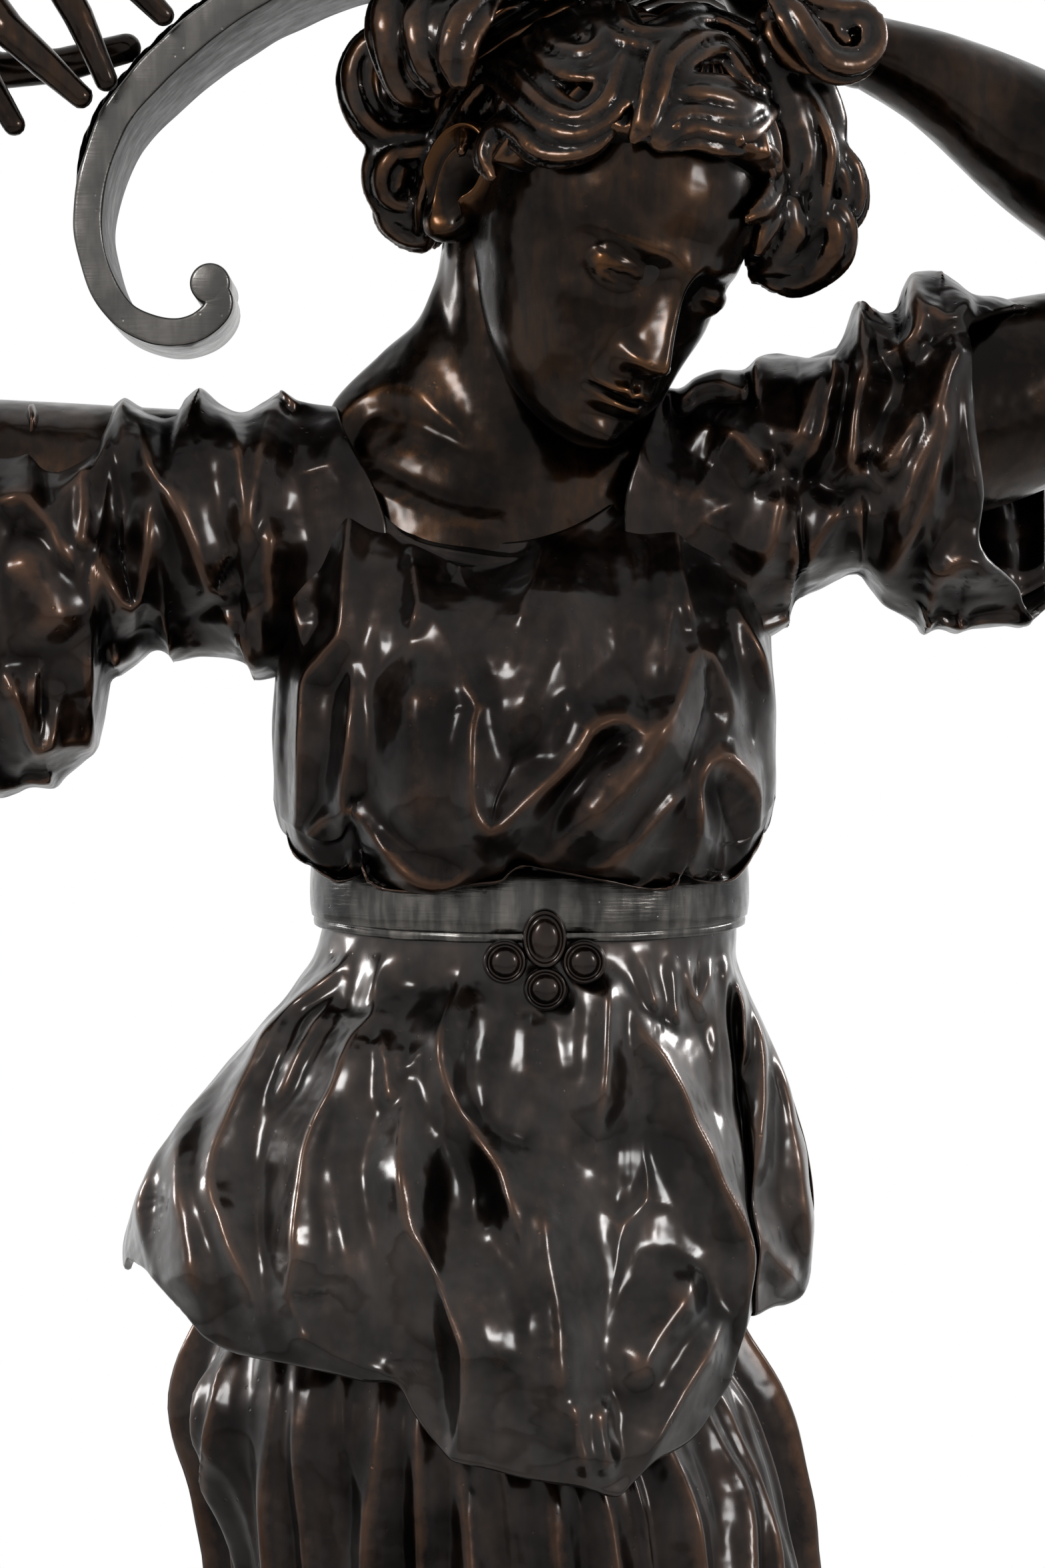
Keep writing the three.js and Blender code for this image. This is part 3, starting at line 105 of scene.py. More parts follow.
def edge_at(table, at):
    """Second column of a table at given keys, held at both ends."""
    keys = np.array(table, float)[:, 0]
    return rows_at(table, np.clip(at, keys[0], keys[-1]))[..., 1]


def smooth_line(points, spacing):
    """Points about evenly spaced on a smooth curve through the given ones."""
    points = np.asarray(points, float)
    steps = np.linalg.norm(np.diff(points, axis=0), axis=1)
    run = np.concatenate([[0], np.cumsum(steps)])
    count = max(2, int(round(run[-1] / spacing)) + 1)
    keyed = np.column_stack([run, points])
    return rows_at(keyed, np.linspace(0, run[-1], count))[:, 1:]


def unit(vectors):
    """Vectors at length one."""
    return vectors / np.maximum(np.linalg.norm(vectors, axis=-1, keepdims=True), 1e-9)


def unevenness(points, size, seed):
    """Sum of eight plane waves of about the given length in seeded directions, about -1 to 1."""
    random = np.random.default_rng(seed)
    total = np.zeros(points.shape[:-1])
    for _ in range(8):
        way = random.normal(size=3)
        way *= TURN / (size * random.uniform(0.7, 1.7) * np.linalg.norm(way))
        total += np.sin(points @ way + random.uniform(0, TURN))
    return total / 3.4


def seen(points):
    """Place of points on the drawing plane: x and height, scaled by distance / (distance + depth)."""
    scale = EYE_DISTANCE / (EYE_DISTANCE + points[..., 1])
    return points[..., 0] * scale, EYE_HEIGHT + (points[..., 2] - EYE_HEIGHT) * scale


def unseen_height(height, depth):
    """Real height of a point at a depth that lands at the given height on the drawing plane."""
    return EYE_HEIGHT + (height - EYE_HEIGHT) * (EYE_DISTANCE + depth) / EYE_DISTANCE


def grid_normals(grid):
    """Outward normals of a grid that wraps round its columns: cross product of its two differences."""
    across = np.roll(grid, -1, 1) - np.roll(grid, 1, 1)
    along = np.gradient(grid, axis=0)
    normals = unit(np.cross(across, along))
    outward = grid - grid.mean(axis=1, keepdims=True)
    return normals if (normals * outward).sum() > 0 else -normals


def fold(height, width, points, edge=1.5, lean=1.0):
    """A fold: crest line on the drawing plane, height, fall-off width, crest rounding, and side lean."""
    return height, width, smooth_line(points, 5), CREST_ROUNDING * edge, lean


def fold_heights(points, normals, folds, spread=1.0, away=False):
    """Height of folds over a base surface.

    A fold's height falls off as exp(-(sqrt(d^2 + e^2) - e) / width) with the distance d from its line,
    which is measured in the surface's tangent plane, and fades towards its two ends. Folds are joined by
    the fourth root of the sum of their fourth powers. Negative folds are grooves and are added. Between the
    folds the cloth swells again with the distance from the nearest crest.
    """
    shape = points.shape[:-1]
    x, z = (part.ravel() for part in seen(points))
    nx, ny, nz = (normals[..., axis].ravel() for axis in range(3))
    facing = ny if away else -ny
    shown = smooth((facing - 0.06) / 0.42)
    depth = np.maximum(facing, 0.3)
    gx, gz = nx / depth, nz / depth
    crests = np.zeros(x.shape)
    grooves = np.zeros(x.shape)
    apart = np.full(x.shape, SWELL_FROM + SWELL_OVER)
    for height, width, line, edge, lean in folds:
        width = width * spread
        reach = 5 * width * max(lean, 1 / lean)
        low, high = line.min(0) - reach, line.max(0) + reach
        near = np.nonzero((x > low[0]) & (x < high[0]) & (z > low[1]) & (z < high[1]) & (shown > 0))[0]
        if len(near) == 0:
            continue
        distance, share, side = nearest_on_line(x[near], z[near], gx[near], gz[near], line)
        reach = width * lean**side
        value = height * shown[near] * np.exp(-(np.sqrt(distance**2 + edge**2) - edge) / reach)
        if height > 0 and np.linalg.norm(np.diff(line, axis=0), axis=1).sum() > 3 * width:
            value = value * (0.35 + 0.65 * smooth(share / 0.3) * smooth((1 - share) / 0.3))
        if height > 0:
            crests[near] = (crests[near] ** 4 + value**4) ** 0.25
            apart[near] = np.minimum(apart[near], distance / reach)
        else:
            grooves[near] += value
    swell = SWELL * smooth((apart - SWELL_FROM) / SWELL_OVER) * shown
    return (crests + grooves + swell).reshape(shape)


def folded(base, total, sink, sizes, fade=1.0, grain=0.5, seed=3):
    """Surface raised by its folds, mostly along the line of sight, so that its outline stays as drawn."""
    normals = grid_normals(base)
    facing = normals[..., 1:2]
    way = 0.3 * normals
    way[..., 1:2] = smooth(np.abs(facing) / 0.3) * np.sign(facing)
    rise = (total - sink) * sizes.fold_depth * fade
    return base + way * rise[..., None] + normals * (grain * fade * unevenness(base, 26, seed))[..., None]


def nearest_on_line(x, z, gx, gz, line):
    """Distance to a line by dx^2 + dz^2 + (gx dx + gz dz)^2, the share along it and its side, -1 to 1."""
    best = np.full(x.shape, np.inf)
    share = np.zeros(x.shape)
    side = np.zeros(x.shape)
    lengths = np.linalg.norm(np.diff(line, axis=0), axis=1)
    total = lengths.sum()
    done = 0.0
    for (ax, az), (bx, bz), length in zip(line[:-1], line[1:], lengths):
        sx, sz = bx - ax, bz - az
        dx, dz = x - ax, z - az
        gs, gd = gx * sx + gz * sz, gx * dx + gz * dz
        t = np.clip((sx * dx + sz * dz + gs * gd) / (sx * sx + sz * sz + gs * gs), 0, 1)
        rx, rz = dx - t * sx, dz - t * sz
        square = rx * rx + rz * rz + (gx * rx + gz * rz) ** 2
        closer = square < best
        best = np.where(closer, square, best)
        share = np.where(closer, (done + t * length) / total, share)
        off = np.hypot(rx, rz) * length + 1e-6
        side = np.where(closer, (sx * rz - sz * rx) / off, side)
        done += length
    return np.sqrt(best), share, side


def hanging_folds(seed, spans, count, height, width):
    """Seeded folds that hang between two spans (left, right, height), with a little wander."""
    random = np.random.default_rng(seed)
    (left, right, top), (low_left, low_right, bottom) = spans
    made = []
    for k in range(count):
        start = (k + random.uniform(0.25, 0.75)) / count
        end = start + random.uniform(-0.3, 0.3) / count
        share = np.linspace(0, random.uniform(0.7, 1), 7)
        wander = np.cumsum(random.uniform(-1, 1, 7)) * width * 0.22
        x = (1 - share) * (left + start * (right - left)) + share * (low_left + end * (low_right - low_left))
        z = top + (bottom - top) * share
        made.append(fold(height * random.uniform(0.6, 1.2), width * random.uniform(0.8, 1.3),
                         np.column_stack([x + wander, z])))
    return made


def relief_of(grid, normals, reach):
    """How far each point stands over the mean of its four neighbours a reach away, -1 to 1."""
    across = np.linalg.norm(np.roll(grid, -1, 1) - grid, axis=2).mean()
    along = np.linalg.norm(np.diff(grid, axis=0), axis=2).mean()
    c, r = max(1, int(round(reach / across))), max(1, int(round(reach / along)))
    rows = np.arange(len(grid))
    above, below = grid[np.maximum(rows - r, 0)], grid[np.minimum(rows + r, len(grid) - 1)]
    mean = (np.roll(grid, c, 1) + np.roll(grid, -c, 1) + above + below) / 4
    return np.clip(((grid - mean) * normals).sum(-1) / (0.45 * reach), -1, 1)


def even_turns(count):
    """Angles evenly round a piece, as a row."""
    return np.linspace(0, TURN, count, endpoint=False)[None]


def columns_of(table, first=0):
    """The columns of a table from the given one on, each upright, to be worked with rows of angles."""
    return [column[:, None] for column in np.asarray(table).T[first:]]


def rings(x, y, half_width, half_depth, turn, height):
    """Grid of upright rings: x + half width * sin(turn), y - half depth * cos(turn), height."""
    across = x + half_width * np.sin(turn)
    return np.stack([across, y - half_depth * np.cos(turn) + 0 * across, height + 0 * across], axis=-1)


def front_turns(count, dense):
    """Angles round a body from its front, closer together there: s - dense * sin(s), as a row."""
    s = np.linspace(-math.pi, math.pi, count, endpoint=False)[None]
    return s - dense * np.sin(s)


def front_and_back(turn):
    """Shares of the front and of the back: ((1 + cos) / 2)^2 and ((1 - cos) / 2)^2."""
    return ((1 + np.cos(turn)) / 2) ** 2, ((1 - np.cos(turn)) / 2) ** 2


def softened(grid, times):
    """Grid averaged with its neighbours the given number of times; its first and last rows stay."""
    for _ in range(times):
        across = (np.roll(grid, 1, 1) + grid + np.roll(grid, -1, 1)) / 3
        grid = across.copy()
        grid[1:-1] = (across[:-2] + across[1:-1] + across[2:]) / 3
    return grid


def rows_from_rim(grid):
    """How many rows each row of a grid is from its nearer end, as a column."""
    rows = np.arange(len(grid))
    return np.minimum(rows, rows[::-1])[:, None]


def shell_of(outer, base, wall, inner_rows, rim_rows=3):
    """Closed shell from an outer grid: rounded rims, and an inner wall set inwards off the unfolded base."""
    away = rows_from_rim(outer)[..., None]
    inner = outer - wall * (1 + 1.5 * smooth((away - 3) / 12)) * unit(softened(grid_normals(base), 12))
    picks = np.unique(np.linspace(0, len(outer) - 1, inner_rows).round().astype(int))

    def rim(row, step):
        out, into = outer[row], inner[row]
        way = unit(out - outer[row + step]) * wall / 2
        angles = np.pi * np.arange(1, rim_rows + 1) / (rim_rows + 1)
        middle, half = (out + into) / 2, (out - into) / 2
        return middle + np.cos(angles)[:, None, None] * half + np.sin(angles)[:, None, None] * way

    return np.concatenate([outer, rim(-1, -1), inner[picks][::-1], rim(0, 1)[::-1]])


def quads_of(rows, columns, wrap_rows):
    """Corner indices of the faces of a grid that wraps round its columns."""
    index = np.arange(rows * columns).reshape(rows, columns)
    right, below = np.roll(index, -1, 1), np.roll(index, -1, 0)
    faces = np.stack([index, right, np.roll(right, -1, 0), below], axis=-1)
    return (faces if wrap_rows else faces[:-1]).reshape(-1, 4)


def facing_out(points, quads, triangles):
    """Faces of a closed mesh, turned outwards by its signed volume: sum of a . (b x c)."""
    halves = np.concatenate([quads[:, [0, 1, 2]], quads[:, [0, 2, 3]], triangles])
    a, b, c = (points[halves[:, k]] for k in range(3))
    if (a * np.cross(b, c)).sum() < 0:
        return quads[:, ::-1], triangles[:, ::-1]
    return quads, triangles


def mesh_of(name, points, quads, triangles=np.zeros((0, 3), int), relief=None):
    """Mesh object in metres from points in millimetres, with its faces turned outwards."""
    quads, triangles = facing_out(points, quads, triangles)
    mesh = bpy.data.meshes.new(name)
    mesh.vertices.add(len(points))
    mesh.vertices.foreach_set("co", (points * MM).astype(np.float32).ravel())
    corners = np.concatenate([quads.ravel(), triangles.ravel()]).astype(np.int32)
    starts = np.concatenate([
        np.arange(len(quads)) * 4,
        quads.size + np.arange(len(triangles)) * 3,
    ]).astype(np.int32)
    mesh.loops.add(len(corners))
    mesh.loops.foreach_set("vertex_index", corners)
    mesh.polygons.add(len(starts))
    mesh.polygons.foreach_set("loop_start", starts)
    mesh.update(calc_edges=True)
    mesh.validate()
    mesh.polygons.foreach_set("use_smooth", np.ones(len(starts), bool))
    if relief is not None:
        attribute = mesh.attributes.new("relief", "FLOAT", "POINT")
        attribute.data.foreach_set("value", relief.astype(np.float32).ravel())
    thing = bpy.data.objects.new(name, mesh)
    bpy.context.scene.collection.objects.link(thing)
    return thing


def ring_mesh(name, grid, relief=None):
    """Mesh object from a grid that wraps round both ways."""
    return mesh_of(name, grid.reshape(-1, 3), quads_of(*grid.shape[:2], True), relief=relief)


def shell_piece(name, outer, base, wall, inner_rows, reach=5):
    """Object from an outer grid, as a closed shell with its relief stored."""
    grid = shell_of(outer, base, wall, inner_rows)
    relief = np.zeros(grid.shape[:2])
    relief[: len(outer)] = relief_of(outer, grid_normals(outer), reach) * smooth(rows_from_rim(outer) / 20)
    return ring_mesh(name, grid, relief)


def dress_piece(name, base, front, back, sizes, sink, wall, inner_rows, fade=1.0, grain=0.5, seed=3):
    """Shell of a part of the dress: its base raised by the folds of its front and those of its back."""
    normals = grid_normals(base)
    total = fold_heights(base, normals, front, sizes.fold_spread)
    total = total + fold_heights(base, normals, back, sizes.fold_spread, True)
    outer = folded(base, total, sink, sizes, fade, grain, seed)
    return shell_piece(name, outer, base, wall, inner_rows)


def capped_grid(grid):
    """Points, faces and end triangles of a grid whose first and last rows close to their middles."""
    rows, columns = grid.shape[:2]
    points = np.concatenate([grid.reshape(-1, 3), grid[0].mean(0)[None], grid[-1].mean(0)[None]])
    quads = quads_of(rows, columns, False)
    first = np.arange(columns)
    second = np.roll(first, -1)
    start, end = rows * columns, rows * columns + 1
    top = np.column_stack([second, first, np.full(columns, start)])
    low = (rows - 1) * columns
    bottom = np.column_stack([low + first, low + second, np.full(columns, end)])
    return points, quads, np.concatenate([top, bottom])


def filled_piece(name, grid, reach=4):
    """Object from a grid as a filled body, with its relief stored."""
    points, quads, ends = capped_grid(grid)
    relief = np.append(relief_of(grid, grid_normals(grid), reach).ravel(), [0, 0])
    return mesh_of(name, points, quads, ends, relief)


def joined_piece(name, grids, reliefs=None, poles=(0, 0)):
    """Object from several capped grids, each turned outwards, with their reliefs."""
    parts = []
    offset = 0
    for number, grid in enumerate(grids):
        points, quads, ends = capped_grid(grid)
        quads, ends = facing_out(points, quads, ends)
        relief = reliefs[number] if reliefs else relief_of(grid, grid_normals(grid), 2)
        parts.append((points, quads + offset, ends + offset, np.append(relief.ravel(), poles)))
        offset += len(points)
    return mesh_of(name, *(np.concatenate([part[k] for part in parts]) for k in range(4)))


def finish_piece(thing, material, slot, *nodes, body="torchere"):
    """Gives a piece its finish and body, and hides the nodes that it stands for; its material slot is not
    used.
    """
    thing.data.materials.append(bpy.data.materials[material])
    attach(thing, body)
    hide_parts(*nodes)
    return thing


# Bodice. Heights count from the floor; edges are as they land on the drawing plane.
BODICE_LIP = [
    (-108, 1030), (-104, 1022), (-97, 1018), (-90, 1013), (-85, 1011), (-78, 1013), (-72, 1020),
    (-70, 1012), (-62, 1008), (-45, 1007), (-25, 1010), (-10, 1012), (-2, 1018), (8, 1017), (20, 1015),
    (35, 1012), (50, 1009), (62, 1008), (68, 1010), (71, 1014), (80, 1011), (90, 1011), (97, 1014),
    (104, 1024), (108, 1033),
]
# step, height over the lip, half width, half depth
BODICE_TUCK = [(0, 9, 88, 70), (1, 1.5, 96, 81), (2, 0, 102, 88), (3, 5, 107, 94), (4, 18, 110, 98)]
# step, side height, front drop, back rise, centre x, centre y, half width, half depth
BODICE_ROWS = [
    (4, 1036, 6, 0, 1, -2, 110, 98), (5, 1076, 4, 0, 1, -3, 110, 99), (6, 1118, 10, 0, 1, -2, 108, 91),
    (7, 1162, 32, 0, 0, 0, 104, 81), (8, 1200, 56, -4, -6, 4, 90, 70), (9, 1222, 66, -14, -11, 6, 71, 61),
]
BODICE_FOLDS = [
    fold(9, 9, [(-77, 1222), (-75, 1200), (-73, 1188), (-74, 1170), (-75, 1150), (-77, 1120), (-80, 1115),
        (-90, 1104), (-93, 1098), (-94, 1080), (-96, 1045), (-97, 1035), (-93, 1025), (-87, 1015)]),
    fold(8, 8, [(-77, 1117), (-74, 1110), (-73, 1095), (-74, 1075), (-77, 1045), (-72, 1041), (-66, 1035),
        (-60, 1027), (-52, 1018), (-45, 1013), (-38, 1011), (-30, 1012), (-25, 1016), (-22, 1024),
        (-21, 1040)]),
    fold(5, 6, [(-92, 1034), (-85, 1040), (-77, 1042)]),
    fold(8, 9, [(-98, 1190), (-98, 1150), (-97, 1130), (-95, 1122), (-94, 1110), (-92, 1103)]),
    fold(8, 9, [(-97, 1128), (-102, 1115), (-106, 1095), (-108, 1050), (-108, 1030), (-104, 1022)]),
    fold(6, 7, [(-48, 1161), (-47, 1150), (-46, 1140), (-45, 1132), (-46, 1125), (-49, 1113)], edge=1.0),
    fold(11, 12, [(-42, 1130), (-39, 1129), (-33, 1118), (-26, 1103), (-22, 1092), (-19, 1090),
        (-21, 1077), (-21, 1061), (-21, 1046), (-18.6, 1040), (-14, 1035), (-9, 1036.5), (-2, 1043),
        (8, 1052), (17, 1060), (25, 1069), (29, 1077), (35.5, 1081), (42, 1082), (46, 1080), (52, 1076),
        (57, 1078), (62, 1084), (68, 1097), (71, 1107), (74, 1111), (79, 1111), (83, 1106), (89, 1091),
        (89.5, 1083), (87, 1077), (86, 1067)], edge=1.0, lean=0.85),
    fold(5, 12, [(8, 1154), (5, 1141), (1.5, 1131), (-3, 1117), (-9, 1101), (-15.5, 1092)], edge=3),
    fold(8, 12, [(60, 1185), (65, 1166), (68, 1145), (71, 1129), (74, 1117), (78, 1111)]),
    fold(8, 11, [(26, 1168), (18.5, 1138), (11, 1107), (-1.6, 1080), (-11, 1058)], edge=6),
    fold(8, 8, [(82, 1203), (83, 1185), (89.5, 1165), (96, 1144)]),
    fold(7, 8, [(109, 1189), (109.6, 1169), (106.5, 1157), (102, 1148), (96, 1143)]),
    fold(8, 8, [(93, 1140), (94, 1129), (99, 1117), (105, 1100), (109.6, 1084), (110, 1064), (109, 1046),
        (106, 1032)]),
    fold(9, 7, [(72.6, 1015), (75.6, 1029), (76.4, 1043), (77, 1057), (79.5, 1063), (86, 1066), (94, 1060),
        (99.6, 1052), (102, 1043), (104, 1033), (106, 1030)]),
    fold(7, 8, [(4.6, 1018), (18.5, 1030), (29, 1050), (38.6, 1063), (41.7, 1074)], edge=2.5),
    fold(13, 10, [(14, 1020), (27, 1038), (40, 1053), (53, 1068), (64, 1084), (72, 1101)], edge=6),
    fold(7, 8, [(20, 1017), (34, 1019.5), (44.7, 1026), (57, 1040), (68, 1052), (79, 1064)]),
    fold(10, 11, [(-47, 1118), (-46, 1103), (-45, 1077), (-44, 1046), (-43, 1022)], edge=8),
    fold(6, 7, [(8, 1156), (6, 1148), (3, 1137), (0, 1127)]),
    fold(5, 8, [(41, 1172), (46, 1156), (49, 1138), (50, 1120), (46, 1104)], edge=3),
    fold(7, 7, [(58, 1168), (62, 1152), (62.5, 1132), (61, 1114), (58, 1094), (55, 1082)], edge=2.5),
    fold(6, 8, [(21, 1101), (17, 1085), (12, 1068), (9, 1060)]),
    fold(4, 9, [(-62, 1176), (-61, 1150), (-62, 1120), (-64, 1090)], edge=4),
    fold(2.6, 2.6, [(-79, 1222), (-73, 1190), (-55, 1165), (-32, 1156), (6, 1154), (28, 1168), (53, 1190),
        (60, 1222)], edge=1),
    fold(-4, 9, [(-82, 1012), (-79, 1022), (-72, 1036)], edge=3),
    fold(-3, 6, [(80, 1052), (86, 1044), (90, 1030), (88, 1018)], edge=2),
    fold(-3, 9, [(-4, 1024), (12, 1042), (27, 1064), (40, 1074)], edge=2),
]
BODICE_BACK = hanging_folds(11, ((-70, 60, 1200), (-100, 100, 1020)), 9, 8, 11)


def build_bodice(sizes):
    """Bodice: rings of half width and depth that bulge over the belt, raised by the folds.

    The lowest rings roll under at the lip line, and the top ring is the neckline.
    """
    turn = front_turns(540, 0.4)
    step = np.concatenate([np.linspace(0, 4, 26), np.linspace(4, 9, 130)[1:]])[:, None]
    sine, cosine = np.sin(turn), np.cos(turn)
    front, back = front_and_back(turn)
    lip = edge_at(BODICE_LIP, 110 * sine)
    lip = np.where(cosine > 0, unseen_height(lip, -96 * cosine), 1021 + 3 * np.sin(7 * turn))
    near_side = 1 - smooth(abs(cosine) / np.where(cosine > 0, 0.1, 0.6))
    lip = lip + (1031 - lip) * near_side
    low = rows_at(BODICE_TUCK, np.minimum(step[:, 0], 4))
    high = rows_at(BODICE_ROWS, np.maximum(step[:, 0], 4))
    side, drop, rise, cx, cy, a, b = columns_of(high, 1)
    over, low_a, low_b = columns_of(low, 1)
    share = smooth((step - 4) / 1.2)
    height = (lip + over + (side - 1036) * smooth((step - 3.6) / 1.4) * (1 - share)) * (1 - share)
    height = height + (side - drop * front + rise * back) * share
    tucked = step < 4
    base = rings(cx, cy, np.where(tucked, low_a, a), np.where(tucked, low_b, b), turn, height)
    fade = smooth(step / 1.5) * smooth((9.6 - step) / 1.2)
    return dress_piece("bodice_dress", base, BODICE_FOLDS, BODICE_BACK, sizes, 4.5, 3.5, 20, fade)


# Overfold. Hem rows: angle from the front towards the right in degrees, radius from the hip centre, height.
HEM_ROWS = [
    (-180, 122, 848), (-160, 133, 836), (-140, 137, 844), (-120, 146, 839), (-102, 152, 853),
    (-85, 154, 849), (-70, 152, 837), (-55, 150, 822), (-40, 143, 808), (-28, 141, 803), (-16, 136, 796),
    (-8, 127, 772), (0, 136, 763), (12, 140, 757), (24, 142, 748), (36, 138, 766), (50, 134, 787),
    (65, 130, 822), (75, 124, 831), (88, 143, 838), (100, 150, 870), (120, 137, 861), (140, 139, 842),
    (160, 128, 851), (180, 122, 848),
]
HEM_LINE = [
    (-172, 852), (-164, 847), (-158, 840), (-148, 829), (-140, 820), (-133, 815), (-124, 811), (-107, 808),
    (-81, 802), (-68, 799), (-52, 797), (-45, 784), (-40, 775), (-35, 768), (-31, 765), (-17, 762),
    (-1, 758), (10, 756), (28, 753), (43, 750), (50, 757), (57, 765), (63, 768), (72, 773), (80, 781),
    (86, 791), (91, 802), (96, 824), (103, 829), (111, 833), (120, 836), (124, 850), (126, 862),
]
WAIST = (3, 89, 72)
WAIST_SEAM = 998
WAIST_DIP = 6
HIP_X = -20
PEPLUM_FOLDS = [
    fold(10, 12, [(-108, 962), (-119, 948), (-128, 940), (-135, 930), (-145, 915), (-155, 900),
        (-160, 887), (-164, 874), (-163, 858), (-160, 847)]),
    fold(10, 13, [(-146, 925), (-148, 913), (-147, 894), (-146, 873), (-142, 851), (-139, 835),
        (-137, 820)], edge=2.5),
    fold(10, 11, [(-86, 990), (-94, 977), (-102, 961), (-109, 948), (-117, 933), (-125, 915), (-130, 904),
        (-133, 894), (-133, 882), (-129, 869), (-125, 856), (-120, 843), (-115, 830), (-110, 812)]),
    fold(7, 8, [(-73, 990), (-78, 978), (-89, 968), (-101, 958), (-107, 944), (-116, 928), (-124, 912)]),
    fold(7, 9, [(-78, 969), (-86, 958), (-94, 943), (-102, 928), (-107, 917), (-110, 907)]),
    fold(12, 12, [(-62, 975), (-65, 955), (-71, 948), (-76, 936), (-81, 923), (-88, 910), (-92, 897),
        (-95, 881), (-97, 866), (-97.5, 853), (-100, 842), (-101, 835), (-97, 825), (-95, 819)], edge=1.0),
    fold(7, 9, [(-65, 955), (-60, 943), (-57.5, 927), (-55, 910)]),
    fold(7, 11, [(-68, 944), (-75, 930), (-78, 910), (-81, 891), (-79, 869), (-75, 853), (-70, 835),
        (-66, 820)], edge=3.5),
    fold(5, 7, [(-58, 989), (-62, 975), (-66, 964), (-70, 954)]),
    fold(10, 12, [(-25, 985), (-27, 974), (-32, 958), (-35.5, 943), (-34, 931), (-28, 917), (-22, 909),
        (-16, 900), (-9, 889), (-6, 879), (-3, 868), (2, 851), (7, 837)], edge=1.0),
    fold(6, 7, [(-42, 948), (-47, 936), (-51, 933), (-53, 938), (-52, 948)]),
    fold(12, 13, [(-45, 938), (-47, 928), (-50, 917), (-52, 904), (-52, 887), (-51, 876), (-48.5, 864),
        (-42, 853), (-34, 837), (-29, 824), (-25, 812), (-25, 799), (-27, 786), (-29, 776), (-32, 766)],
        edge=0.9, lean=1.2),
    fold(8, 12, [(-47, 917), (-44, 894), (-42, 869), (-34, 848), (-21, 829), (-16, 812), (-13, 796),
        (-9, 780)], edge=4),
    fold(4, 6, [(-110, 819), (-96, 818), (-81, 810), (-66, 804), (-52, 798)], edge=2),
    fold(-3, 9, [(-38, 812), (-37, 795), (-36, 780)], edge=3),
    fold(-3, 6, [(-17, 915), (-12, 907), (0, 902)], edge=2),
    fold(3, 7, [(4, 962), (3, 940), (1, 918)], edge=3),
    fold(3, 7, [(9, 962), (12, 938), (18, 916)], edge=3),
    fold(5, 7, [(24, 972), (22.6, 943), (22, 920)], edge=2.5),
    fold(11, 11, [(34, 989), (36.5, 962), (35.6, 946), (35, 927), (33, 910), (32, 899)], edge=1.0),
    fold(12, 12, [(37, 975), (40.5, 965), (47, 958), (53, 946), (60, 938), (67, 925), (73, 910), (80, 895),
        (86, 881), (92, 869), (95, 861), (96, 853), (96, 840), (95, 827), (93.6, 814), (90, 801)],
        edge=1.0),
    fold(6, 7, [(44, 990), (50, 979), (55, 966), (59, 951)]),
    fold(6, 7, [(52, 989), (53.6, 975), (57, 959), (58.5, 951)]),
    fold(7, 8, [(63, 989), (65, 967), (68, 944)]),
    fold(7, 7, [(71.6, 989), (70.7, 975), (75.6, 962), (79.7, 971), (82, 987)]),
    fold(9, 9, [(88, 992), (89, 975), (93, 959), (94, 940), (93, 925)]),
    fold(10, 9, [(94, 998), (98, 967), (101, 940), (102, 923), (101, 904), (98.5, 884), (99, 868)]),
    fold(8, 10, [(104, 967), (109, 943), (114, 917), (119, 891), (122, 868), (123, 851), (122, 838)]),
    fold(7, 7, [(99, 866), (107, 853), (116, 843), (120, 837)]),
    fold(9, 12, [(13, 904), (11, 891), (8.7, 878), (8.7, 866), (10, 851), (13.6, 835), (15, 820),
        (16, 804), (16, 789), (15, 780), (13, 773), (11, 764)], edge=2.5),
    fold(7, 9, [(20, 799), (22.6, 784), (26, 768), (29, 753)]),
    fold(7, 8, [(34, 796), (35, 780), (37, 763), (39, 752)], edge=2.5),
    fold(-2, 7, [(42, 804), (40.5, 789), (39, 776), (42, 763)], edge=2.5),
    fold(8, 11, [(76.5, 851), (70, 835), (60, 819), (50, 802), (45, 789)], edge=3.5),
    fold(9, 11, [(93.6, 832), (88, 825), (81, 814), (73, 801), (65, 788), (58.5, 776), (52, 763),
        (45, 750)]),
    fold(-3, 14, [(-115, 915), (-115, 870)], edge=8),
    fold(-4, 18, [(62, 905), (52, 870), (44, 838)], edge=8),
    fold(-3, 14, [(-18, 885), (-26, 868), (-34, 860)], edge=6),
]
PEPLUM_BACK = hanging_folds(5, ((-80, 86, 985), (-158, 118, 846)), 12, 11, 13)


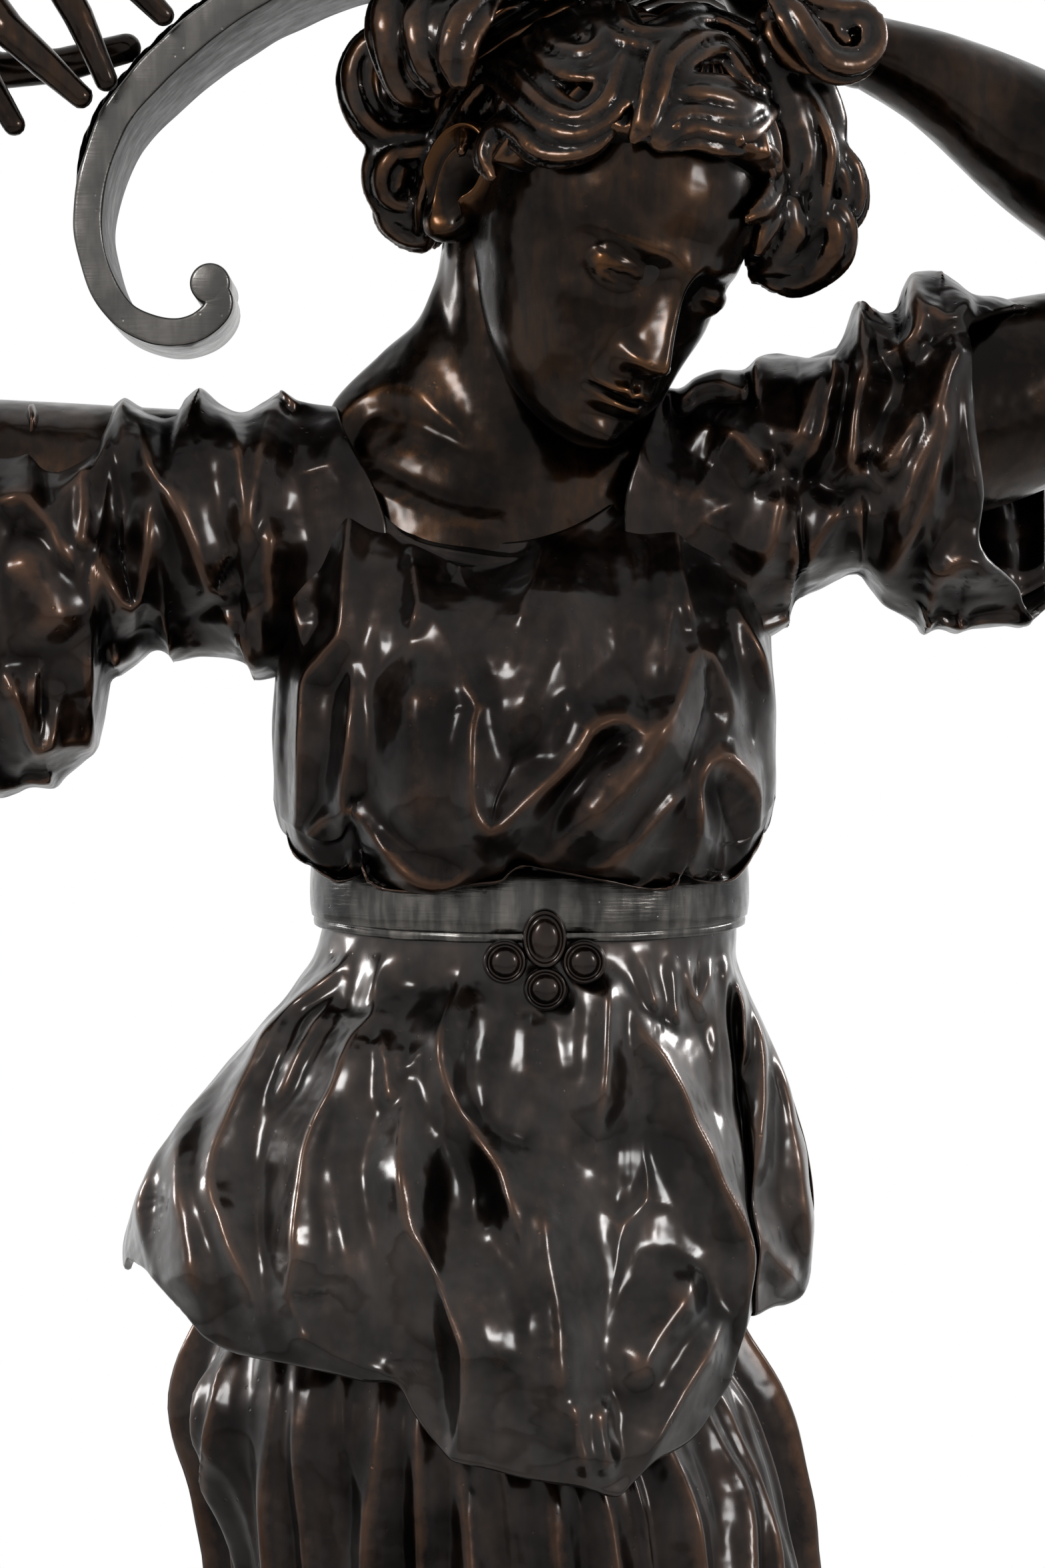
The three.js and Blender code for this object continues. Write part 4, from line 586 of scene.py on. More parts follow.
def build_peplum(sizes):
    """Overfold: rings that flare from the waist to the hem by sin(t pi / 2) ^ 1.35, plus the folds.

    The hem height follows the hem line where it faces forwards, and the hem rows elsewhere.
    """
    turn = front_turns(570, 0.42)
    t = np.concatenate([np.linspace(0, 0.9, 120), np.linspace(0.9, 1, 26)[1:]])[:, None]
    sine, cosine = np.sin(turn), np.cos(turn)
    hem = rows_at(HEM_ROWS, np.degrees(turn[0]))
    radius, height = hem[:, 1][None], hem[:, 2][None]
    hem_y = -radius * 0.9 * cosine
    hem_x = (HIP_X + radius * sine) * EYE_DISTANCE / (EYE_DISTANCE + hem_y)
    drawn = unseen_height(edge_at(HEM_LINE, hem_x), hem_y)
    facing = smooth((cosine - 0.05) / 0.2)
    height = height * (1 - facing) + drawn * facing
    seam = WAIST_SEAM - WAIST_DIP * cosine
    ease = np.sin(np.pi / 2 * np.maximum(0, (t - 0.02) / 0.98)) ** 1.35
    cx, half_width, half_depth = WAIST
    a = half_width + (radius - half_width) * ease
    b = half_depth + (radius * 0.9 - half_depth) * ease
    base = rings(cx + (HIP_X - cx) * ease, 0, a, b, turn, seam + (height - seam) * t)
    fade = 0.12 + 0.88 * smooth((t - 0.02) / 0.12)
    return dress_piece("overfold_dress", base, PEPLUM_FOLDS, PEPLUM_BACK, sizes, 5.5, 3.5, 20, fade, 0.6, 8)


# height, middle x, middle y, half width, half depth
SKIRT_ROWS = [
    (120, 20, 6, 146, 114), (250, 20, 4, 137, 109), (400, 18, 0, 127, 102), (560, 12, 0, 122, 98),
    (720, -4, 0, 121, 97), (760, -11, 0, 122, 97), (790, -20, 0, 122, 96), (820, -24, 0, 110, 90),
    (860, -16, 0, 100, 82), (912, -8, 0, 94, 75), (972, 3, 0, 80, 63),
]
SKIRT_FOLDS = [
    fold(9, 9, [(-139, 822), (-139, 812), (-137.5, 788), (-133, 752), (-128, 700), (-125, 640),
        (-126, 560)]),
    fold(8, 8, [(-128.5, 822), (-129, 780), (-128.5, 752), (-122, 690), (-116, 600)]),
    fold(8, 9, [(-106.5, 820), (-107, 780), (-106.5, 752), (-100, 690), (-96, 600), (-98, 480)]),
    fold(7, 8, [(-99, 815), (-96, 776), (-93, 752), (-84, 680), (-70, 580)]),
    fold(9, 9, [(97, 827), (101, 814), (106, 791), (111, 771), (115, 752), (118, 700), (122, 600),
        (128, 480)]),
    fold(8, 8, [(86, 800), (94, 771), (100, 752), (104, 700), (104, 600), (108, 470)]),
    fold(8, 8, [(76, 800), (88, 767), (94, 752), (92, 690), (86, 600), (84, 480)]),
    fold(7, 7, [(-62, 812), (-62, 770), (-65, 720), (-62, 640), (-58, 520)]),
    fold(6, 6, [(-46, 800), (-44, 750), (-42, 700), (-40, 600)]),
    fold(7, 7, [(-27, 780), (-24, 745), (-21, 700), (-20, 600), (-24, 480)]),
    fold(6, 7, [(8, 770), (12, 735), (15, 690), (16, 600)]),
    fold(7, 6, [(30, 770), (38, 735), (41, 690), (42, 600), (38, 480)]),
    fold(8, 7, [(58, 785), (68, 750), (73, 700), (70, 600)]),
]
SKIRT_PLEATS = 30


def build_skirt(sizes):
    """Skirt: rings of half width and depth, with long pleats that sway, deepen and spread downwards.

    A pleat falls off as exp(-(sqrt(s^2 + e^2) - e) / reach) with the turn s from its line. Pleats are
    joined by the fourth root of the sum of their fourth powers. Under the overfold drawn folds replace them.
    """
    turn = front_turns(600, 0.25)
    height = np.concatenate([np.linspace(972, 740, 50), np.linspace(740, 122, 80)[1:]])[:, None]
    rows = rows_at(SKIRT_ROWS, height[:, 0])
    cx, cy, a, b = columns_of(rows, 1)
    base = rings(cx, cy, a, b, turn, height)
    normals = grid_normals(base)
    random = np.random.default_rng(21)
    fall = (972 - height) / 850
    total = np.zeros(base.shape[:2])
    for k in range(SKIRT_PLEATS):
        middle = TURN * (k + random.uniform(-0.32, 0.32)) / SKIRT_PLEATS
        sway = random.uniform(-0.1, 0.1)
        sway = sway * np.sin(TURN * (fall * random.uniform(0.4, 0.9) + random.uniform(0, 1)))
        gap = (turn - middle - sway + np.pi) % TURN - np.pi
        reach = random.uniform(0.055, 0.1)
        deep = random.uniform(7, 13) * smooth(fall * random.uniform(2.5, 7))
        pleat = deep * np.exp(-(np.sqrt(gap**2 + 0.00025) - 0.0158) / reach)
        total = (total**4 + pleat**4) ** 0.25
    drawn = fold_heights(base, normals, SKIRT_FOLDS, sizes.fold_spread)
    near = smooth((height - 560) / 120) * smooth(np.cos(turn) * 2 + 0.4)
    rise_of = total * (1 - 0.8 * near) + 1.15 * drawn * near
    rise_of = (rise_of - 4.5) * sizes.fold_depth * smooth(fall / 0.08) + 0.7 * unevenness(base, 40, 5)
    rise_of += 2.5 * smooth((height - 120) / -30 + 1) * unevenness(base, 60, 9)
    outer = base + normals * rise_of[..., None]
    return shell_piece("skirt_dress", outer, base, 4, 14, 7)


# Sleeves. Outlines are x and height of the upper and lower edges on the drawing plane.
RIGHT_TOP = [
    (-272, 1190), (-258, 1202), (-240, 1208), (-224, 1213), (-214, 1218), (-208, 1220), (-199, 1212),
    (-188, 1212), (-180, 1216), (-171, 1223), (-163, 1219), (-157, 1217), (-149, 1217), (-146, 1222),
    (-138, 1227), (-128, 1220), (-120, 1217), (-112, 1221), (-103, 1226), (-94, 1221), (-70, 1216),
    (-50, 1206),
]
RIGHT_BOTTOM = [
    (-272, 1058), (-250, 1050), (-224, 1047), (-216, 1049), (-211, 1051), (-200, 1051), (-194, 1057),
    (-187, 1063), (-180, 1070), (-178, 1082), (-176, 1096), (-171, 1100), (-164, 1105), (-158, 1110),
    (-154, 1109), (-151, 1105), (-137, 1107), (-120, 1105), (-116, 1098), (-100, 1100), (-50, 1108),
]
RIGHT_FOLDS = [
    fold(9, 9, [(-167.5, 1220), (-164, 1209), (-162, 1199), (-160, 1191), (-156, 1185), (-149.5, 1176),
        (-144.5, 1166), (-141, 1157), (-138, 1147), (-135, 1139), (-132, 1136), (-125, 1139),
        (-116, 1139)]),
    fold(8, 8, [(-127, 1215), (-123, 1205), (-121, 1195), (-120, 1184), (-119, 1171), (-120, 1150)]),
    fold(7, 7, [(-110, 1215), (-112, 1200), (-115, 1184), (-117, 1157), (-117, 1144)]),
    fold(8, 8, [(-111, 1176), (-108.5, 1161), (-109, 1144), (-107, 1129), (-105, 1116)]),
    fold(8, 8, [(-132, 1134), (-126, 1124), (-121, 1116), (-117, 1107), (-115, 1097)]),
    fold(6, 6, [(-121, 1139), (-115, 1132), (-112, 1119), (-110, 1101)]),
    fold(9, 9, [(-185.5, 1164), (-183, 1152), (-178, 1142), (-173, 1134), (-169, 1130), (-165, 1131),
        (-163, 1135), (-162, 1144), (-160.6, 1161), (-160, 1188)], edge=1.0),
    fold(8, 9, [(-236, 1172), (-224, 1176), (-213, 1178), (-208, 1173), (-202, 1166), (-198, 1158),
        (-193, 1149), (-188, 1138)]),
    fold(8, 8, [(-188.6, 1189), (-188, 1175), (-189, 1161)]),
    fold(6, 7, [(-188, 1189), (-194, 1184), (-200, 1173)]),
    fold(-5, 5, [(-216, 1207), (-206, 1201), (-197, 1197)], edge=2),
    fold(8, 12, [(-218, 1165), (-209, 1144), (-199, 1124), (-194, 1112)], edge=4),
    fold(9, 8, [(-224, 1111), (-219, 1097), (-214, 1086), (-210, 1075), (-207, 1070), (-203, 1072),
        (-201, 1080), (-199, 1092)], edge=1.0),
    fold(8, 8, [(-203, 1071), (-195, 1073), (-187, 1073), (-180, 1070)]),
    fold(7, 7, [(-178, 1106), (-169, 1107), (-159, 1110)]),
    fold(8, 10, [(-262, 1190), (-250, 1160), (-242, 1120), (-246, 1080)], edge=2.5),
    fold(7, 9, [(-240, 1200), (-232, 1160), (-230, 1120), (-234, 1075)], edge=2.5),
    fold(-5, 12, [(-176, 1165), (-174, 1185)], edge=6),
    fold(-5, 12, [(-150, 1130), (-143, 1122)], edge=6),
]
LEFT_TOP = [
    (30, 1214), (59, 1226), (66, 1226), (73, 1231), (82, 1234), (94, 1235), (100, 1240), (109, 1242),
    (117, 1241), (123, 1240), (131, 1241), (135, 1246), (139, 1256), (142, 1263), (145.5, 1265),
    (151, 1262), (159, 1261), (162, 1269), (166, 1276), (172, 1278), (181, 1278), (188, 1274), (195, 1269),
    (204, 1268), (211, 1266), (217, 1263), (224, 1262), (234, 1256),
]
LEFT_BOTTOM = [
    (30, 1112), (60, 1112), (90, 1112), (115, 1121), (118, 1131), (122, 1134), (129, 1137), (137, 1141),
    (144, 1143), (149, 1137), (154, 1131), (161, 1127), (168, 1123), (173, 1118), (180, 1120), (188, 1118),
    (195, 1120), (209, 1121), (218, 1121), (224, 1126), (234, 1134),
]
LEFT_FOLDS = [
    fold(7, 7, [(80, 1209), (88, 1206), (94, 1202), (100, 1195), (106, 1189), (110, 1188)]),
    fold(9, 9, [(112, 1190), (117, 1200), (122, 1212), (126, 1226), (131, 1240)]),
    fold(7, 7, [(111.6, 1188), (111.6, 1178), (110, 1171), (108, 1162), (105, 1153), (101, 1147),
        (97, 1142)]),
    fold(10, 8, [(139, 1254), (136, 1241), (133.6, 1229), (131, 1219), (128, 1204), (122, 1192),
        (119, 1184)], edge=1.0),
    fold(10, 8, [(150, 1246), (147, 1235), (144, 1223), (142, 1212), (141, 1202), (141, 1192), (148, 1187),
        (153, 1184)], edge=1.0),
    fold(7, 6, [(150, 1241), (157, 1240), (165, 1244), (169, 1250), (170, 1256), (168, 1264),
        (166, 1274)]),
    fold(7, 6, [(168, 1264), (175, 1258), (182, 1254), (187, 1256), (191, 1263), (195, 1267)]),
    fold(9, 8, [(181, 1253), (185, 1247), (186, 1241), (182, 1232), (179, 1221), (174, 1209),
        (172, 1203)]),
    fold(8, 7, [(174, 1219), (167, 1209), (160, 1198), (155, 1190), (153, 1184)]),
    fold(8, 7, [(180, 1234), (179, 1219), (176.5, 1207), (169, 1191), (165, 1178), (161, 1166),
        (157, 1154)]),
    fold(8, 7, [(185, 1235), (182, 1214), (176.5, 1190), (170.5, 1171), (162, 1154), (155, 1140)]),
    fold(6, 5, [(189, 1239), (189, 1226), (189.6, 1212), (191, 1197), (193, 1187), (194, 1178),
        (192, 1164)], edge=2),
    fold(8, 7, [(178, 1135), (181, 1145), (187, 1150), (193, 1150), (198, 1144), (198, 1135)], edge=2.5),
    fold(8, 8, [(141, 1181), (134, 1171), (126, 1159), (119, 1146), (117, 1141)]),
    fold(8, 8, [(145, 1184), (144, 1166), (147, 1147), (149, 1138)]),
    fold(-5, 7, [(126, 1188), (133, 1200), (137, 1215)], edge=3),
    fold(-4, 8, [(158, 1215), (163, 1232)], edge=4),
]
# height, and where the left sleeve's mouth crosses it
SLEEVE_EDGE = [
    (1118, 222), (1127, 217), (1132, 213), (1138, 211), (1145, 205), (1151, 198), (1157, 193), (1164, 192),
    (1169, 193), (1178, 194), (1187, 193), (1197, 191), (1212, 189.6), (1226, 189), (1239, 189),
    (1252, 200), (1264, 220),
]


def sleeve_base(upper, lower, x, turn, middle_y, half_y):
    """Rings across x: height and half height from the two edges, round like an ellipse with flat flanks."""
    top, bottom = (edge_at(table, x) for table in (upper, lower))
    cosine, sine = np.cos(turn), np.sin(turn)
    full = np.abs(cosine) ** 0.85 * np.sign(cosine)
    return np.stack([x, middle_y - half_y * sine, (top + bottom) / 2 + (top - bottom) / 2 * full], axis=-1)


def build_right_sleeve(sizes):
    """Right sleeve: rings across x between its two drawn edges, raised by the folds."""
    turn = even_turns(360)
    run = np.linspace(0, 1, 190)[:, None]
    start = -58 - 22 * smooth(np.cos(turn))
    x = start + run * (-266 - start)
    depth = np.interp(-x, [50, 84, 118, 200, 226, 266], [44, 50, 55, 59, 61, 60])
    base = sleeve_base(RIGHT_TOP, RIGHT_BOTTOM, x, turn, 2, depth)
    behind = hanging_folds(31, ((-235, -110, 1205), (-215, -118, 1075)), 6, 8, 10)
    return dress_piece("right_sleeve_dress", base, RIGHT_FOLDS, behind, sizes, 4, 3, 60, seed=14)


def build_left_sleeve(sizes):
    """Left sleeve: as the right one, but its mouth is cut along the drawn edge where it faces forwards."""
    turn = even_turns(340)
    run = np.linspace(0, 1, 150)[:, None]
    facing = np.maximum(0, np.sin(turn))
    height = 1192 + 72 * np.cos(turn)
    edge = edge_at(SLEEVE_EDGE, height)
    front_share = smooth(facing / 0.35)
    end = 230 * (1 - front_share) + edge * front_share
    start = 44 + 15 * smooth(np.cos(turn))
    x = start + run * (end - start)
    middle_y = np.interp(x, [44, 92, 145, 192, 234], [2, 4, 10, 18, 26])
    depth = np.interp(x, [44, 66, 118, 172, 234], [44, 50, 54, 57, 52])
    base = sleeve_base(LEFT_TOP, LEFT_BOTTOM, x, turn, middle_y, depth)
    behind = hanging_folds(32, ((100, 205, 1255), (115, 215, 1135)), 5, 8, 10)
    return dress_piece("left_sleeve_dress", base, LEFT_FOLDS, behind, sizes, 3.5, 3, 100, seed=15)


# How far the belt's outline stands off the waist, and its height over the belt's foot
BELT_SECTION = [
    (0.8, 0), (2.4, 0.1), (3.3, 0.7), (3.5, 2.2), (3.4, 3.2), (3, 3.6), (3.4, 4), (4.3, 4.8), (4.9, 9),
    (5.1, 14), (5, 20), (4.6, 26), (3.8, 29), (2.6, 30), (0.8, 30), (0.6, 14),
]


def build_belt():
    """Belt: a band of rounded section round the waist ellipse, with a thin line above its lower edge."""
    turn = front_turns(420, 0.3)
    out, rise = columns_of(BELT_SECTION)
    cx, half_width, half_depth = WAIST
    wave = 0.25 * np.sin(5 * turn + 1) + 0.12 * np.sin(11 * turn)
    out = out + wave * 0.4
    height = WAIST_SEAM - 3 + rise - WAIST_DIP * np.cos(turn) + wave
    return ring_mesh("belt_band", rings(cx, 0, half_width + out, half_depth + out, turn, height))


# Bosses: x, height on the drawing plane, half width, half height; and their share of radius and of height
ROSETTE = [(9.5, 988.6, 9.2, 12.4), (-7.6, 978.6, 9, 9), (26.4, 978.6, 9, 9), (9.8, 967, 9, 8.8)]
BOSS_PROFILE = [
    (0.02, 0), (0.6, 0), (0.99, 0), (1, 0.5), (0.97, 0.78), (0.9, 0.88), (0.82, 0.82), (0.76, 0.7),
    (0.7, 0.72), (0.5, 0.92), (0.25, 1.02), (0.03, 1.05),
]


def build_rosette():
    """Rosette: one oval boss over three round ones, each a profile of radius and height with a raised rim."""
    turn = even_turns(72)
    radius, out = columns_of(smooth_line(BOSS_PROFILE, 0.06))
    grids = []
    for cx, cz, a, b in ROSETTE:
        x = cx * 0.966 + a * radius * np.sin(turn)
        z = unseen_height(cz, -80) + b * radius * np.cos(turn)
        grids.append(np.stack([x, -74 - 8.5 * out + 0 * x, z], axis=-1))
    return joined_piece("belt_rosette_bosses", grids, [np.zeros(grids[0].shape[:2])] * len(grids))


# Head. It looks along its own -y; place and turn of the head in the figure.
HEAD_PLACE = (34, -20, 1292)
HEAD_TURN = (31, 27, 14)
HEAD_HALF = (56, 69, 82)
# height, share of width, share of depth, middle depth
HEAD_FORM = [
    (-82, 0.95, 0.85, -44), (-75, 1.02, 0.86, -38), (-65, 0.99, 0.84, -29), (-52, 0.95, 0.87, -20),
    (-37, 0.92, 0.91, -11), (-20, 0.945, 0.94, -3), (-5, 0.962, 0.96, 0), (7, 0.986, 1.0, 1),
    (20, 1.03, 1.03, 2), (40, 1.08, 1.08, 2.5), (60, 1.12, 1.12, 4), (75, 1.06, 1.04, 4), (82, 1, 1, 3),
]


def head_matrix():
    """Turn of the head: about z, then x, then y, as three matrices multiplied."""
    z, x, y = np.radians(HEAD_TURN)
    about_z = np.array([(math.cos(z), -math.sin(z), 0), (math.sin(z), math.cos(z), 0), (0, 0, 1)])
    about_x = np.array([(1, 0, 0), (0, math.cos(x), -math.sin(x)), (0, math.sin(x), math.cos(x))])
    about_y = np.array([(math.cos(y), 0, math.sin(y)), (0, 1, 0), (-math.sin(y), 0, math.cos(y))])
    return about_z @ about_x @ about_y


HEAD_MATRIX = head_matrix()


def from_head(points):
    """Points of the head's own frame in the figure's frame."""
    return points @ HEAD_MATRIX.T + np.array(HEAD_PLACE)


def bump(a, b, half_a, half_b):
    """Round bump of height one: exp(-(a / half_a)^2 - (b / half_b)^2)."""
    return np.exp(-((a / half_a) ** 2) - (b / half_b) ** 2)


EYE_LINE = -3
EYE_SIDE = 21.5
NOSE_BASE = -36
MOUTH_LINE = -52
# height, how far the nose stands out, its half width
NOSE = [
    (-46, 0, 9), (-42, 0.8, 9), (-39.5, 4.6, 8.2), (-37, 10.8, 7.6), (-34.5, 15.6, 7.3),
    (-31.5, 17.8, 7.2), (-27.5, 17, 6.8), (-15, 11.2, 5.6), (-4, 6.6, 5), (5, 4.2, 5.6), (12, 2.2, 8),
    (20, 0, 11), (30, 0, 12),
]


def face_relief(x, z):
    """How far the features stand in front of the plain head, by their place across and up the face.

    Proportions are the drawing school's: eyes half way up the head, three equal thirds from the hairline
    over the brow and the base of the nose to the chin, and the mouth a third down from nose to chin.
    """
    side = np.abs(x)
    nose = rows_at(NOSE, z)
    total = np.maximum(nose[..., 1], 0) * np.exp(-((side / nose[..., 2]) ** 2.3))
    total += 6.5 * bump(side - 9.2, z - NOSE_BASE - 2.5, 4.2, 4.6)
    total -= 2.2 * bump(side - 5, z - NOSE_BASE + 3, 2.2, 1.6)
    total += 2.4 * bump(side - 20, z - 10.5 + 0.004 * (side - 22) ** 2, 17, 4.2)
    total -= 3.6 * bump(side - EYE_SIDE, z - EYE_LINE, 15, 10)
    total -= 2.2 * bump(side - 11, z - 0.5, 5.5, 8)
    total += 2.2 * bump(side - 33, z + 19, 13, 11)
    total += 3.4 * bump(x, z - MOUTH_LINE - 1, 19, 14)
    total -= 1.6 * bump(side - 17, z + 40, 3.2, 9)
    total -= 0.8 * bump(x, z - NOSE_BASE + 8, 2.3, 5)
    lips = smooth((17 - side) / 9)
    bow = 0.9 * np.exp(-((side - 4) / 3.2) ** 2) - 0.5 * np.exp(-((x / 1.8) ** 2))
    total += 3.6 * lips * np.exp(-(((z - MOUTH_LINE - 3.1 - bow) / 2.5) ** 2))
    total += 4.2 * smooth((15 - side) / 9) * np.exp(-(((z - MOUTH_LINE + 3.6) / 3.0) ** 2))
    line = MOUTH_LINE - 0.5 * np.cos(side / 3.2) * np.exp(-side / 9)
    total -= 3.0 * smooth((18 - side) / 4) * np.exp(-(((z - line) / 0.95) ** 2))
    total -= 1.2 * bump(side - 17.5, z - MOUTH_LINE, 2.2, 2.4)
    total -= 2.2 * bump(x, z - MOUTH_LINE + 10, 13, 3.6)
    total += 4.6 * bump(x, z + 73, 13, 8.5)
    return total


def eye_front(x, z):
    """Front of the eye under its lids: a ball, with lids a little thicker above and below the opening."""
    across = np.abs(x) - EYE_SIDE
    open_share = np.clip(1 - (across / 10.4) ** 2, 0, 1)
    up = z - EYE_LINE
    upper, lower = -2.4 + 1.9 * open_share, -2.6 - 2.3 * open_share
    lid = 1.1 * smooth((up - upper) / 0.8 + 0.5) + 0.9 * smooth((lower - up) / 0.8 + 0.5)
    lid -= 0.7 * np.exp(-(((up - 4.4 - 1.2 * open_share) / 0.9) ** 2))
    radius = 9.7 + lid
    return 50.6 + np.sqrt(np.maximum(radius**2 - (0.72 * across) ** 2 - (0.95 * up + 0.3) ** 2, 0))


def head_grid(turn, slant):
    """Plain head: rings of the egg, with its shares of width, depth and middle by height."""
    a, b, c = HEAD_HALF
    z = c * np.cos(slant)
    form = rows_at(HEAD_FORM, z[..., 0])
    wide, deep, middle = (form[..., k][..., None] for k in (1, 2, 3))
    x = a * wide * np.sin(slant) * np.sin(turn)
    y = middle - b * deep * np.sin(slant) * np.cos(turn)
    return np.stack([x, y, z + 0 * x], axis=-1)


def build_head():
    """Head: the plain head with the face's relief pushed forwards, and the eyes joined by a soft maximum."""
    turn = front_turns(330, 0.66)
    slant = np.linspace(0.03, np.pi - 0.03, 215)[:, None]
    plain = head_grid(turn, slant)
    x, z = plain[..., 0], plain[..., 2]
    front = smooth((-plain[..., 1] - 8) / 26)
    forward = -plain[..., 1] + face_relief(x, z) * front
    eye = eye_front(x, z)
    near = smooth((bump(np.abs(x) - EYE_SIDE, z - EYE_LINE, 14, 10.5) - 0.12) / 0.3)
    near = near * smooth((front - 0.7) / 0.2)
    gap = np.clip((eye - forward) / 4, -1, 1)
    joined = np.where(gap > 0, eye, forward) + (1 - np.abs(gap)) ** 2
    forward = forward + near * (joined - forward)
    grid = from_head(np.stack([x, -forward, z], axis=-1))
    return filled_piece("head_cast", grid, 3)


def build_ears():
    """Ears: a disc in radius and turn with a raised rim, an inner ridge, a hollow and a flat back."""
    turn = even_turns(90)
    radius = np.concatenate([np.linspace(0.04, 1, 30), [1.04, 1.0]])[:, None]
    up = 27 * radius * np.sin(turn)
    back = 14.5 * radius * np.cos(turn) * (1 + 0.26 * np.sin(turn))
    out = 7.5 * np.exp(-(((radius - 0.88) / 0.1) ** 2)) * smooth((np.sin(turn) + 0.7) / 0.6)
    out = out + 3.6 * np.exp(-(((radius - 0.54) / 0.13) ** 2)) * smooth(np.cos(turn) + 0.5)
    out = out - 6.5 * bump(back + 4, up - 1, 5.5, 9) + 4.5 * bump(back + 2, up + 21, 8, 7)
    out = out + 3.2 * bump(back + 12, up + 4, 3, 4.5)
    # Stored relief from the ear's own height: its hollows get the finish's painted shade, its rims the worn
    # colour
    relief = np.clip((out - 1.2) / 5, -0.8, 0.75)
    out = out + 0.42 * back + 4
    out[-2:] = [[1.5], [-4]] + 0.42 * back[-2:]
    place = [27 + 0.95 * back - 0.1 * up, -8 + up + 0.12 * back]
    grids = [from_head(np.stack([side * (53 + out), *place], axis=-1)) for side in (-1, 1)]
    # The middle of each ear is stored as deep relief, for painted shade in its hollow
    return joined_piece("ears", grids, [relief, relief], (-0.8, 0))


# Neck and chest. height at the side, front drop, back rise, middle x, middle y, half width, half depth
NECK_ROWS = [
    (0, 1222, 86, -32, -10, 6, 73, 57), (1, 1234, 88, -32, -10, 6, 73, 56),
    (2, 1246, 84, -30, -9.5, 7, 70, 53), (3, 1256, 60, -16, -7, 8, 53, 42),
    (4, 1262, 29, -6, -3, 9, 42, 39.5), (5, 1274, 5, 0, 0, 9, 38, 40), (6, 1306, 0, 0, 5, 8, 37, 39),
    (7, 1312, 0, 0, 6, 8, 30, 32),
]
NECK_FOLDS = [
    fold(5, 8, [(-30, 1300), (-20, 1262), (-8, 1226), (4, 1196), (8, 1186)], edge=5),
    fold(3.5, 8, [(54, 1262), (44, 1232), (30, 1204), (20, 1188)], edge=5),
    fold(3, 5, [(-62, 1204), (-44, 1196), (-26, 1188), (-8, 1184)], edge=5),
    fold(3, 5, [(56, 1204), (46, 1196), (34, 1188), (18, 1184)], edge=5),
]


def build_neck(sizes):
    """Neck and chest: rings with a front drop, raised by the soft lines of neck cords and collarbones."""
    turn = front_turns(260, 0.3)
    step = np.linspace(0, 7, 120)[:, None]
    rows = rows_at(NECK_ROWS, step[:, 0])
    side, drop, rise, cx, cy, a, b = columns_of(rows, 1)
    front, back = front_and_back(turn)
    base = rings(cx, cy, a, b, turn, side - drop * front + rise * back)
    normals = grid_normals(base)
    outer = base + normals * (fold_heights(base, normals, NECK_FOLDS, sizes.fold_spread) - 1)[..., None]
    return filled_piece("neck_and_chest_cast", outer)


# Hair. Locks over the brow and crown: x, height on the drawing plane, and half width of each lock.
HAIR_HALF = (67, 80, 93)
FRONT_LOCKS = [
    (7.5, 2, [(45, 1369), (41, 1357), (36, 1345), (25, 1338), (13, 1342), (4, 1351), (-4, 1360),
        (-15, 1362), (-21, 1354), (-25, 1340), (-26, 1326)]),
    (6, 3, [(44, 1376), (36, 1363), (27, 1359), (16, 1362), (7, 1369), (1, 1374), (-9, 1371),
        (-16, 1362)]),
    (6.5, 0, [(39, 1342), (28, 1331), (19, 1328), (10, 1329), (1, 1335), (-7, 1337), (-13, 1332),
        (-16, 1323), (-13, 1315)]),
    (5.5, 1, [(57, 1362), (59, 1351), (54, 1340), (47, 1331)]),
    (7, 3, [(53, 1338), (57, 1352), (61, 1363), (72, 1371), (83, 1371), (90, 1365), (97, 1355),
        (102, 1353)]),
    (6.5, 2, [(67, 1351), (76, 1352), (87, 1350), (97, 1346), (104, 1340)]),
    (6.5, 0, [(58, 1330), (64, 1337), (72, 1340), (83, 1338), (93, 1338), (103, 1345), (107, 1355)]),
    (6.5, 2, [(104, 1359), (111, 1351), (118, 1340), (121, 1326), (118, 1314), (109, 1304), (104, 1292),
        (101, 1283)]),
    (6, 1, [(111, 1362), (121, 1351), (128, 1337), (131, 1325), (129, 1311), (126, 1298), (118, 1290),
        (107, 1283)]),
    (7, 4, [(59, 1376), (72, 1382), (84, 1380), (95, 1376), (104, 1368), (109, 1355)]),
    (6.5, 5, [(39, 1388), (44, 1377), (52, 1374), (63, 1377), (72, 1385)]),
    (7, 3, [(-16, 1371), (-9, 1379), (1, 1382), (10, 1379), (16, 1369), (27, 1366), (33, 1371), (28, 1382),
        (21, 1393)]),
    (6, 5, [(11, 1396), (13, 1382), (19, 1374), (28, 1368)]),
    (6, 5, [(25, 1396), (28, 1383), (36, 1377), (44, 1377)]),
    (5, -1, [(92, 1335), (104, 1326), (108, 1314), (104, 1303), (96, 1297)]),
    (6, 0, [(-30, 1334), (-27, 1346), (-18, 1356), (-8, 1362), (2, 1362)]),
    (6.5, 1, [(-34, 1340), (-33, 1352), (-24, 1365), (-12, 1371)]),
    (5, -1, [(60, 1330), (72, 1333), (84, 1331), (94, 1331), (102, 1336)]),
]
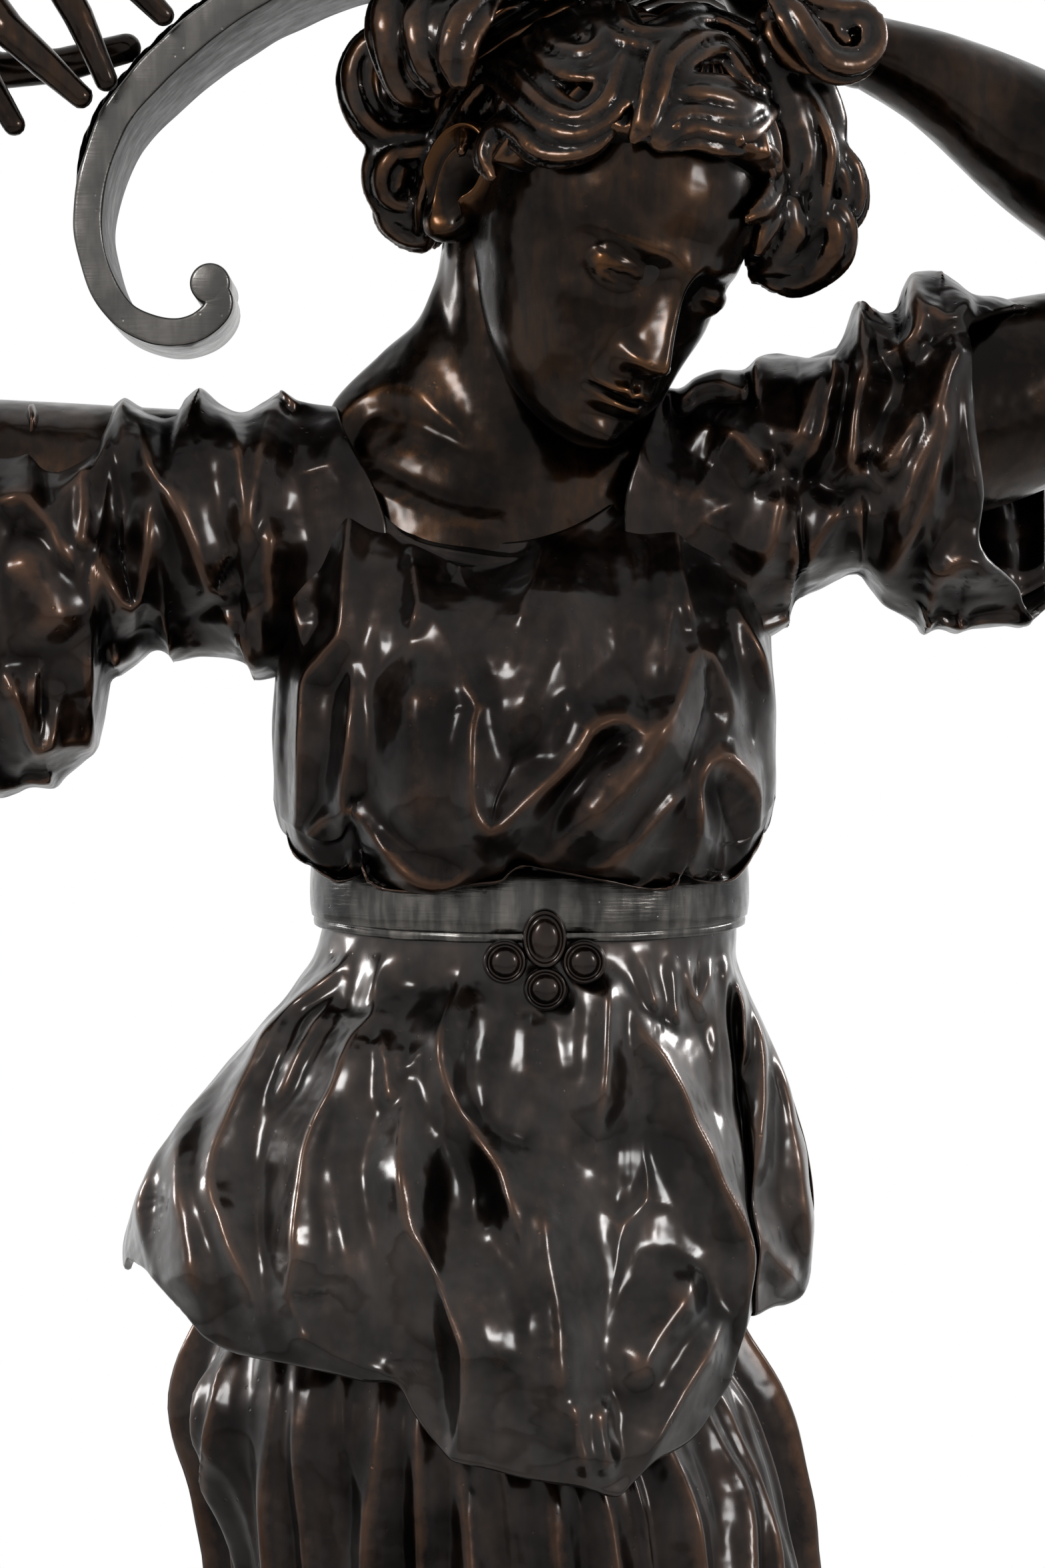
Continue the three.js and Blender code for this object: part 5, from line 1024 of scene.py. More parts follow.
# Locks that hang clear of the head: half width, then x, depth, height
FREE_LOCKS = [
    (8, [(-41, -30, 1345), (-49, -40, 1351), (-54, -44, 1368), (-54, -40, 1383), (-44, -32, 1388),
        (-30, -20, 1384)]),
    (7.5, [(-36, -52, 1346), (-40, -56, 1358), (-41, -54, 1372), (-36, -44, 1385), (-24, -30, 1392)]),
    (7.5, [(-26, -62, 1348), (-27, -64, 1360), (-24, -60, 1374), (-18, -50, 1386), (-8, -38, 1394)]),
    (6.5, [(-40, -20, 1372), (-52, -16, 1372), (-64, -12, 1370), (-70, -10, 1360), (-69, -10, 1346),
        (-62, -10, 1334), (-50, -10, 1328), (-40, -8, 1330)]),
    (6, [(-44, -8, 1362), (-56, -6, 1358), (-60, -6, 1348), (-54, -6, 1340), (-46, -4, 1342)]),
    (7, [(-34, -10, 1332), (-44, -12, 1328), (-54, -10, 1325), (-59, -10, 1316), (-57, -8, 1306),
        (-49, -6, 1303), (-40, -4, 1306)]),
    (6, [(-50, -6, 1308), (-57, -4, 1303), (-53, -2, 1295), (-46, 0, 1290), (-38, 2, 1291)]),
    (6.5, [(106, -52, 1384), (113, -56, 1376), (120, -58, 1366), (128, -56, 1358), (138, -52, 1358),
        (145, -48, 1365), (145, -46, 1374), (138, -46, 1377), (133, -48, 1371), (136, -50, 1366)]),
    (6, [(112, -44, 1392), (122, -46, 1384), (132, -46, 1380), (142, -44, 1378), (148, -42, 1370)]),
    (6.5, [(118, -34, 1330), (128, -34, 1322), (136, -32, 1312), (139, -30, 1302), (136, -28, 1294),
        (129, -26, 1290)]),
    (6.5, [(124, -36, 1300), (132, -36, 1292), (131, -34, 1281), (123, -32, 1272), (113, -30, 1268),
        (105, -30, 1273)]),
    (5.5, [(116, -30, 1312), (124, -28, 1304), (124, -28, 1294), (116, -28, 1286)]),
    (12, [(-36, 2, 1372), (-50, 4, 1366), (-54, 4, 1350), (-46, 4, 1336), (-34, 4, 1330)]),
    (10, [(-30, 4, 1324), (-44, 6, 1320), (-46, 6, 1306), (-36, 6, 1296)]),
    (13, [(96, -34, 1368), (112, -34, 1350), (118, -32, 1326), (114, -30, 1304), (104, -28, 1286)]),
    (10, [(104, -40, 1378), (118, -42, 1366), (130, -40, 1366), (134, -40, 1374)]),
    (12, [(114, -36, 1306), (108, -34, 1288), (98, -30, 1276)]),
    (9, [(122, -32, 1290), (112, -30, 1276), (98, -28, 1270)]),
    (11, [(-22, -14, 1378), (-34, -8, 1366), (-38, -2, 1350)]),
]
CURLS = ("crown_curl_left", "nape_curl_upper", "nape_curl_lower", "temple_curl_right", "crown_curl_right")
# Locks round the back of the head: half width, then turn and rise in degrees seen from its middle
BACK_LOCKS = [
    (
        11,
        [(104 + 19 * k, 62), (114 + 17 * k, 30), (106 + 18 * k, 6), (116 + 17 * k, -14), (110 + 17 * k, -28)],
    )
    for k in range(8)
]


def hair_depth(x, z):
    """Depth of the front of the hair's egg at a place on the drawing plane, by the quadratic in y."""
    turned = HEAD_MATRIX / np.array(HAIR_HALF)
    quad = turned @ turned.T
    middle = np.array(HEAD_PLACE) + HEAD_MATRIX @ np.array((0, 4, 0))
    depth = np.full(x.shape, -70.0)
    for _ in range(3):
        share = (EYE_DISTANCE + depth) / EYE_DISTANCE
        dx, dz = x * share - middle[0], unseen_height(z, depth) - middle[2]
        b = quad[0, 1] * dx + quad[1, 2] * dz
        c = quad[0, 0] * dx**2 + 2 * quad[0, 2] * dx * dz + quad[2, 2] * dz**2 - 1
        inside = np.maximum(b**2 - quad[1, 1] * c, 0)
        depth = middle[1] + (-b - np.sqrt(inside)) / quad[1, 1]
    return depth


def outward(line):
    """Way out of the head at the points of a lock."""
    return unit(line - np.array(HEAD_PLACE))


def free_outward(line):
    """Way out of a lock that hangs clear of the head: mostly towards the eye."""
    return outward(line) * 0.4 + np.array((0, -1, 0))


def lock_frame(path, half_width, way_out, seed):
    """One lock as points 2 mm apart: place, way across, way out, half width, strands and their slow twist."""
    random = np.random.default_rng(seed)
    fine = smooth_line(path, 2.0)
    run = np.linspace(0, 1, len(fine))
    way = unit(np.gradient(fine, axis=0))
    out = way_out(fine)
    across = unit(np.cross(way, out))
    out = np.cross(across, way)
    size = half_width * np.interp(run, [0, 0.12, 0.45, 0.85, 1], [0.5, 0.85, 1.05, 0.75, 0.3])
    strands = random.integers(4, 7)
    twist = random.uniform(0, TURN) + 1.5 * np.sin(2.8 * run + random.uniform(0, TURN))
    return fine, across, out, size, strands, twist


def lock_distance(points, lock):
    """Distance to a lock: sqrt((u / 1.4)^2 + (v / 0.95)^2), less its half width * (0.72 + 0.4 |cos|^0.7)."""
    line, across, out, size, strands, twist = lock
    nearest = np.argmin((line**2).sum(-1) - 2 * points @ line.T, axis=1)
    way = np.gradient(line, axis=0)
    along = ((points - line[nearest]) * way[nearest]).sum(-1) / (way[nearest] ** 2).sum(-1)
    at = np.clip(nearest + along, 0, len(line) - 1.001)
    low, share = at.astype(int), (at - at.astype(int))[:, None]

    def between(values):
        return values[low] * (1 - share) + values[low + 1] * share

    across, out = unit(between(across)), unit(between(out))
    size, twist = between(np.column_stack([size, twist])).T
    off = points - between(line)
    side, rise = (off * across).sum(-1), (off * out).sum(-1)
    rest = ((off - side[:, None] * across - rise[:, None] * out) ** 2).sum(-1)
    u, v = side / 1.4, rise / 0.95
    ridges = np.abs(np.cos(strands / 2 * np.arctan2(v, u) + twist))
    return np.sqrt(u * u + v * v + rest) - size * (0.72 + 0.4 * ridges**0.7)


def relief_of_mesh(points, quads, times, reach):
    """How far each point stands over the surface evened out by averaging with its neighbours, -1 to 1."""
    before = np.roll(quads, 1, 1)
    here = np.concatenate([quads, before]).ravel()
    there = np.concatenate([before, quads]).ravel()

    def gathered(places, values):
        return np.stack([np.bincount(places, row, len(points)) for row in values.T], -1)

    count = np.bincount(here, minlength=len(points))[:, None]
    even = points
    for _ in range(times):
        even = gathered(here, even[there]) / count
    a, b, c = (points[quads[:, k]] for k in range(3))
    normals = gathered(quads.ravel(), np.repeat(np.cross(b - a, c - a), 4, axis=0))
    return np.clip(((points - even) * unit(normals)).sum(-1) / reach, -1, 1)


def build_locks(sizes):
    """All locks as one surface: on the front of the hair's egg, hanging free, and round the back.

    The locks are joined by the soft minimum -k log(sum exp(-d / k)).
    """
    locks = []
    for number, (half_width, lift, drawn) in enumerate(FRONT_LOCKS):
        drawn = smooth_line(drawn, 3)
        depth = hair_depth(drawn[:, 0], drawn[:, 1]) - lift
        share = (EYE_DISTANCE + depth) / EYE_DISTANCE
        path = np.column_stack([drawn[:, 0] * share, depth, unseen_height(drawn[:, 1], depth)])
        locks.append(lock_frame(path, half_width * sizes.lock_width, outward, 100 + number))
    for number, (half_width, path) in enumerate(FREE_LOCKS):
        path = np.array(path, float)
        locks.append(lock_frame(path, half_width * sizes.lock_width, free_outward, 200 + number))
    for number, (half_width, angles) in enumerate(BACK_LOCKS):
        turn, rise = np.radians(np.array(angles, float)).T
        ways = np.stack([np.sin(turn) * np.cos(rise), -np.cos(turn) * np.cos(rise), np.sin(rise)], axis=-1)
        path = from_head(ways * np.array(HAIR_HALF) * 0.99 + np.array((0, 4, 0)))
        locks.append(lock_frame(path, half_width * sizes.lock_width, outward, 300 + number))
    every = np.concatenate([lock[0] for lock in locks])

    def distance(points):
        total = np.full(len(points), 1e-9)
        for lock in locks:
            reach = 1.6 * lock[3].max() + 4
            low, high = lock[0].min(0) - reach, lock[0].max(0) + reach
            near = np.nonzero(((points > low) & (points < high)).all(axis=1))[0]
            total[near] += np.exp(-np.clip(lock_distance(points[near], lock), -12, 22) / LOCK_BLEND)
        return -LOCK_BLEND * np.log(total)

    points, quads = surface_of(distance, every.min(0) - 26, every.max(0) + 26)
    relief = relief_of_mesh(points, quads, 8, 1.3)
    return mesh_of("hair_locks", points, quads, relief=relief)


def build_cap():
    """Hair cap: the plain head thickened where hair grows, with strands that wave from the crown down."""
    turn = even_turns(340)
    slant = np.linspace(0.02, np.pi - 0.5, 150)[:, None]
    plain = head_grid(turn, slant)
    x, y, z = (plain[..., axis] for axis in range(3))
    edge = -16 - 50 * np.clip((z - 12) / 48, 0, 1) ** 1.4 + 58 * smooth((14 - z) / 14)
    grown = smooth((y - edge) / 9) * smooth((z + 46 - 0.25 * np.maximum(-y, 0)) / 8)
    grown = np.where(z > 60, 1, grown)
    grown = grown * (1 - smooth(1.6 - np.hypot((y - 27) / 19, (z + 8) / 27)))
    sway = turn + 0.16 * np.sin(3.4 * slant + 2 * turn) + 0.05 * np.sin(9 * slant)
    strands = 2.6 * np.abs(np.sin(15 * sway)) + 0.8 * np.sin(61 * sway + 1.3)
    strands = strands + 1.8 * np.sin(9 * slant + 3 * turn)
    inside = smooth(grown * 2 - 1)
    thick = -3 + grown * (11 + inside * strands * np.minimum(1, 2.2 * np.sin(slant)))
    grid = from_head(plain + grid_normals(plain) * thick[..., None])
    return filled_piece("hair_cap_cast", grid, 3)


def build_topknot():
    """Topknot: an egg of hair that rises to the pad, wound with strands: cos(7 turn - 4 height)."""
    turn = even_turns(260)
    run = np.linspace(0, 1, 70)[:, None]
    radius = np.interp(run, [0, 0.3, 0.7, 0.93, 1], [27, 44, 46, 40, 34])
    wound = 7 * (turn - 2.2 * run)
    radius = radius + 2.6 * np.cos(wound) + 1.0 * np.cos(3 * wound + 1)
    return filled_piece("topknot_cast", rings(9, 9, radius, radius, turn, 1330 + 57.5 * run))


# Limbs: stops of x, depth, height, radius across, radius in depth
RIGHT_ARM = [
    (-96, 2, 1172, 40, 40), (-160, 2, 1175, 41, 40), (-250, 4, 1184, 38, 37), (-312, 8, 1196, 34, 34),
    (-336, 8, 1224, 33, 33), (-324, 2, 1268, 32, 31), (-304, -6, 1328, 24, 26), (-290, -12, 1376, 16, 21),
]
LEFT_ARM = [
    (100, 6, 1184, 41, 41), (150, 14, 1202, 43, 42), (208, 30, 1221, 43, 42), (262, 44, 1240, 37, 38),
    (290, 46, 1266, 34, 35), (276, 42, 1298, 35, 34), (226, 36, 1332, 31, 31), (182, 32, 1360, 22, 25),
    (146, 30, 1375, 15, 21),
]


def limb_grid(stops, count, around, swell=0.0):
    """A limb: ellipses square to a smooth path through the stops, with a slow swell of the muscle."""
    stops = np.array(stops, float)
    fine = smooth_line(stops, 3)
    steps = np.linalg.norm(np.diff(fine[:, :3], axis=0), axis=1)
    run = np.concatenate([[0], np.cumsum(steps)])
    at = np.linspace(0, run[-1], count)
    line = np.stack([np.interp(at, run, fine[:, k]) for k in range(5)], axis=-1)
    centre, across_size, deep_size = line[:, :3], line[:, 3], line[:, 4]
    way = unit(np.gradient(centre, axis=0))
    across = unit(np.cross(way, np.array((0, 1.0, 0))))
    deep = unit(np.cross(across, way))
    turn = even_turns(around)
    size = 1 + swell * np.cos(2 * turn + 5 * at[:, None] / run[-1])
    return (
        centre[:, None]
        + (across_size[:, None] * np.cos(turn) * size)[..., None] * across[:, None]
        + (deep_size[:, None] * np.sin(turn) * size)[..., None] * deep[:, None]
    )


def build_arms():
    """Both arms, as filled limbs."""
    made = []
    for name, stops in (("right_arm_cast", RIGHT_ARM), ("left_arm_cast", LEFT_ARM)):
        grid = limb_grid(stops, 170, 120, 0.015)
        grid = grid + grid_normals(grid) * (0.5 * unevenness(grid, 70, 61))[..., None]
        made.append(filled_piece(name, grid))
    return made


# Hands: each bone chain is x, depth, height, radius
RIGHT_HAND = {
    "palm": [(-291, -12, 1374, 17), (-280, -18, 1396, 15), (-262, -26, 1408, 13), (-246, -34, 1411, 11)],
    "edge": [(-289, -6, 1374, 16), (-280, -2, 1392, 14), (-264, -8, 1402, 11), (-250, -14, 1405, 9)],
    "index": [(-250, -48, 1411, 8), (-220, -62, 1417, 7.4), (-182, -64, 1409, 6.8), (-162, -61, 1388, 5.9),
        (-150, -58, 1376, 4.8)],
    "middle": [(-250, -36, 1411, 8), (-224, -58, 1414, 7.6), (-200, -65, 1401, 7.2),
        (-185, -65, 1375, 6.4), (-173, -63, 1348, 4.6)],
    "ring": [(-251, -24, 1409, 7.5), (-236, -50, 1399, 7.6), (-214.5, -62, 1369.5, 7.4),
        (-199, -64, 1355, 6.6), (-184, -63, 1341, 4.8)],
    "little": [(-254, -12, 1404, 7), (-243, -42, 1384, 6.6), (-229, -56, 1359, 6), (-212, -60, 1330, 4.8)],
    "thumb": [(-276, -14, 1392, 11), (-250, -16, 1368, 9.5), (-222, -20, 1358, 7.8),
        (-196, -22, 1360, 7.4), (-168, -24, 1367, 6.4)],
}
LEFT_HAND = {
    "palm": [(147, 30, 1374, 16), (130, 24, 1382, 14), (114, 18, 1388, 12), (98, 16, 1394, 10)],
    "edge": [(147, 34, 1375, 15), (130, 42, 1384, 12), (114, 48, 1390, 10), (102, 52, 1392, 8)],
    "index": [(100, 12, 1395, 8), (84, 8, 1403, 7.2), (64, 8, 1402, 6.2), (48, 10, 1396, 5.2)],
    "middle": [(99, 26, 1396, 8), (80, 24, 1405, 7.2), (60, 24, 1404, 6.2), (42, 26, 1398, 5.2)],
    "ring": [(100, 40, 1395, 7.4), (82, 40, 1403, 6.8), (62, 40, 1402, 6), (46, 42, 1396, 5)],
    "little": [(103, 52, 1391, 6.8), (88, 55, 1398, 6), (72, 56, 1398, 5.2), (58, 58, 1392, 4.6)],
    "thumb": [(126, 14, 1382, 11), (116, -4, 1392, 8.6), (108, -18, 1400, 7.2), (100, -32, 1406, 5.8)],
}


def hand_distance(points, chains):
    """Distance to a hand: tapered bone chains joined by the soft minimum -k log(sum exp(-d / k))."""
    total = np.zeros(len(points))
    for chain in chains.values():
        nearest = np.full(len(points), 1e3)
        for start, end in zip(np.array(chain[:-1], float), np.array(chain[1:], float)):
            way = end[:3] - start[:3]
            t = np.clip((points - start[:3]) @ way / (way @ way), 0, 1)
            gap = np.linalg.norm(points - start[:3] - t[:, None] * way, axis=1)
            nearest = np.minimum(nearest, gap - (start[3] + t * (end[3] - start[3])))
        total += np.exp(-np.clip(nearest, -30, 60) / BONE_BLEND)
    return -BONE_BLEND * np.log(total)


def bones_piece(name, chains, margin, floor=-math.inf):
    """Object from one surface round bone chains, cut flat at a height."""
    every = np.concatenate([np.array(chain, float) for chain in chains.values()])[:, :3]

    def distance(points):
        return np.maximum(hand_distance(points, chains), floor - points[:, 2])

    return mesh_of(name, *surface_of(distance, every.min(0) - margin, every.max(0) + margin))


def surface_of(distance, low, high):
    """Surface nets: one point per cell that the zero level crosses, one face per crossed lattice edge."""
    axes = [np.arange(a, b + PITCH, PITCH) for a, b in zip(low, high)]
    shape = tuple(len(axis) for axis in axes)
    lattice = np.stack(np.meshgrid(*axes, indexing="ij"), axis=-1).reshape(-1, 3)
    value = distance(lattice).reshape(shape)
    inside = value < 0
    cells = tuple(n - 1 for n in shape)
    corner = [(i, j, k) for i in (0, 1) for j in (0, 1) for k in (0, 1)]

    def part(grid, at):
        return grid[tuple(slice(a, a + n) for a, n in zip(at, cells))]

    count = sum(part(inside, c).astype(int) for c in corner)
    crossed = (count > 0) & (count < 8)
    number = np.full(cells, -1)
    number[crossed] = np.arange(crossed.sum())
    total = np.zeros((*cells, 3))
    weight = np.zeros(cells)
    for a in corner:
        for axis in range(3):
            if a[axis]:
                continue
            b = tuple(a[k] + (k == axis) for k in range(3))
            va, vb = part(value, a), part(value, b)
            cut = (va < 0) != (vb < 0)
            t = np.where(cut, va / np.where(cut, va - vb, 1), 0)
            place = np.array(a, float) + t[..., None] * (np.arange(3) == axis)
            total += np.where(cut[..., None], place, 0)
            weight += cut
    origin = np.stack(np.nonzero(crossed), axis=-1)
    points = (total[crossed] / weight[crossed][:, None] + origin) * PITCH + np.array([a[0] for a in axes])
    faces = []
    for axis in range(3):
        u, v = (axis + 1) % 3, (axis + 2) % 3
        here = [slice(0, n) for n in shape]
        there = [slice(0, n) for n in shape]
        here[axis], there[axis] = slice(0, -1), slice(1, None)
        change = inside[tuple(here)] != inside[tuple(there)]
        where = np.stack(np.nonzero(change), axis=-1)
        keep = (where[:, u] > 0) & (where[:, v] > 0) & (where[:, u] < cells[u]) & (where[:, v] < cells[v])
        where = where[keep]
        ring = []
        for du, dv in ((1, 1), (0, 1), (0, 0), (1, 0)):
            cell = where.copy()
            cell[:, u] -= du
            cell[:, v] -= dv
            ring.append(number[tuple(cell.T)])
        quad = np.stack(ring, axis=-1)
        starts_inside = inside[tuple(where.T)]
        quad[~starts_inside] = quad[~starts_inside][:, ::-1]
        faces.append(quad)
    return points, np.concatenate(faces)


def build_hands():
    """Both hands, each one surface round its bone chains."""
    return [bones_piece("right_hand_cast", RIGHT_HAND, 22), bones_piece("left_hand_cast", LEFT_HAND, 22)]


# Scroll: x, height of the middle line, thickness, depth behind its front plane
SCROLL_FRONT = -50
SCROLL = [
    (-131, 1265, 13, 64), (-127.5, 1256, 12, 64), (-134, 1248, 12, 65), (-144, 1244.5, 12, 66),
    (-156, 1246, 12, 67), (-167.5, 1252, 12, 69), (-176.5, 1265, 12, 73), (-182, 1285.5, 12, 78),
    (-181.5, 1302, 12, 82), (-177, 1320.5, 12.5, 87), (-170, 1336, 13, 92), (-151, 1358, 14, 100),
    (-124, 1380.5, 15, 108), (-92, 1399, 16, 114), (-54, 1412, 17, 118), (-16, 1418, 18, 120),
    (36, 1419, 18, 120), (70, 1422, 17, 116), (102, 1434, 15, 104), (121, 1458, 13, 92),
    (120, 1486, 12, 82), (100, 1502, 12, 76), (80, 1497, 12, 72), (74, 1481, 12, 70), (83, 1470, 13, 70),
]


SCROLL_POINTS = 520


def scroll_line():
    """Even points on the scroll's smooth middle line: place, thickness and depth; and the outward way."""
    fine = smooth_line(np.array(SCROLL, float), 1.5)
    run = np.concatenate([[0], np.cumsum(np.linalg.norm(np.diff(fine[:, :2], axis=0), axis=1))])
    at = np.linspace(0, run[-1], SCROLL_POINTS)
    line = np.stack([np.interp(at, run, fine[:, k]) for k in range(4)], axis=-1)
    way = unit(np.gradient(line[:, :2], axis=0))
    return line, np.column_stack([-way[:, 1], way[:, 0]])


def build_scroll(sizes):
    """Scroll: a rectangle with rounded edges along the middle line, with a round eye at each end."""
    line, out_of = scroll_line()
    edge = sizes.scroll_edge / MM
    corner = np.linspace(0, np.pi / 2, 5)
    ring = []
    for cx, cy, start in ((1, 1, 0), (-1, 1, np.pi / 2), (-1, -1, np.pi), (1, -1, 1.5 * np.pi)):
        for angle in corner + start:
            ring.append((cx, cy, math.cos(angle), math.sin(angle)))
    cx, cy, ex, ey = np.array(ring).T[:, None]
    (x, z, thick, wide), (out_x, out_z) = columns_of(line), columns_of(out_of)
    out = cx * (thick / 2 - edge) + edge * ex
    back = cy * (wide / 2 - edge) + edge * ey
    grid = np.stack([x + out_x * out, SCROLL_FRONT + wide / 2 + back, z + out_z * out], axis=-1)
    grid = grid + grid_normals(grid) * (0.35 * unevenness(grid, 18, 71))[..., None]
    turn = even_turns(64)
    eyes = []
    for cx, cz, _, deep in (SCROLL[0], SCROLL[-1]):
        front = [(0.05, 0), (7, 0), (8, 0.5), (8.5, 1.6)]
        radius, run = columns_of(front + [(wide, deep - back) for wide, back in front[::-1]])
        x, z = cx + radius * np.cos(turn), cz + radius * np.sin(turn)
        eyes.append(np.stack([x, SCROLL_FRONT + run + 0 * turn, z], axis=-1))
    band = joined_piece("scroll_band_cast", [grid, *eyes])
    # Painted shade: the stored relief is lowered on the band's inner side, which faces down and away, so that
    # the finish paints that side darker
    normals = grid_normals(grid)
    inward = -(normals[..., 0] * out_x + normals[..., 2] * out_z)
    relief_and_shade = np.zeros(len(band.data.vertices))
    relief = band.data.attributes["relief"].data
    relief.foreach_get("value", relief_and_shade)
    relief_and_shade[: inward.size] -= 0.9 * smooth((inward.ravel() - 0.5) / 0.3)
    relief.foreach_set("value", relief_and_shade)
    return band


def build_leaves():
    """Leaf trail: overlapping leaves along the outer side of the scroll, each with a rib and curled tip."""
    line, out_of = scroll_line()
    grids = []
    turn = even_turns(36)
    for at in range(100, 296, 12):
        run = np.linspace(0, 1, 26)[:, None]
        index = (at + run[:, 0] * 24).astype(int)
        (x, z, thick, deep), (out_x, out_z) = columns_of(line[index]), columns_of(out_of[index])
        wide = 0.47 * deep * np.sin(np.pi * np.clip(run * 0.86 + 0.1, 0, 1)) ** 0.45
        rib = 1 - 0.5 * np.abs(np.sin(turn))
        lift = thick / 2 + 1.2 + 3.4 * run**2 + 1.5 * np.cos(turn) * rib
        ripple = 0.7 * np.cos(9 * run * np.pi + 2 * turn)
        y = SCROLL_FRONT + deep / 2 + (wide + ripple) * np.sin(turn)
        grids.append(np.stack([x + out_x * lift, y, z + out_z * lift], axis=-1))
    return joined_piece("leaf_trail_cast", grids)


# Base. Socle profile: radius, height over the slab
SLAB_TOP = 36
SOCLE_TOP = 98
SOLE = 120
SOCLE_PROFILE = [
    (183, 0), (190, 0), (192, 4), (192, 12), (188, 16), (183, 18), (179.5, 21), (177, 26), (176, 32),
    (176, 38), (178, 42.5), (181, 46), (184, 49), (184, 59), (181, 62), (60, 62), (60, 54), (167, 54),
    (167, 14), (183, 10),
]


GROUND_EDGE = [(170, 0), (175.5, 0), (176, 5), (175, 9), (171, 14), (166, 17), (154, 21.4)]
GROUND_TOP = [(150, 21.6), (110, 22), (60, 22), (2, 22)]


def rounded(profile, size):
    """Closed outline with its corners cut back by the given size and bridged by a parabola's middle."""
    corner = np.array(profile, float)
    before, after = np.roll(corner, 1, 0) - corner, np.roll(corner, -1, 0) - corner
    reach = np.minimum(np.linalg.norm(before, axis=1), np.linalg.norm(after, axis=1)) * 0.4
    reach = np.minimum(reach, size)[:, None]
    start, end = corner + unit(before) * reach, corner + unit(after) * reach
    return np.stack([start, (start + end) / 4 + corner / 2, end], axis=1).reshape(-1, 2)


def turned(name, profile, middle, around, size=0.8, wave=None):
    """Turned piece: a closed outline of radius and height, with rounded corners, round an upright line.

    A wave adds to the radius by height and turn.
    """
    radius, height = columns_of(rounded(profile, size))
    turn = even_turns(around)
    radius = radius + (wave(height, turn) if wave else 0)
    x, y, z = middle
    grid = rings(x, y, radius, radius, turn, z + height)
    relief = relief_of(grid, grid_normals(grid), 3) * 0.6
    return ring_mesh(name, grid, relief)


def build_ground():
    """Ground under her feet: a low mound with an uneven edge and the marks of the modelling tool."""
    turn = even_turns(240)
    radius, height = columns_of(np.concatenate([smooth_line(GROUND_EDGE, 1.2), smooth_line(GROUND_TOP, 4)]))
    radius = radius * (1 + 0.012 * np.sin(5 * turn) + 0.008 * np.cos(9 * turn))
    grid = rings(0, 0, radius, radius, turn, SOCLE_TOP + height)
    rough = 0.9 * unevenness(grid, 34, 81) + 0.5 * unevenness(grid, 12, 82)
    raised = smooth(height / 4) * (0.35 + 0.65 * smooth((radius - 60) / 60))
    grid = grid + grid_normals(grid) * ((rough - 0.9) * raised)[..., None]
    return filled_piece("ground_cast", grid)


# Feet: bone chains of run from the heel, place towards the inner side, height and radius
FOOT = {
    "inner": [(34, 6, 25, 20), (56, 12, 19, 17), (74, 15, 14, 14)],
    "outer": [(34, -6, 22, 20), (54, -12, 15, 15), (68, -16, 12, 12)],
    "big": [(72, 17, 13, 12.5), (88, 18.5, 11.5, 11.5), (103, 16, 10, 9.8)],
    "second": [(74, 4.5, 12, 9.4), (91, 5.5, 12, 8.6), (104, 4.5, 8.6, 7.8)],
    "third": [(71, -5, 11.5, 8.8), (87, -5, 11.5, 8), (99, -6, 8, 7.2)],
    "fourth": [(68, -14, 10.5, 8.2), (82, -14.5, 10.5, 7.4), (92.5, -15.5, 7.6, 6.7)],
    "little": [(62, -22, 9.5, 7.8), (74, -23.5, 9, 7), (84, -24, 7, 6.2)],
}
FEET = (("right_foot_cast", (-52, -40), (-66, -142), 1), ("left_foot_cast", (72, -45), (98, -146), -1))


def build_feet():
    """Both feet: each one surface round its bone chains, cut flat at the ground."""
    made = []
    for name, heel, toe, inner in FEET:
        heel, toe = np.array(heel, float), np.array(toe, float)
        way = unit(toe - heel)
        side = np.array((-way[1], way[0])) * inner
        chains = {}
        for bone, stops in FOOT.items():
            stops = np.array(stops, float)
            flat = heel + stops[:, :1] * way + stops[:, 1:2] * side
            chains[bone] = np.column_stack([flat, SOLE + stops[:, 2], stops[:, 3]])
        made.append(bones_piece(name, chains, 24, SOLE + 0.3))
    return made


# Torch. Outlines: radius, height over the foot of each piece
TORCH_PLACE = (10, 10, 1428.3)
PAD_MIDDLE = (10, 10, 1398)
# Heights of the pieces' seats over the foot
STEM_SEAT, CUP_SEAT, HOLDER_SEAT, GALLERY_SEAT, SHADE_SEAT = 34, 184, 198.3, 234, 236.8
STEM_FOOT = [
    (6.8, -4), (40, -4), (40, 7), (38.5, 9.6), (36, 11), (29, 12.2), (24, 15), (21, 19), (20, 25),
    (22, 26), (25, 28), (25, 34), (6.8, 34),
]
STEM = [
    (6.8, 0), (19, 0), (19, 5), (15.5, 7), (12.6, 11), (11, 16), (11, 22), (13, 32), (18, 44), (21, 53),
    (22, 62), (21.4, 71), (19, 80), (14.6, 92), (12, 104), (10.4, 114), (10, 124), (16, 132), (17, 135),
    (16, 138), (12, 142), (18, 150), (6.8, 150),
]
CUP = [
    (6.8, 0), (22, 0), (23, 4), (26, 8), (33, 14), (44, 26), (51, 37), (55, 48), (57, 57), (58, 66),
    (54, 66), (52.6, 57), (51, 49), (46, 39), (38, 30), (21, 14), (6.8, 14),
]
GALLERY = [(17.3, 0), (50.7, 0), (50.7, 2.5), (49.5, 4.5), (49.5, 34), (47, 34), (47, 2.5), (17.3, 2.5)]
HOLDER = [(6.8, 0), (14, 0), (17, 4), (17, 46), (14.5, 46), (14.5, 18), (6.8, 18)]
SHADE_ROWS = [
    (0, 43), (15, 43), (30, 43), (38, 45), (48, 53), (62, 65), (80, 71.5), (100, 76), (120, 78.6),
    (140, 81), (155, 85.5), (168, 92),
]


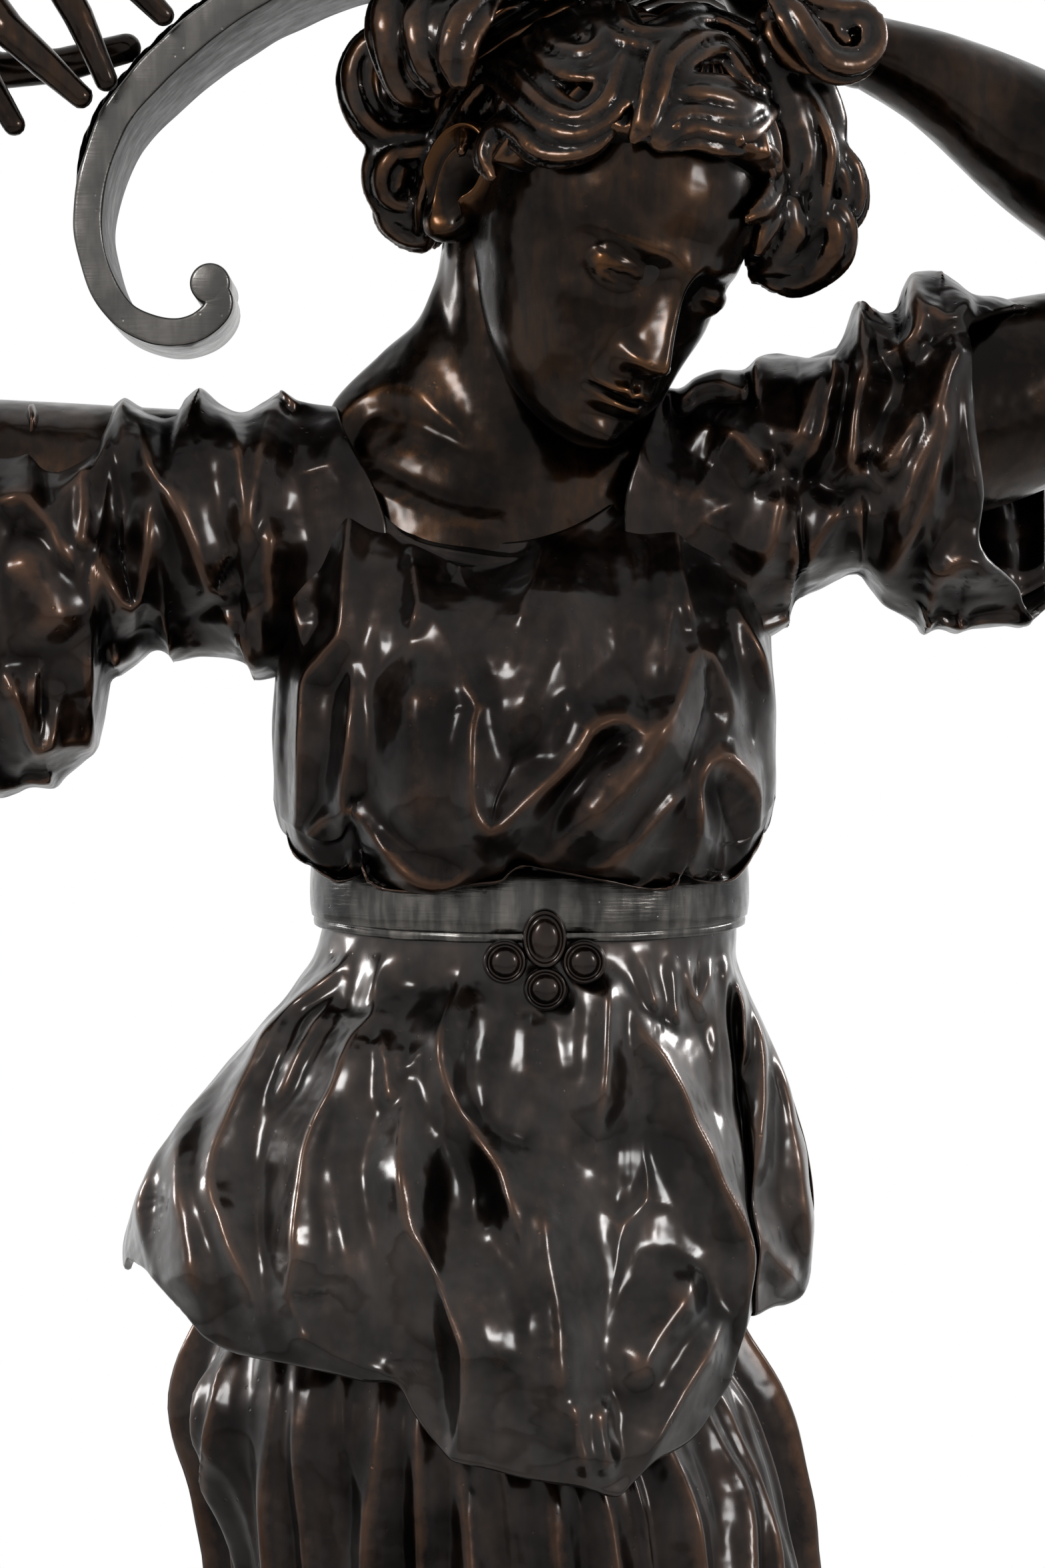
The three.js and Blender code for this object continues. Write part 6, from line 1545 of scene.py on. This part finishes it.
def build_pad():
    """Carrying pad: a ring wound from cloth, (1 + 0.1 cos(3 section - 16 turn)) of its round section."""
    turn = even_turns(260)
    section = np.linspace(0, TURN, 56, endpoint=False)[:, None]
    size = 1 + 0.1 * np.cos(3 * section - 16 * turn) + 0.03 * np.cos(12 * section - 64 * turn)
    radius = 30 + 12.4 * size * np.cos(section)
    x, y, z = PAD_MIDDLE
    return ring_mesh("pad_cast", rings(x, y, radius, radius, turn, z + 9 * size * np.sin(section)))


def flutes(height, turn):
    """Wave of the stem's fourteen flutes, widest at its belly."""
    return 0.7 * np.cos(14 * turn) * bump(height - 56, 0, 28, 1)


def gadroons(height, turn):
    """Wave of the cup's eighteen gadroons, which only its outside has: corners 2 to 8, three rows each."""
    corner = np.arange(len(height))[:, None] // 3
    outside = (corner >= 2) & (corner <= 8)
    return 1.5 * (np.abs(np.cos(9 * turn)) - 0.6) * bump(height - 26, 0, 13, 1) * outside


def build_torch():
    """Torch: foot, fluted stem, cup with gadroons, gallery and lamp holder, all turned on one line."""
    x, y, z = TORCH_PLACE
    return [
        turned("stem_foot_cast", STEM_FOOT, (x, y, z), 120),
        turned("stem_cast", STEM, (x, y, z + STEM_SEAT), 140, 0.8, flutes),
        turned("torch_cup_cast", CUP, (x, y, z + CUP_SEAT), 216, 0.8, gadroons),
        turned("gallery_ring", GALLERY, (x, y, z + GALLERY_SEAT), 120, 0.5),
        turned("lamp_holder_shell", HOLDER, (x, y, z + HOLDER_SEAT), 80, 0.5),
    ]


def build_shade():
    """Shade: an open glass torch of twelve lobes, whose depth grows from the neck to the wavy rim."""
    turn = even_turns(288)
    height = np.linspace(0, 168, 84)[:, None]
    radius = edge_at(SHADE_ROWS, height)
    wave = 3.5 * np.maximum(0, (height - 62) / 106) * np.cos(12 * turn)
    x, y, z = TORCH_PLACE
    outer = rings(x, y, radius + wave, radius + wave, turn, z + SHADE_SEAT + height + wave)
    return shell_piece("shade_glass", outer, outer, 1.2, 84)


def add(tree, kind, settings):
    """Adds one node. Each setting is a property, the value of an input, or the output linked to an input."""
    node = tree.nodes.new("ShaderNode" + kind)
    for name, value in settings.items():
        if isinstance(value, bpy.types.NodeSocket):
            tree.links.new(value, node.inputs[name])
        elif isinstance(name, str) and hasattr(node, name):
            setattr(node, name, value)
        else:
            node.inputs[name].default_value = value
    return node


def object_place(tree):
    """Output of the place on the object, in metres."""
    return add(tree, "TexCoord", {}).outputs["Object"]


def noise(tree, place, scale, detail, roughness=0.5):
    """Output of a noise that runs about 0 to 1 and changes over 1 / scale of a metre."""
    values = {"Scale": scale, "Detail": detail, "Roughness": roughness}
    return add(tree, "TexNoise", {"Vector": place, **values}).outputs["Fac"]


def stretched(tree, place, scale):
    """Output of the place scaled along each axis."""
    return add(tree, "Mapping", {"Vector": place, "Scale": scale}).outputs[0]


def reckoned(tree, operation, *values):
    """Output of one sum of the given values."""
    return add(tree, "Math", {"operation": operation, **dict(enumerate(values))}).outputs[0]


def ranged(tree, value, low, high, to_low=0.0, to_high=1.0):
    """Output that runs from one level to another while a value runs from low to high."""
    levels = {"From Min": low, "From Max": high, "To Min": to_low, "To Max": to_high}
    return add(tree, "MapRange", {"Value": value, **levels}).outputs[0]


def mixed(tree, share, a, b):
    """Output of two colours mixed: the first at share 0, the second at share 1."""
    return add(tree, "Mix", {"data_type": "RGBA", "Factor": share, "A": a, "B": b}).outputs["Result"]


def raised(tree, height, strength, distance, normal=None):
    """Output of the normal of a surface raised by a height, on top of another normal if one is given."""
    settings = {"Strength": strength, "Distance": distance, "Height": height}
    if normal:
        settings["Normal"] = normal
    return add(tree, "Bump", settings).outputs["Normal"]


def new_material(name):
    """Empty node material: its tree and its shader, which is linked to its output."""
    material = bpy.data.materials.new(name)
    material.use_nodes = True
    tree = material.node_tree
    tree.nodes.clear()
    shader = add(tree, "BsdfPrincipled", {})
    add(tree, "OutputMaterial", {"Surface": shader.outputs["BSDF"]})
    return tree, shader


def patina(name, dark, worn, roughness, wear, cloudy=0.12, brushed=0.0, pits=0.5, coat=0.4):
    """Patinated cast bronze: dark lacquered brown, rubbed to warm metal along ridges, painted darker in
    hollows as shade.

    The casting skin has pits of about 1 mm, and hand polishing leaves soft waves of about 12 mm.
    """
    dark, worn = np.array(dark), np.array(worn)
    tree, shader = new_material(name)
    place = object_place(tree)
    relief = add(tree, "Attribute", {"attribute_name": "relief"}).outputs["Fac"]
    clouds = noise(tree, place, 22, 4, 0.6)
    patches = noise(tree, place, 90, 5, 0.65)
    streaks = noise(tree, stretched(tree, place, (150, 150, 28)), 1, 3, 0.55)
    # Painted shade: where the stored relief is low, in hollows and where it was lowered as shade, the colour
    # darkens, roughness rises and the coat thins
    hollow_shade = ranged(tree, relief, -0.05, -0.8)
    rub = ranged(tree, streaks, 0.42, 0.62, 0.35)

    mottle = reckoned(tree, "MULTIPLY", ranged(tree, clouds, 0.35, 0.68), rub)
    warm = mixed(tree, mottle, (*dark, 1), (*(dark * (1 - cloudy) + worn * cloudy), 1))
    rubbed = ranged(tree, reckoned(tree, "MULTIPLY_ADD", patches, 0.9, relief), 0.62, 1.15, 0, wear)
    ridge = mixed(tree, rubbed, warm, (*worn, 1))
    # Painted shade: hollows take 0.45 of the dark patina colour
    deep = mixed(tree, hollow_shade, ridge, (*(dark * 0.45), 1))
    tree.links.new(deep, shader.inputs["Base Color"])
    shader.inputs["Metallic"].default_value = 1.0

    gloss = ranged(tree, patches, 0.3, 0.7, roughness - 0.07, roughness + 0.1)
    waxed = reckoned(tree, "MULTIPLY_ADD", rub, 0.06, gloss)
    tree.links.new(reckoned(tree, "MULTIPLY_ADD", hollow_shade, 0.14, waxed), shader.inputs["Roughness"])
    wax = ranged(tree, clouds, 0.35, 0.65, 0.5 * coat, 1.2 * coat)
    # Painted shade on the coat: it thins to 0.15 of its weight in hollows, so that they reflect less
    coat_shade = ranged(tree, hollow_shade, 0, 1, 1, 0.15)
    tree.links.new(reckoned(tree, "MULTIPLY", wax, coat_shade), shader.inputs["Coat Weight"])
    shader.inputs["Coat Roughness"].default_value = 0.17

    waves = raised(tree, noise(tree, place, 80, 1), 0.5, 0.0016)
    skin = raised(tree, noise(tree, place, 900, 2), 0.1, 0.0003, waves)
    cells = add(tree, "TexVoronoi", {"Vector": place, "Scale": 130, "Randomness": 1}).outputs["Distance"]
    last = raised(tree, ranged(tree, cells, 0.05, 0.13), pits, 0.0004, skin)
    if brushed:
        lines = noise(tree, stretched(tree, place, (60, 60, 900)), 1, 3)
        last = raised(tree, lines, brushed, 0.0004, last)
    tree.links.new(last, shader.inputs["Normal"])
    tree.links.new(waves, shader.inputs["Coat Normal"])


def plain_metal(name, code, roughness, grain_scale, grain_depth):
    """Turned or plated metal: one colour, with tool marks of the given scale in bump and roughness."""
    tree, shader = new_material(name)
    place = object_place(tree)
    spots = noise(tree, place, 120, 5)
    colour = np.array(colour_of(code))
    tree.links.new(mixed(tree, spots, (*colour, 1), (*(colour * 0.55), 1)), shader.inputs["Base Color"])
    shader.inputs["Metallic"].default_value = 1.0
    gloss = ranged(tree, spots, 0, 1, roughness - 0.08, roughness + 0.14)
    tree.links.new(gloss, shader.inputs["Roughness"])
    marks = raised(tree, noise(tree, place, grain_scale, 4), grain_depth, 0.0003)
    tree.links.new(marks, shader.inputs["Normal"])


def glass(name, code, roughness, clearness):
    """Glass of one colour: its tree and its shader."""
    tree, shader = new_material(name)
    shader.inputs["Base Color"].default_value = (*colour_of(code), 1)
    shader.inputs["Roughness"].default_value = roughness
    shader.inputs["Transmission Weight"].default_value = clearness
    return tree, shader


def build_materials(colours):
    """All finishes of the torchere."""
    c = colours
    cast, grey = "cast patinated bronze, ", "brushed grey bronze, "
    patina(cast + "dress", c.dress, c.dress_worn, 0.32, 0.55, cloudy=0.2, coat=0.42)
    patina(cast + "overfold", c.overfold, c.dress_worn, 0.3, 0.55, cloudy=0.26, coat=0.78)
    patina(cast + "skin", c.skin, c.skin_worn, 0.24, 0.35, cloudy=0.16, pits=0.2, coat=0.32)
    patina(cast + "hair", c.hair, c.hair_worn, 0.26, 0.5, cloudy=0.1, pits=0.2, coat=0.48)
    patina(grey + "scroll", c.scroll, c.scroll_worn, 0.3, 0.5, cloudy=0.5, brushed=0.35, coat=0.5)
    patina(grey + "belt", c.belt, c.belt_worn, 0.2, 0.5, cloudy=0.5, brushed=0.5, coat=0.5)
    patina(cast + "base", c.base, c.base_worn, 0.32, 0.6)
    plain_metal("aged turned brass", "#a8834a", 0.32, 500, 0.15)
    plain_metal("zinc plated steel", "#9a9c9e", 0.38, 700, 0.1)

    tree, shader = new_material("polished black marble")
    bend = {"Vector": object_place(tree), "Scale": 9, "Detail": 6, "Distortion": 1.6}
    bend = add(tree, "TexNoise", bend).outputs["Fac"]
    away = reckoned(tree, "ABSOLUTE", reckoned(tree, "SUBTRACT", bend, 0.52))
    vein, stone = ((*colour_of(code), 1) for code in ("#8d8880", "#242322"))
    tree.links.new(mixed(tree, ranged(tree, away, 0, 0.018), vein, stone), shader.inputs["Base Color"])
    shader.inputs["Roughness"].default_value = 0.16

    tree, shader = glass("acid etched glass", "#f4ecda", 0.55, 0.75)
    frost = raised(tree, noise(tree, object_place(tree), 1200, 2), 0.15, 0.0002)
    tree.links.new(frost, shader.inputs["Normal"])
    glass("clear bulb glass", "#fbf8f0", 0.03, 1.0)


SLOT_FINISH = {
    "bronze": "cast patinated bronze, base", "skin_bronze": "cast patinated bronze, skin",
    "scroll_bronze": "brushed grey bronze, scroll", "stone": "polished black marble",
    "steel": "zinc plated steel", "brass": "aged turned brass", "frosted_glass": "acid etched glass",
    "clear_glass": "clear bulb glass",
}


def dress_nodes():
    """Gives every node that still shows the finish of its material slot."""
    for row in frame["record"]["subparts"]:
        node = frame["nodes"][row["node"]]
        node.data.materials.clear()
        node.data.materials.append(bpy.data.materials[SLOT_FINISH[row["material_slot"]]])


def build_stage(lights):
    """Pale floor, white surroundings for camera, mirror and glass rays, four soft lamps and the camera."""
    scene = bpy.context.scene
    scene.view_settings.view_transform = "Standard"
    half = 3000
    corners = np.array([(-half, -half, 0), (half, -half, 0), (half, half, 0), (-half, half, 0)], float)
    mesh = bpy.data.meshes.new("floor")
    mesh.from_pydata((corners * MM).tolist(), [], [(0, 1, 2, 3)])
    floor = bpy.data.objects.new("floor", mesh)
    scene.collection.objects.link(floor)
    tree, shader = new_material("pale studio floor")
    shader.inputs["Base Color"].default_value = (*colour_of("#f0efed"), 1)
    shader.inputs["Roughness"].default_value = 0.8
    mesh.materials.append(bpy.data.materials["pale studio floor"])
    world = bpy.data.worlds.new("studio")
    world.use_nodes = True
    scene.world = world
    tree = world.node_tree
    tree.nodes.clear()
    ray = add(tree, "LightPath", {}).outputs
    straight = reckoned(tree, "MAXIMUM", ray["Is Camera Ray"], ray["Is Glossy Ray"])
    straight = reckoned(tree, "MAXIMUM", straight, ray["Is Transmission Ray"])
    level = ranged(tree, straight, 0, 1, lights.ambient, 1)
    sky = add(tree, "Background", {"Color": (1, 1, 1, 1), "Strength": level})
    add(tree, "OutputWorld", {"Surface": sky.outputs[0]})
    for name, place, target, size, power in (
        ("key softbox", (-1.5, -1.7, 2.3), (0, 0, 1.1), 0.5, lights.key),
        ("fill softbox", (1.9, -1.5, 1.7), (0, 0, 1.05), 0.45, lights.fill),
        ("left edge strip", (-1.9, 0.6, 1.5), (0, 0, 1.1), 0.45, lights.edge),
        ("right edge strip", (1.8, 0.9, 1.9), (0, 0, 1.15), 0.45, lights.edge),
    ):
        data = bpy.data.lights.new(name, "AREA")
        data.size = size
        data.energy = power
        lamp = bpy.data.objects.new(name, data)
        way = np.array(target) - np.array(place)
        lamp.location = place
        lamp.rotation_mode = "QUATERNION"
        lamp.rotation_quaternion = Vector(way.tolist()).to_track_quat("-Z", "Y")
        scene.collection.objects.link(lamp)
    data = bpy.data.cameras.new("camera")
    data.sensor_width = 36
    data.lens = EYE_LENS
    camera = bpy.data.objects.new("camera", data)
    camera.location = (0, -EYE_DISTANCE * MM, EYE_HEIGHT * MM)
    camera.rotation_euler = (math.pi / 2, 0, 0)
    scene.collection.objects.link(camera)
    scene.camera = camera


def ratio(name, description, default, least, most):
    """Property of a plain share."""
    return bpy.props.FloatProperty(
        name=name, description=description + ", as a share", default=default, min=least, max=most
    )


class FigureSizes(bpy.types.PropertyGroup):
    """Sizes of the figure that a maker may change."""

    fold_depth: ratio("Fold depth", "How deep the folds of the dress are", 1.9, 0.2, 3)
    fold_spread: ratio("Fold spread", "How wide the folds fall off", 1.5, 0.5, 3)
    lock_width: ratio("Lock width", "Width of the hair locks", 1.0, 0.5, 1.5)
    scroll_edge: bpy.props.FloatProperty(
        name="Scroll edge", description="Rounding of the scroll's long edges", default=0.0016, unit="LENGTH"
    )


def tint(name, description, code):
    """Colour property with an sRGB hex default."""
    return bpy.props.FloatVectorProperty(
        name=name, description=description, default=colour_of(code), subtype="COLOR", min=0, max=1
    )


class FinishColours(bpy.types.PropertyGroup):
    """Colours of the patinas: as they cover the bronze, and where hands and cloths have worn them."""

    dress: tint("Dress", "Patina of the bodice and sleeves", "#0a0605")
    dress_worn: tint("Dress, worn", "Ridges of the dress", "#4a3324")
    overfold: tint("Overfold", "Patina of the overfold and the skirt", "#0d0907")
    skin: tint("Skin", "Patina of the face, arms and feet", "#090503")
    skin_worn: tint("Skin, worn", "Warm places of the skin", "#6b431d")
    hair: tint("Hair", "Patina of the hair", "#080504")
    hair_worn: tint("Hair, worn", "Ridges of the locks", "#5a3a20")
    scroll: tint("Scroll", "Brushed grey bronze of the scroll", "#464442")
    scroll_worn: tint("Scroll, worn", "Rubbed places of the scroll", "#807c78")
    belt: tint("Belt", "Brushed grey bronze of the belt", "#0d0c0c")
    belt_worn: tint("Belt, worn", "Rubbed places of the belt", "#88837d")
    base: tint("Base", "Patina of the socle, the ground and the torch", "#0e0907")
    base_worn: tint("Base, worn", "Rubbed edges of the base", "#55351e")


def lamp_power(name, description, watts):
    """Property of a lamp's power."""
    return bpy.props.FloatProperty(name=name, description=description, default=watts, unit="POWER")


class StageLights(bpy.types.PropertyGroup):
    """Levels of the studio's lamps."""

    ambient: bpy.props.FloatProperty(name="Ambient", description="Strength of the soft light", default=0.3)
    key: lamp_power("Key", "Power of the key softbox", 35.0)
    fill: lamp_power("Fill", "Power of the fill softbox", 24.0)
    edge: lamp_power("Edges", "Power of each edge strip", 20.0)


class TORCHERE_OT_finishes(bpy.types.Operator):
    """Make the finishes and give them to the nodes of the frame"""

    bl_idname = "torchere.finishes"
    bl_label = "Finishes"

    def execute(self, context):
        build_materials(context.scene.torchere_colours)
        dress_nodes()
        return {"FINISHED"}


class TORCHERE_OT_dress(bpy.types.Operator):
    """Build the bodice, the overfold, the skirt and the belt"""

    bl_idname = "torchere.dress"
    bl_label = "Dress"

    def execute(self, context):
        sizes = context.scene.torchere_sizes
        cloth = "cast patinated bronze, dress"
        finish_piece(build_bodice(sizes), cloth, "bronze", "bodice")
        lower_cloth = "cast patinated bronze, overfold"
        finish_piece(build_peplum(sizes), lower_cloth, "bronze", "peplum")
        finish_piece(build_skirt(sizes), cloth, "bronze", "skirt")
        finish_piece(build_belt(), "brushed grey bronze, belt", "bronze", "belt")
        finish_piece(build_rosette(), cloth, "bronze", "belt_rosette")
        return {"FINISHED"}


class TORCHERE_OT_sleeves(bpy.types.Operator):
    """Build both sleeves"""

    bl_idname = "torchere.sleeves"
    bl_label = "Sleeves"

    def execute(self, context):
        sizes = context.scene.torchere_sizes
        cloth = "cast patinated bronze, dress"
        finish_piece(build_right_sleeve(sizes), cloth, "bronze", "right_sleeve")
        finish_piece(build_left_sleeve(sizes), cloth, "bronze", "left_sleeve")
        return {"FINISHED"}


class TORCHERE_OT_head(bpy.types.Operator):
    """Build the neck, the head and the ears"""

    bl_idname = "torchere.head"
    bl_label = "Head and neck"

    def execute(self, context):
        sizes = context.scene.torchere_sizes
        skin = "cast patinated bronze, skin"
        finish_piece(build_neck(sizes), skin, "skin_bronze", "neck_and_chest")
        finish_piece(build_head(), skin, "skin_bronze", "head")
        finish_piece(build_ears(), skin, "skin_bronze")
        return {"FINISHED"}


class TORCHERE_OT_hair(bpy.types.Operator):
    """Build the hair cap, its locks and the topknot"""

    bl_idname = "torchere.hair"
    bl_label = "Hair"

    def execute(self, context):
        sizes = context.scene.torchere_sizes
        hair = "cast patinated bronze, hair"
        finish_piece(build_cap(), hair, "bronze", "hair_cap")
        finish_piece(build_locks(sizes), hair, "bronze", *CURLS)
        finish_piece(build_topknot(), hair, "bronze", "topknot")
        return {"FINISHED"}


class TORCHERE_OT_limbs(bpy.types.Operator):
    """Build the arms and the hands"""

    bl_idname = "torchere.limbs"
    bl_label = "Arms and hands"

    def execute(self, context):
        made = build_arms() + build_hands()
        for thing, node in zip(made, ("right_arm", "left_arm", "right_hand", "left_hand")):
            finish_piece(thing, "cast patinated bronze, skin", "skin_bronze", node)
        return {"FINISHED"}


class TORCHERE_OT_scroll(bpy.types.Operator):
    """Build the scroll and its leaves"""

    bl_idname = "torchere.scroll"
    bl_label = "Scroll"

    def execute(self, context):
        sizes = context.scene.torchere_sizes
        metal = "brushed grey bronze, scroll"
        finish_piece(build_scroll(sizes), metal, "scroll_bronze", "scroll_band")
        finish_piece(build_leaves(), metal, "scroll_bronze", "leaf_trail")
        return {"FINISHED"}


class TORCHERE_OT_base(bpy.types.Operator):
    """Build the socle, the ground and the feet"""

    bl_idname = "torchere.base"
    bl_label = "Base and feet"

    def execute(self, context):
        metal, skin = "cast patinated bronze, base", "cast patinated bronze, skin"
        socle = turned("socle_cast", SOCLE_PROFILE, (0, 0, SLAB_TOP), 300, 1.2)
        finish_piece(socle, metal, "bronze", "socle")
        finish_piece(build_ground(), metal, "bronze", "ground_plate")
        for thing, node in zip(build_feet(), ("right_foot", "left_foot")):
            finish_piece(thing, skin, "skin_bronze", node)
        return {"FINISHED"}


class TORCHERE_OT_torch(bpy.types.Operator):
    """Build the carrying pad, the torch and its shade"""

    bl_idname = "torchere.torch"
    bl_label = "Torch light"

    def execute(self, context):
        metal = "cast patinated bronze, base"
        finish_piece(build_pad(), metal, "bronze", "carrying_pad")
        *cast, gallery, holder = build_torch()
        for thing, node in zip(cast, ("stem_foot", "stem", "torch_cup")):
            finish_piece(thing, metal, "bronze", node)
        finish_piece(gallery, "aged turned brass", "brass", "gallery")
        finish_piece(holder, "aged turned brass", "brass", "lamp_holder")
        finish_piece(build_shade(), "acid etched glass", "frosted_glass", "torch_shade", body="shade")
        return {"FINISHED"}


class TORCHERE_OT_stage(bpy.types.Operator):
    """Make the floor, the surroundings, the lamps and the camera"""

    bl_idname = "torchere.stage"
    bl_label = "Stage"

    def execute(self, context):
        build_stage(context.scene.torchere_lights)
        return {"FINISHED"}


STEPS = (
    TORCHERE_OT_finishes, TORCHERE_OT_dress, TORCHERE_OT_sleeves, TORCHERE_OT_head, TORCHERE_OT_hair,
    TORCHERE_OT_limbs, TORCHERE_OT_scroll, TORCHERE_OT_base, TORCHERE_OT_torch, TORCHERE_OT_stage,
)


class TORCHERE_PT_panel(bpy.types.Panel):
    """Lists the steps that build the torchere"""

    bl_idname = "TORCHERE_PT_panel"
    bl_label = "Torchere"
    bl_space_type = "VIEW_3D"
    bl_region_type = "UI"
    bl_category = "Torchere"

    def draw(self, context):
        layout = self.layout
        for step in STEPS:
            layout.operator(step.bl_idname)
        for name in ("fold_depth", "fold_spread", "lock_width", "scroll_edge"):
            layout.prop(context.scene.torchere_sizes, name)
        for name in FinishColours.__annotations__:
            layout.prop(context.scene.torchere_colours, name)
        for name in ("ambient", "key", "fill", "edge"):
            layout.prop(context.scene.torchere_lights, name)


CLASSES = (FigureSizes, FinishColours, StageLights, *STEPS, TORCHERE_PT_panel)


def register():
    """Adds the classes and the three groups of settings."""
    for kind in CLASSES:
        bpy.utils.register_class(kind)
    bpy.types.Scene.torchere_sizes = bpy.props.PointerProperty(type=FigureSizes)
    bpy.types.Scene.torchere_colours = bpy.props.PointerProperty(type=FinishColours)
    bpy.types.Scene.torchere_lights = bpy.props.PointerProperty(type=StageLights)


def unregister():
    """Takes them away again."""
    del bpy.types.Scene.torchere_lights
    del bpy.types.Scene.torchere_colours
    del bpy.types.Scene.torchere_sizes
    for kind in reversed(CLASSES):
        bpy.utils.unregister_class(kind)


def main():
    """Registers the classes and runs every step in order."""
    register()
    for step in STEPS:
        group, name = step.bl_idname.split(".")
        getattr(getattr(bpy.ops, group), name)()


if __name__ == "__main__":
    main()
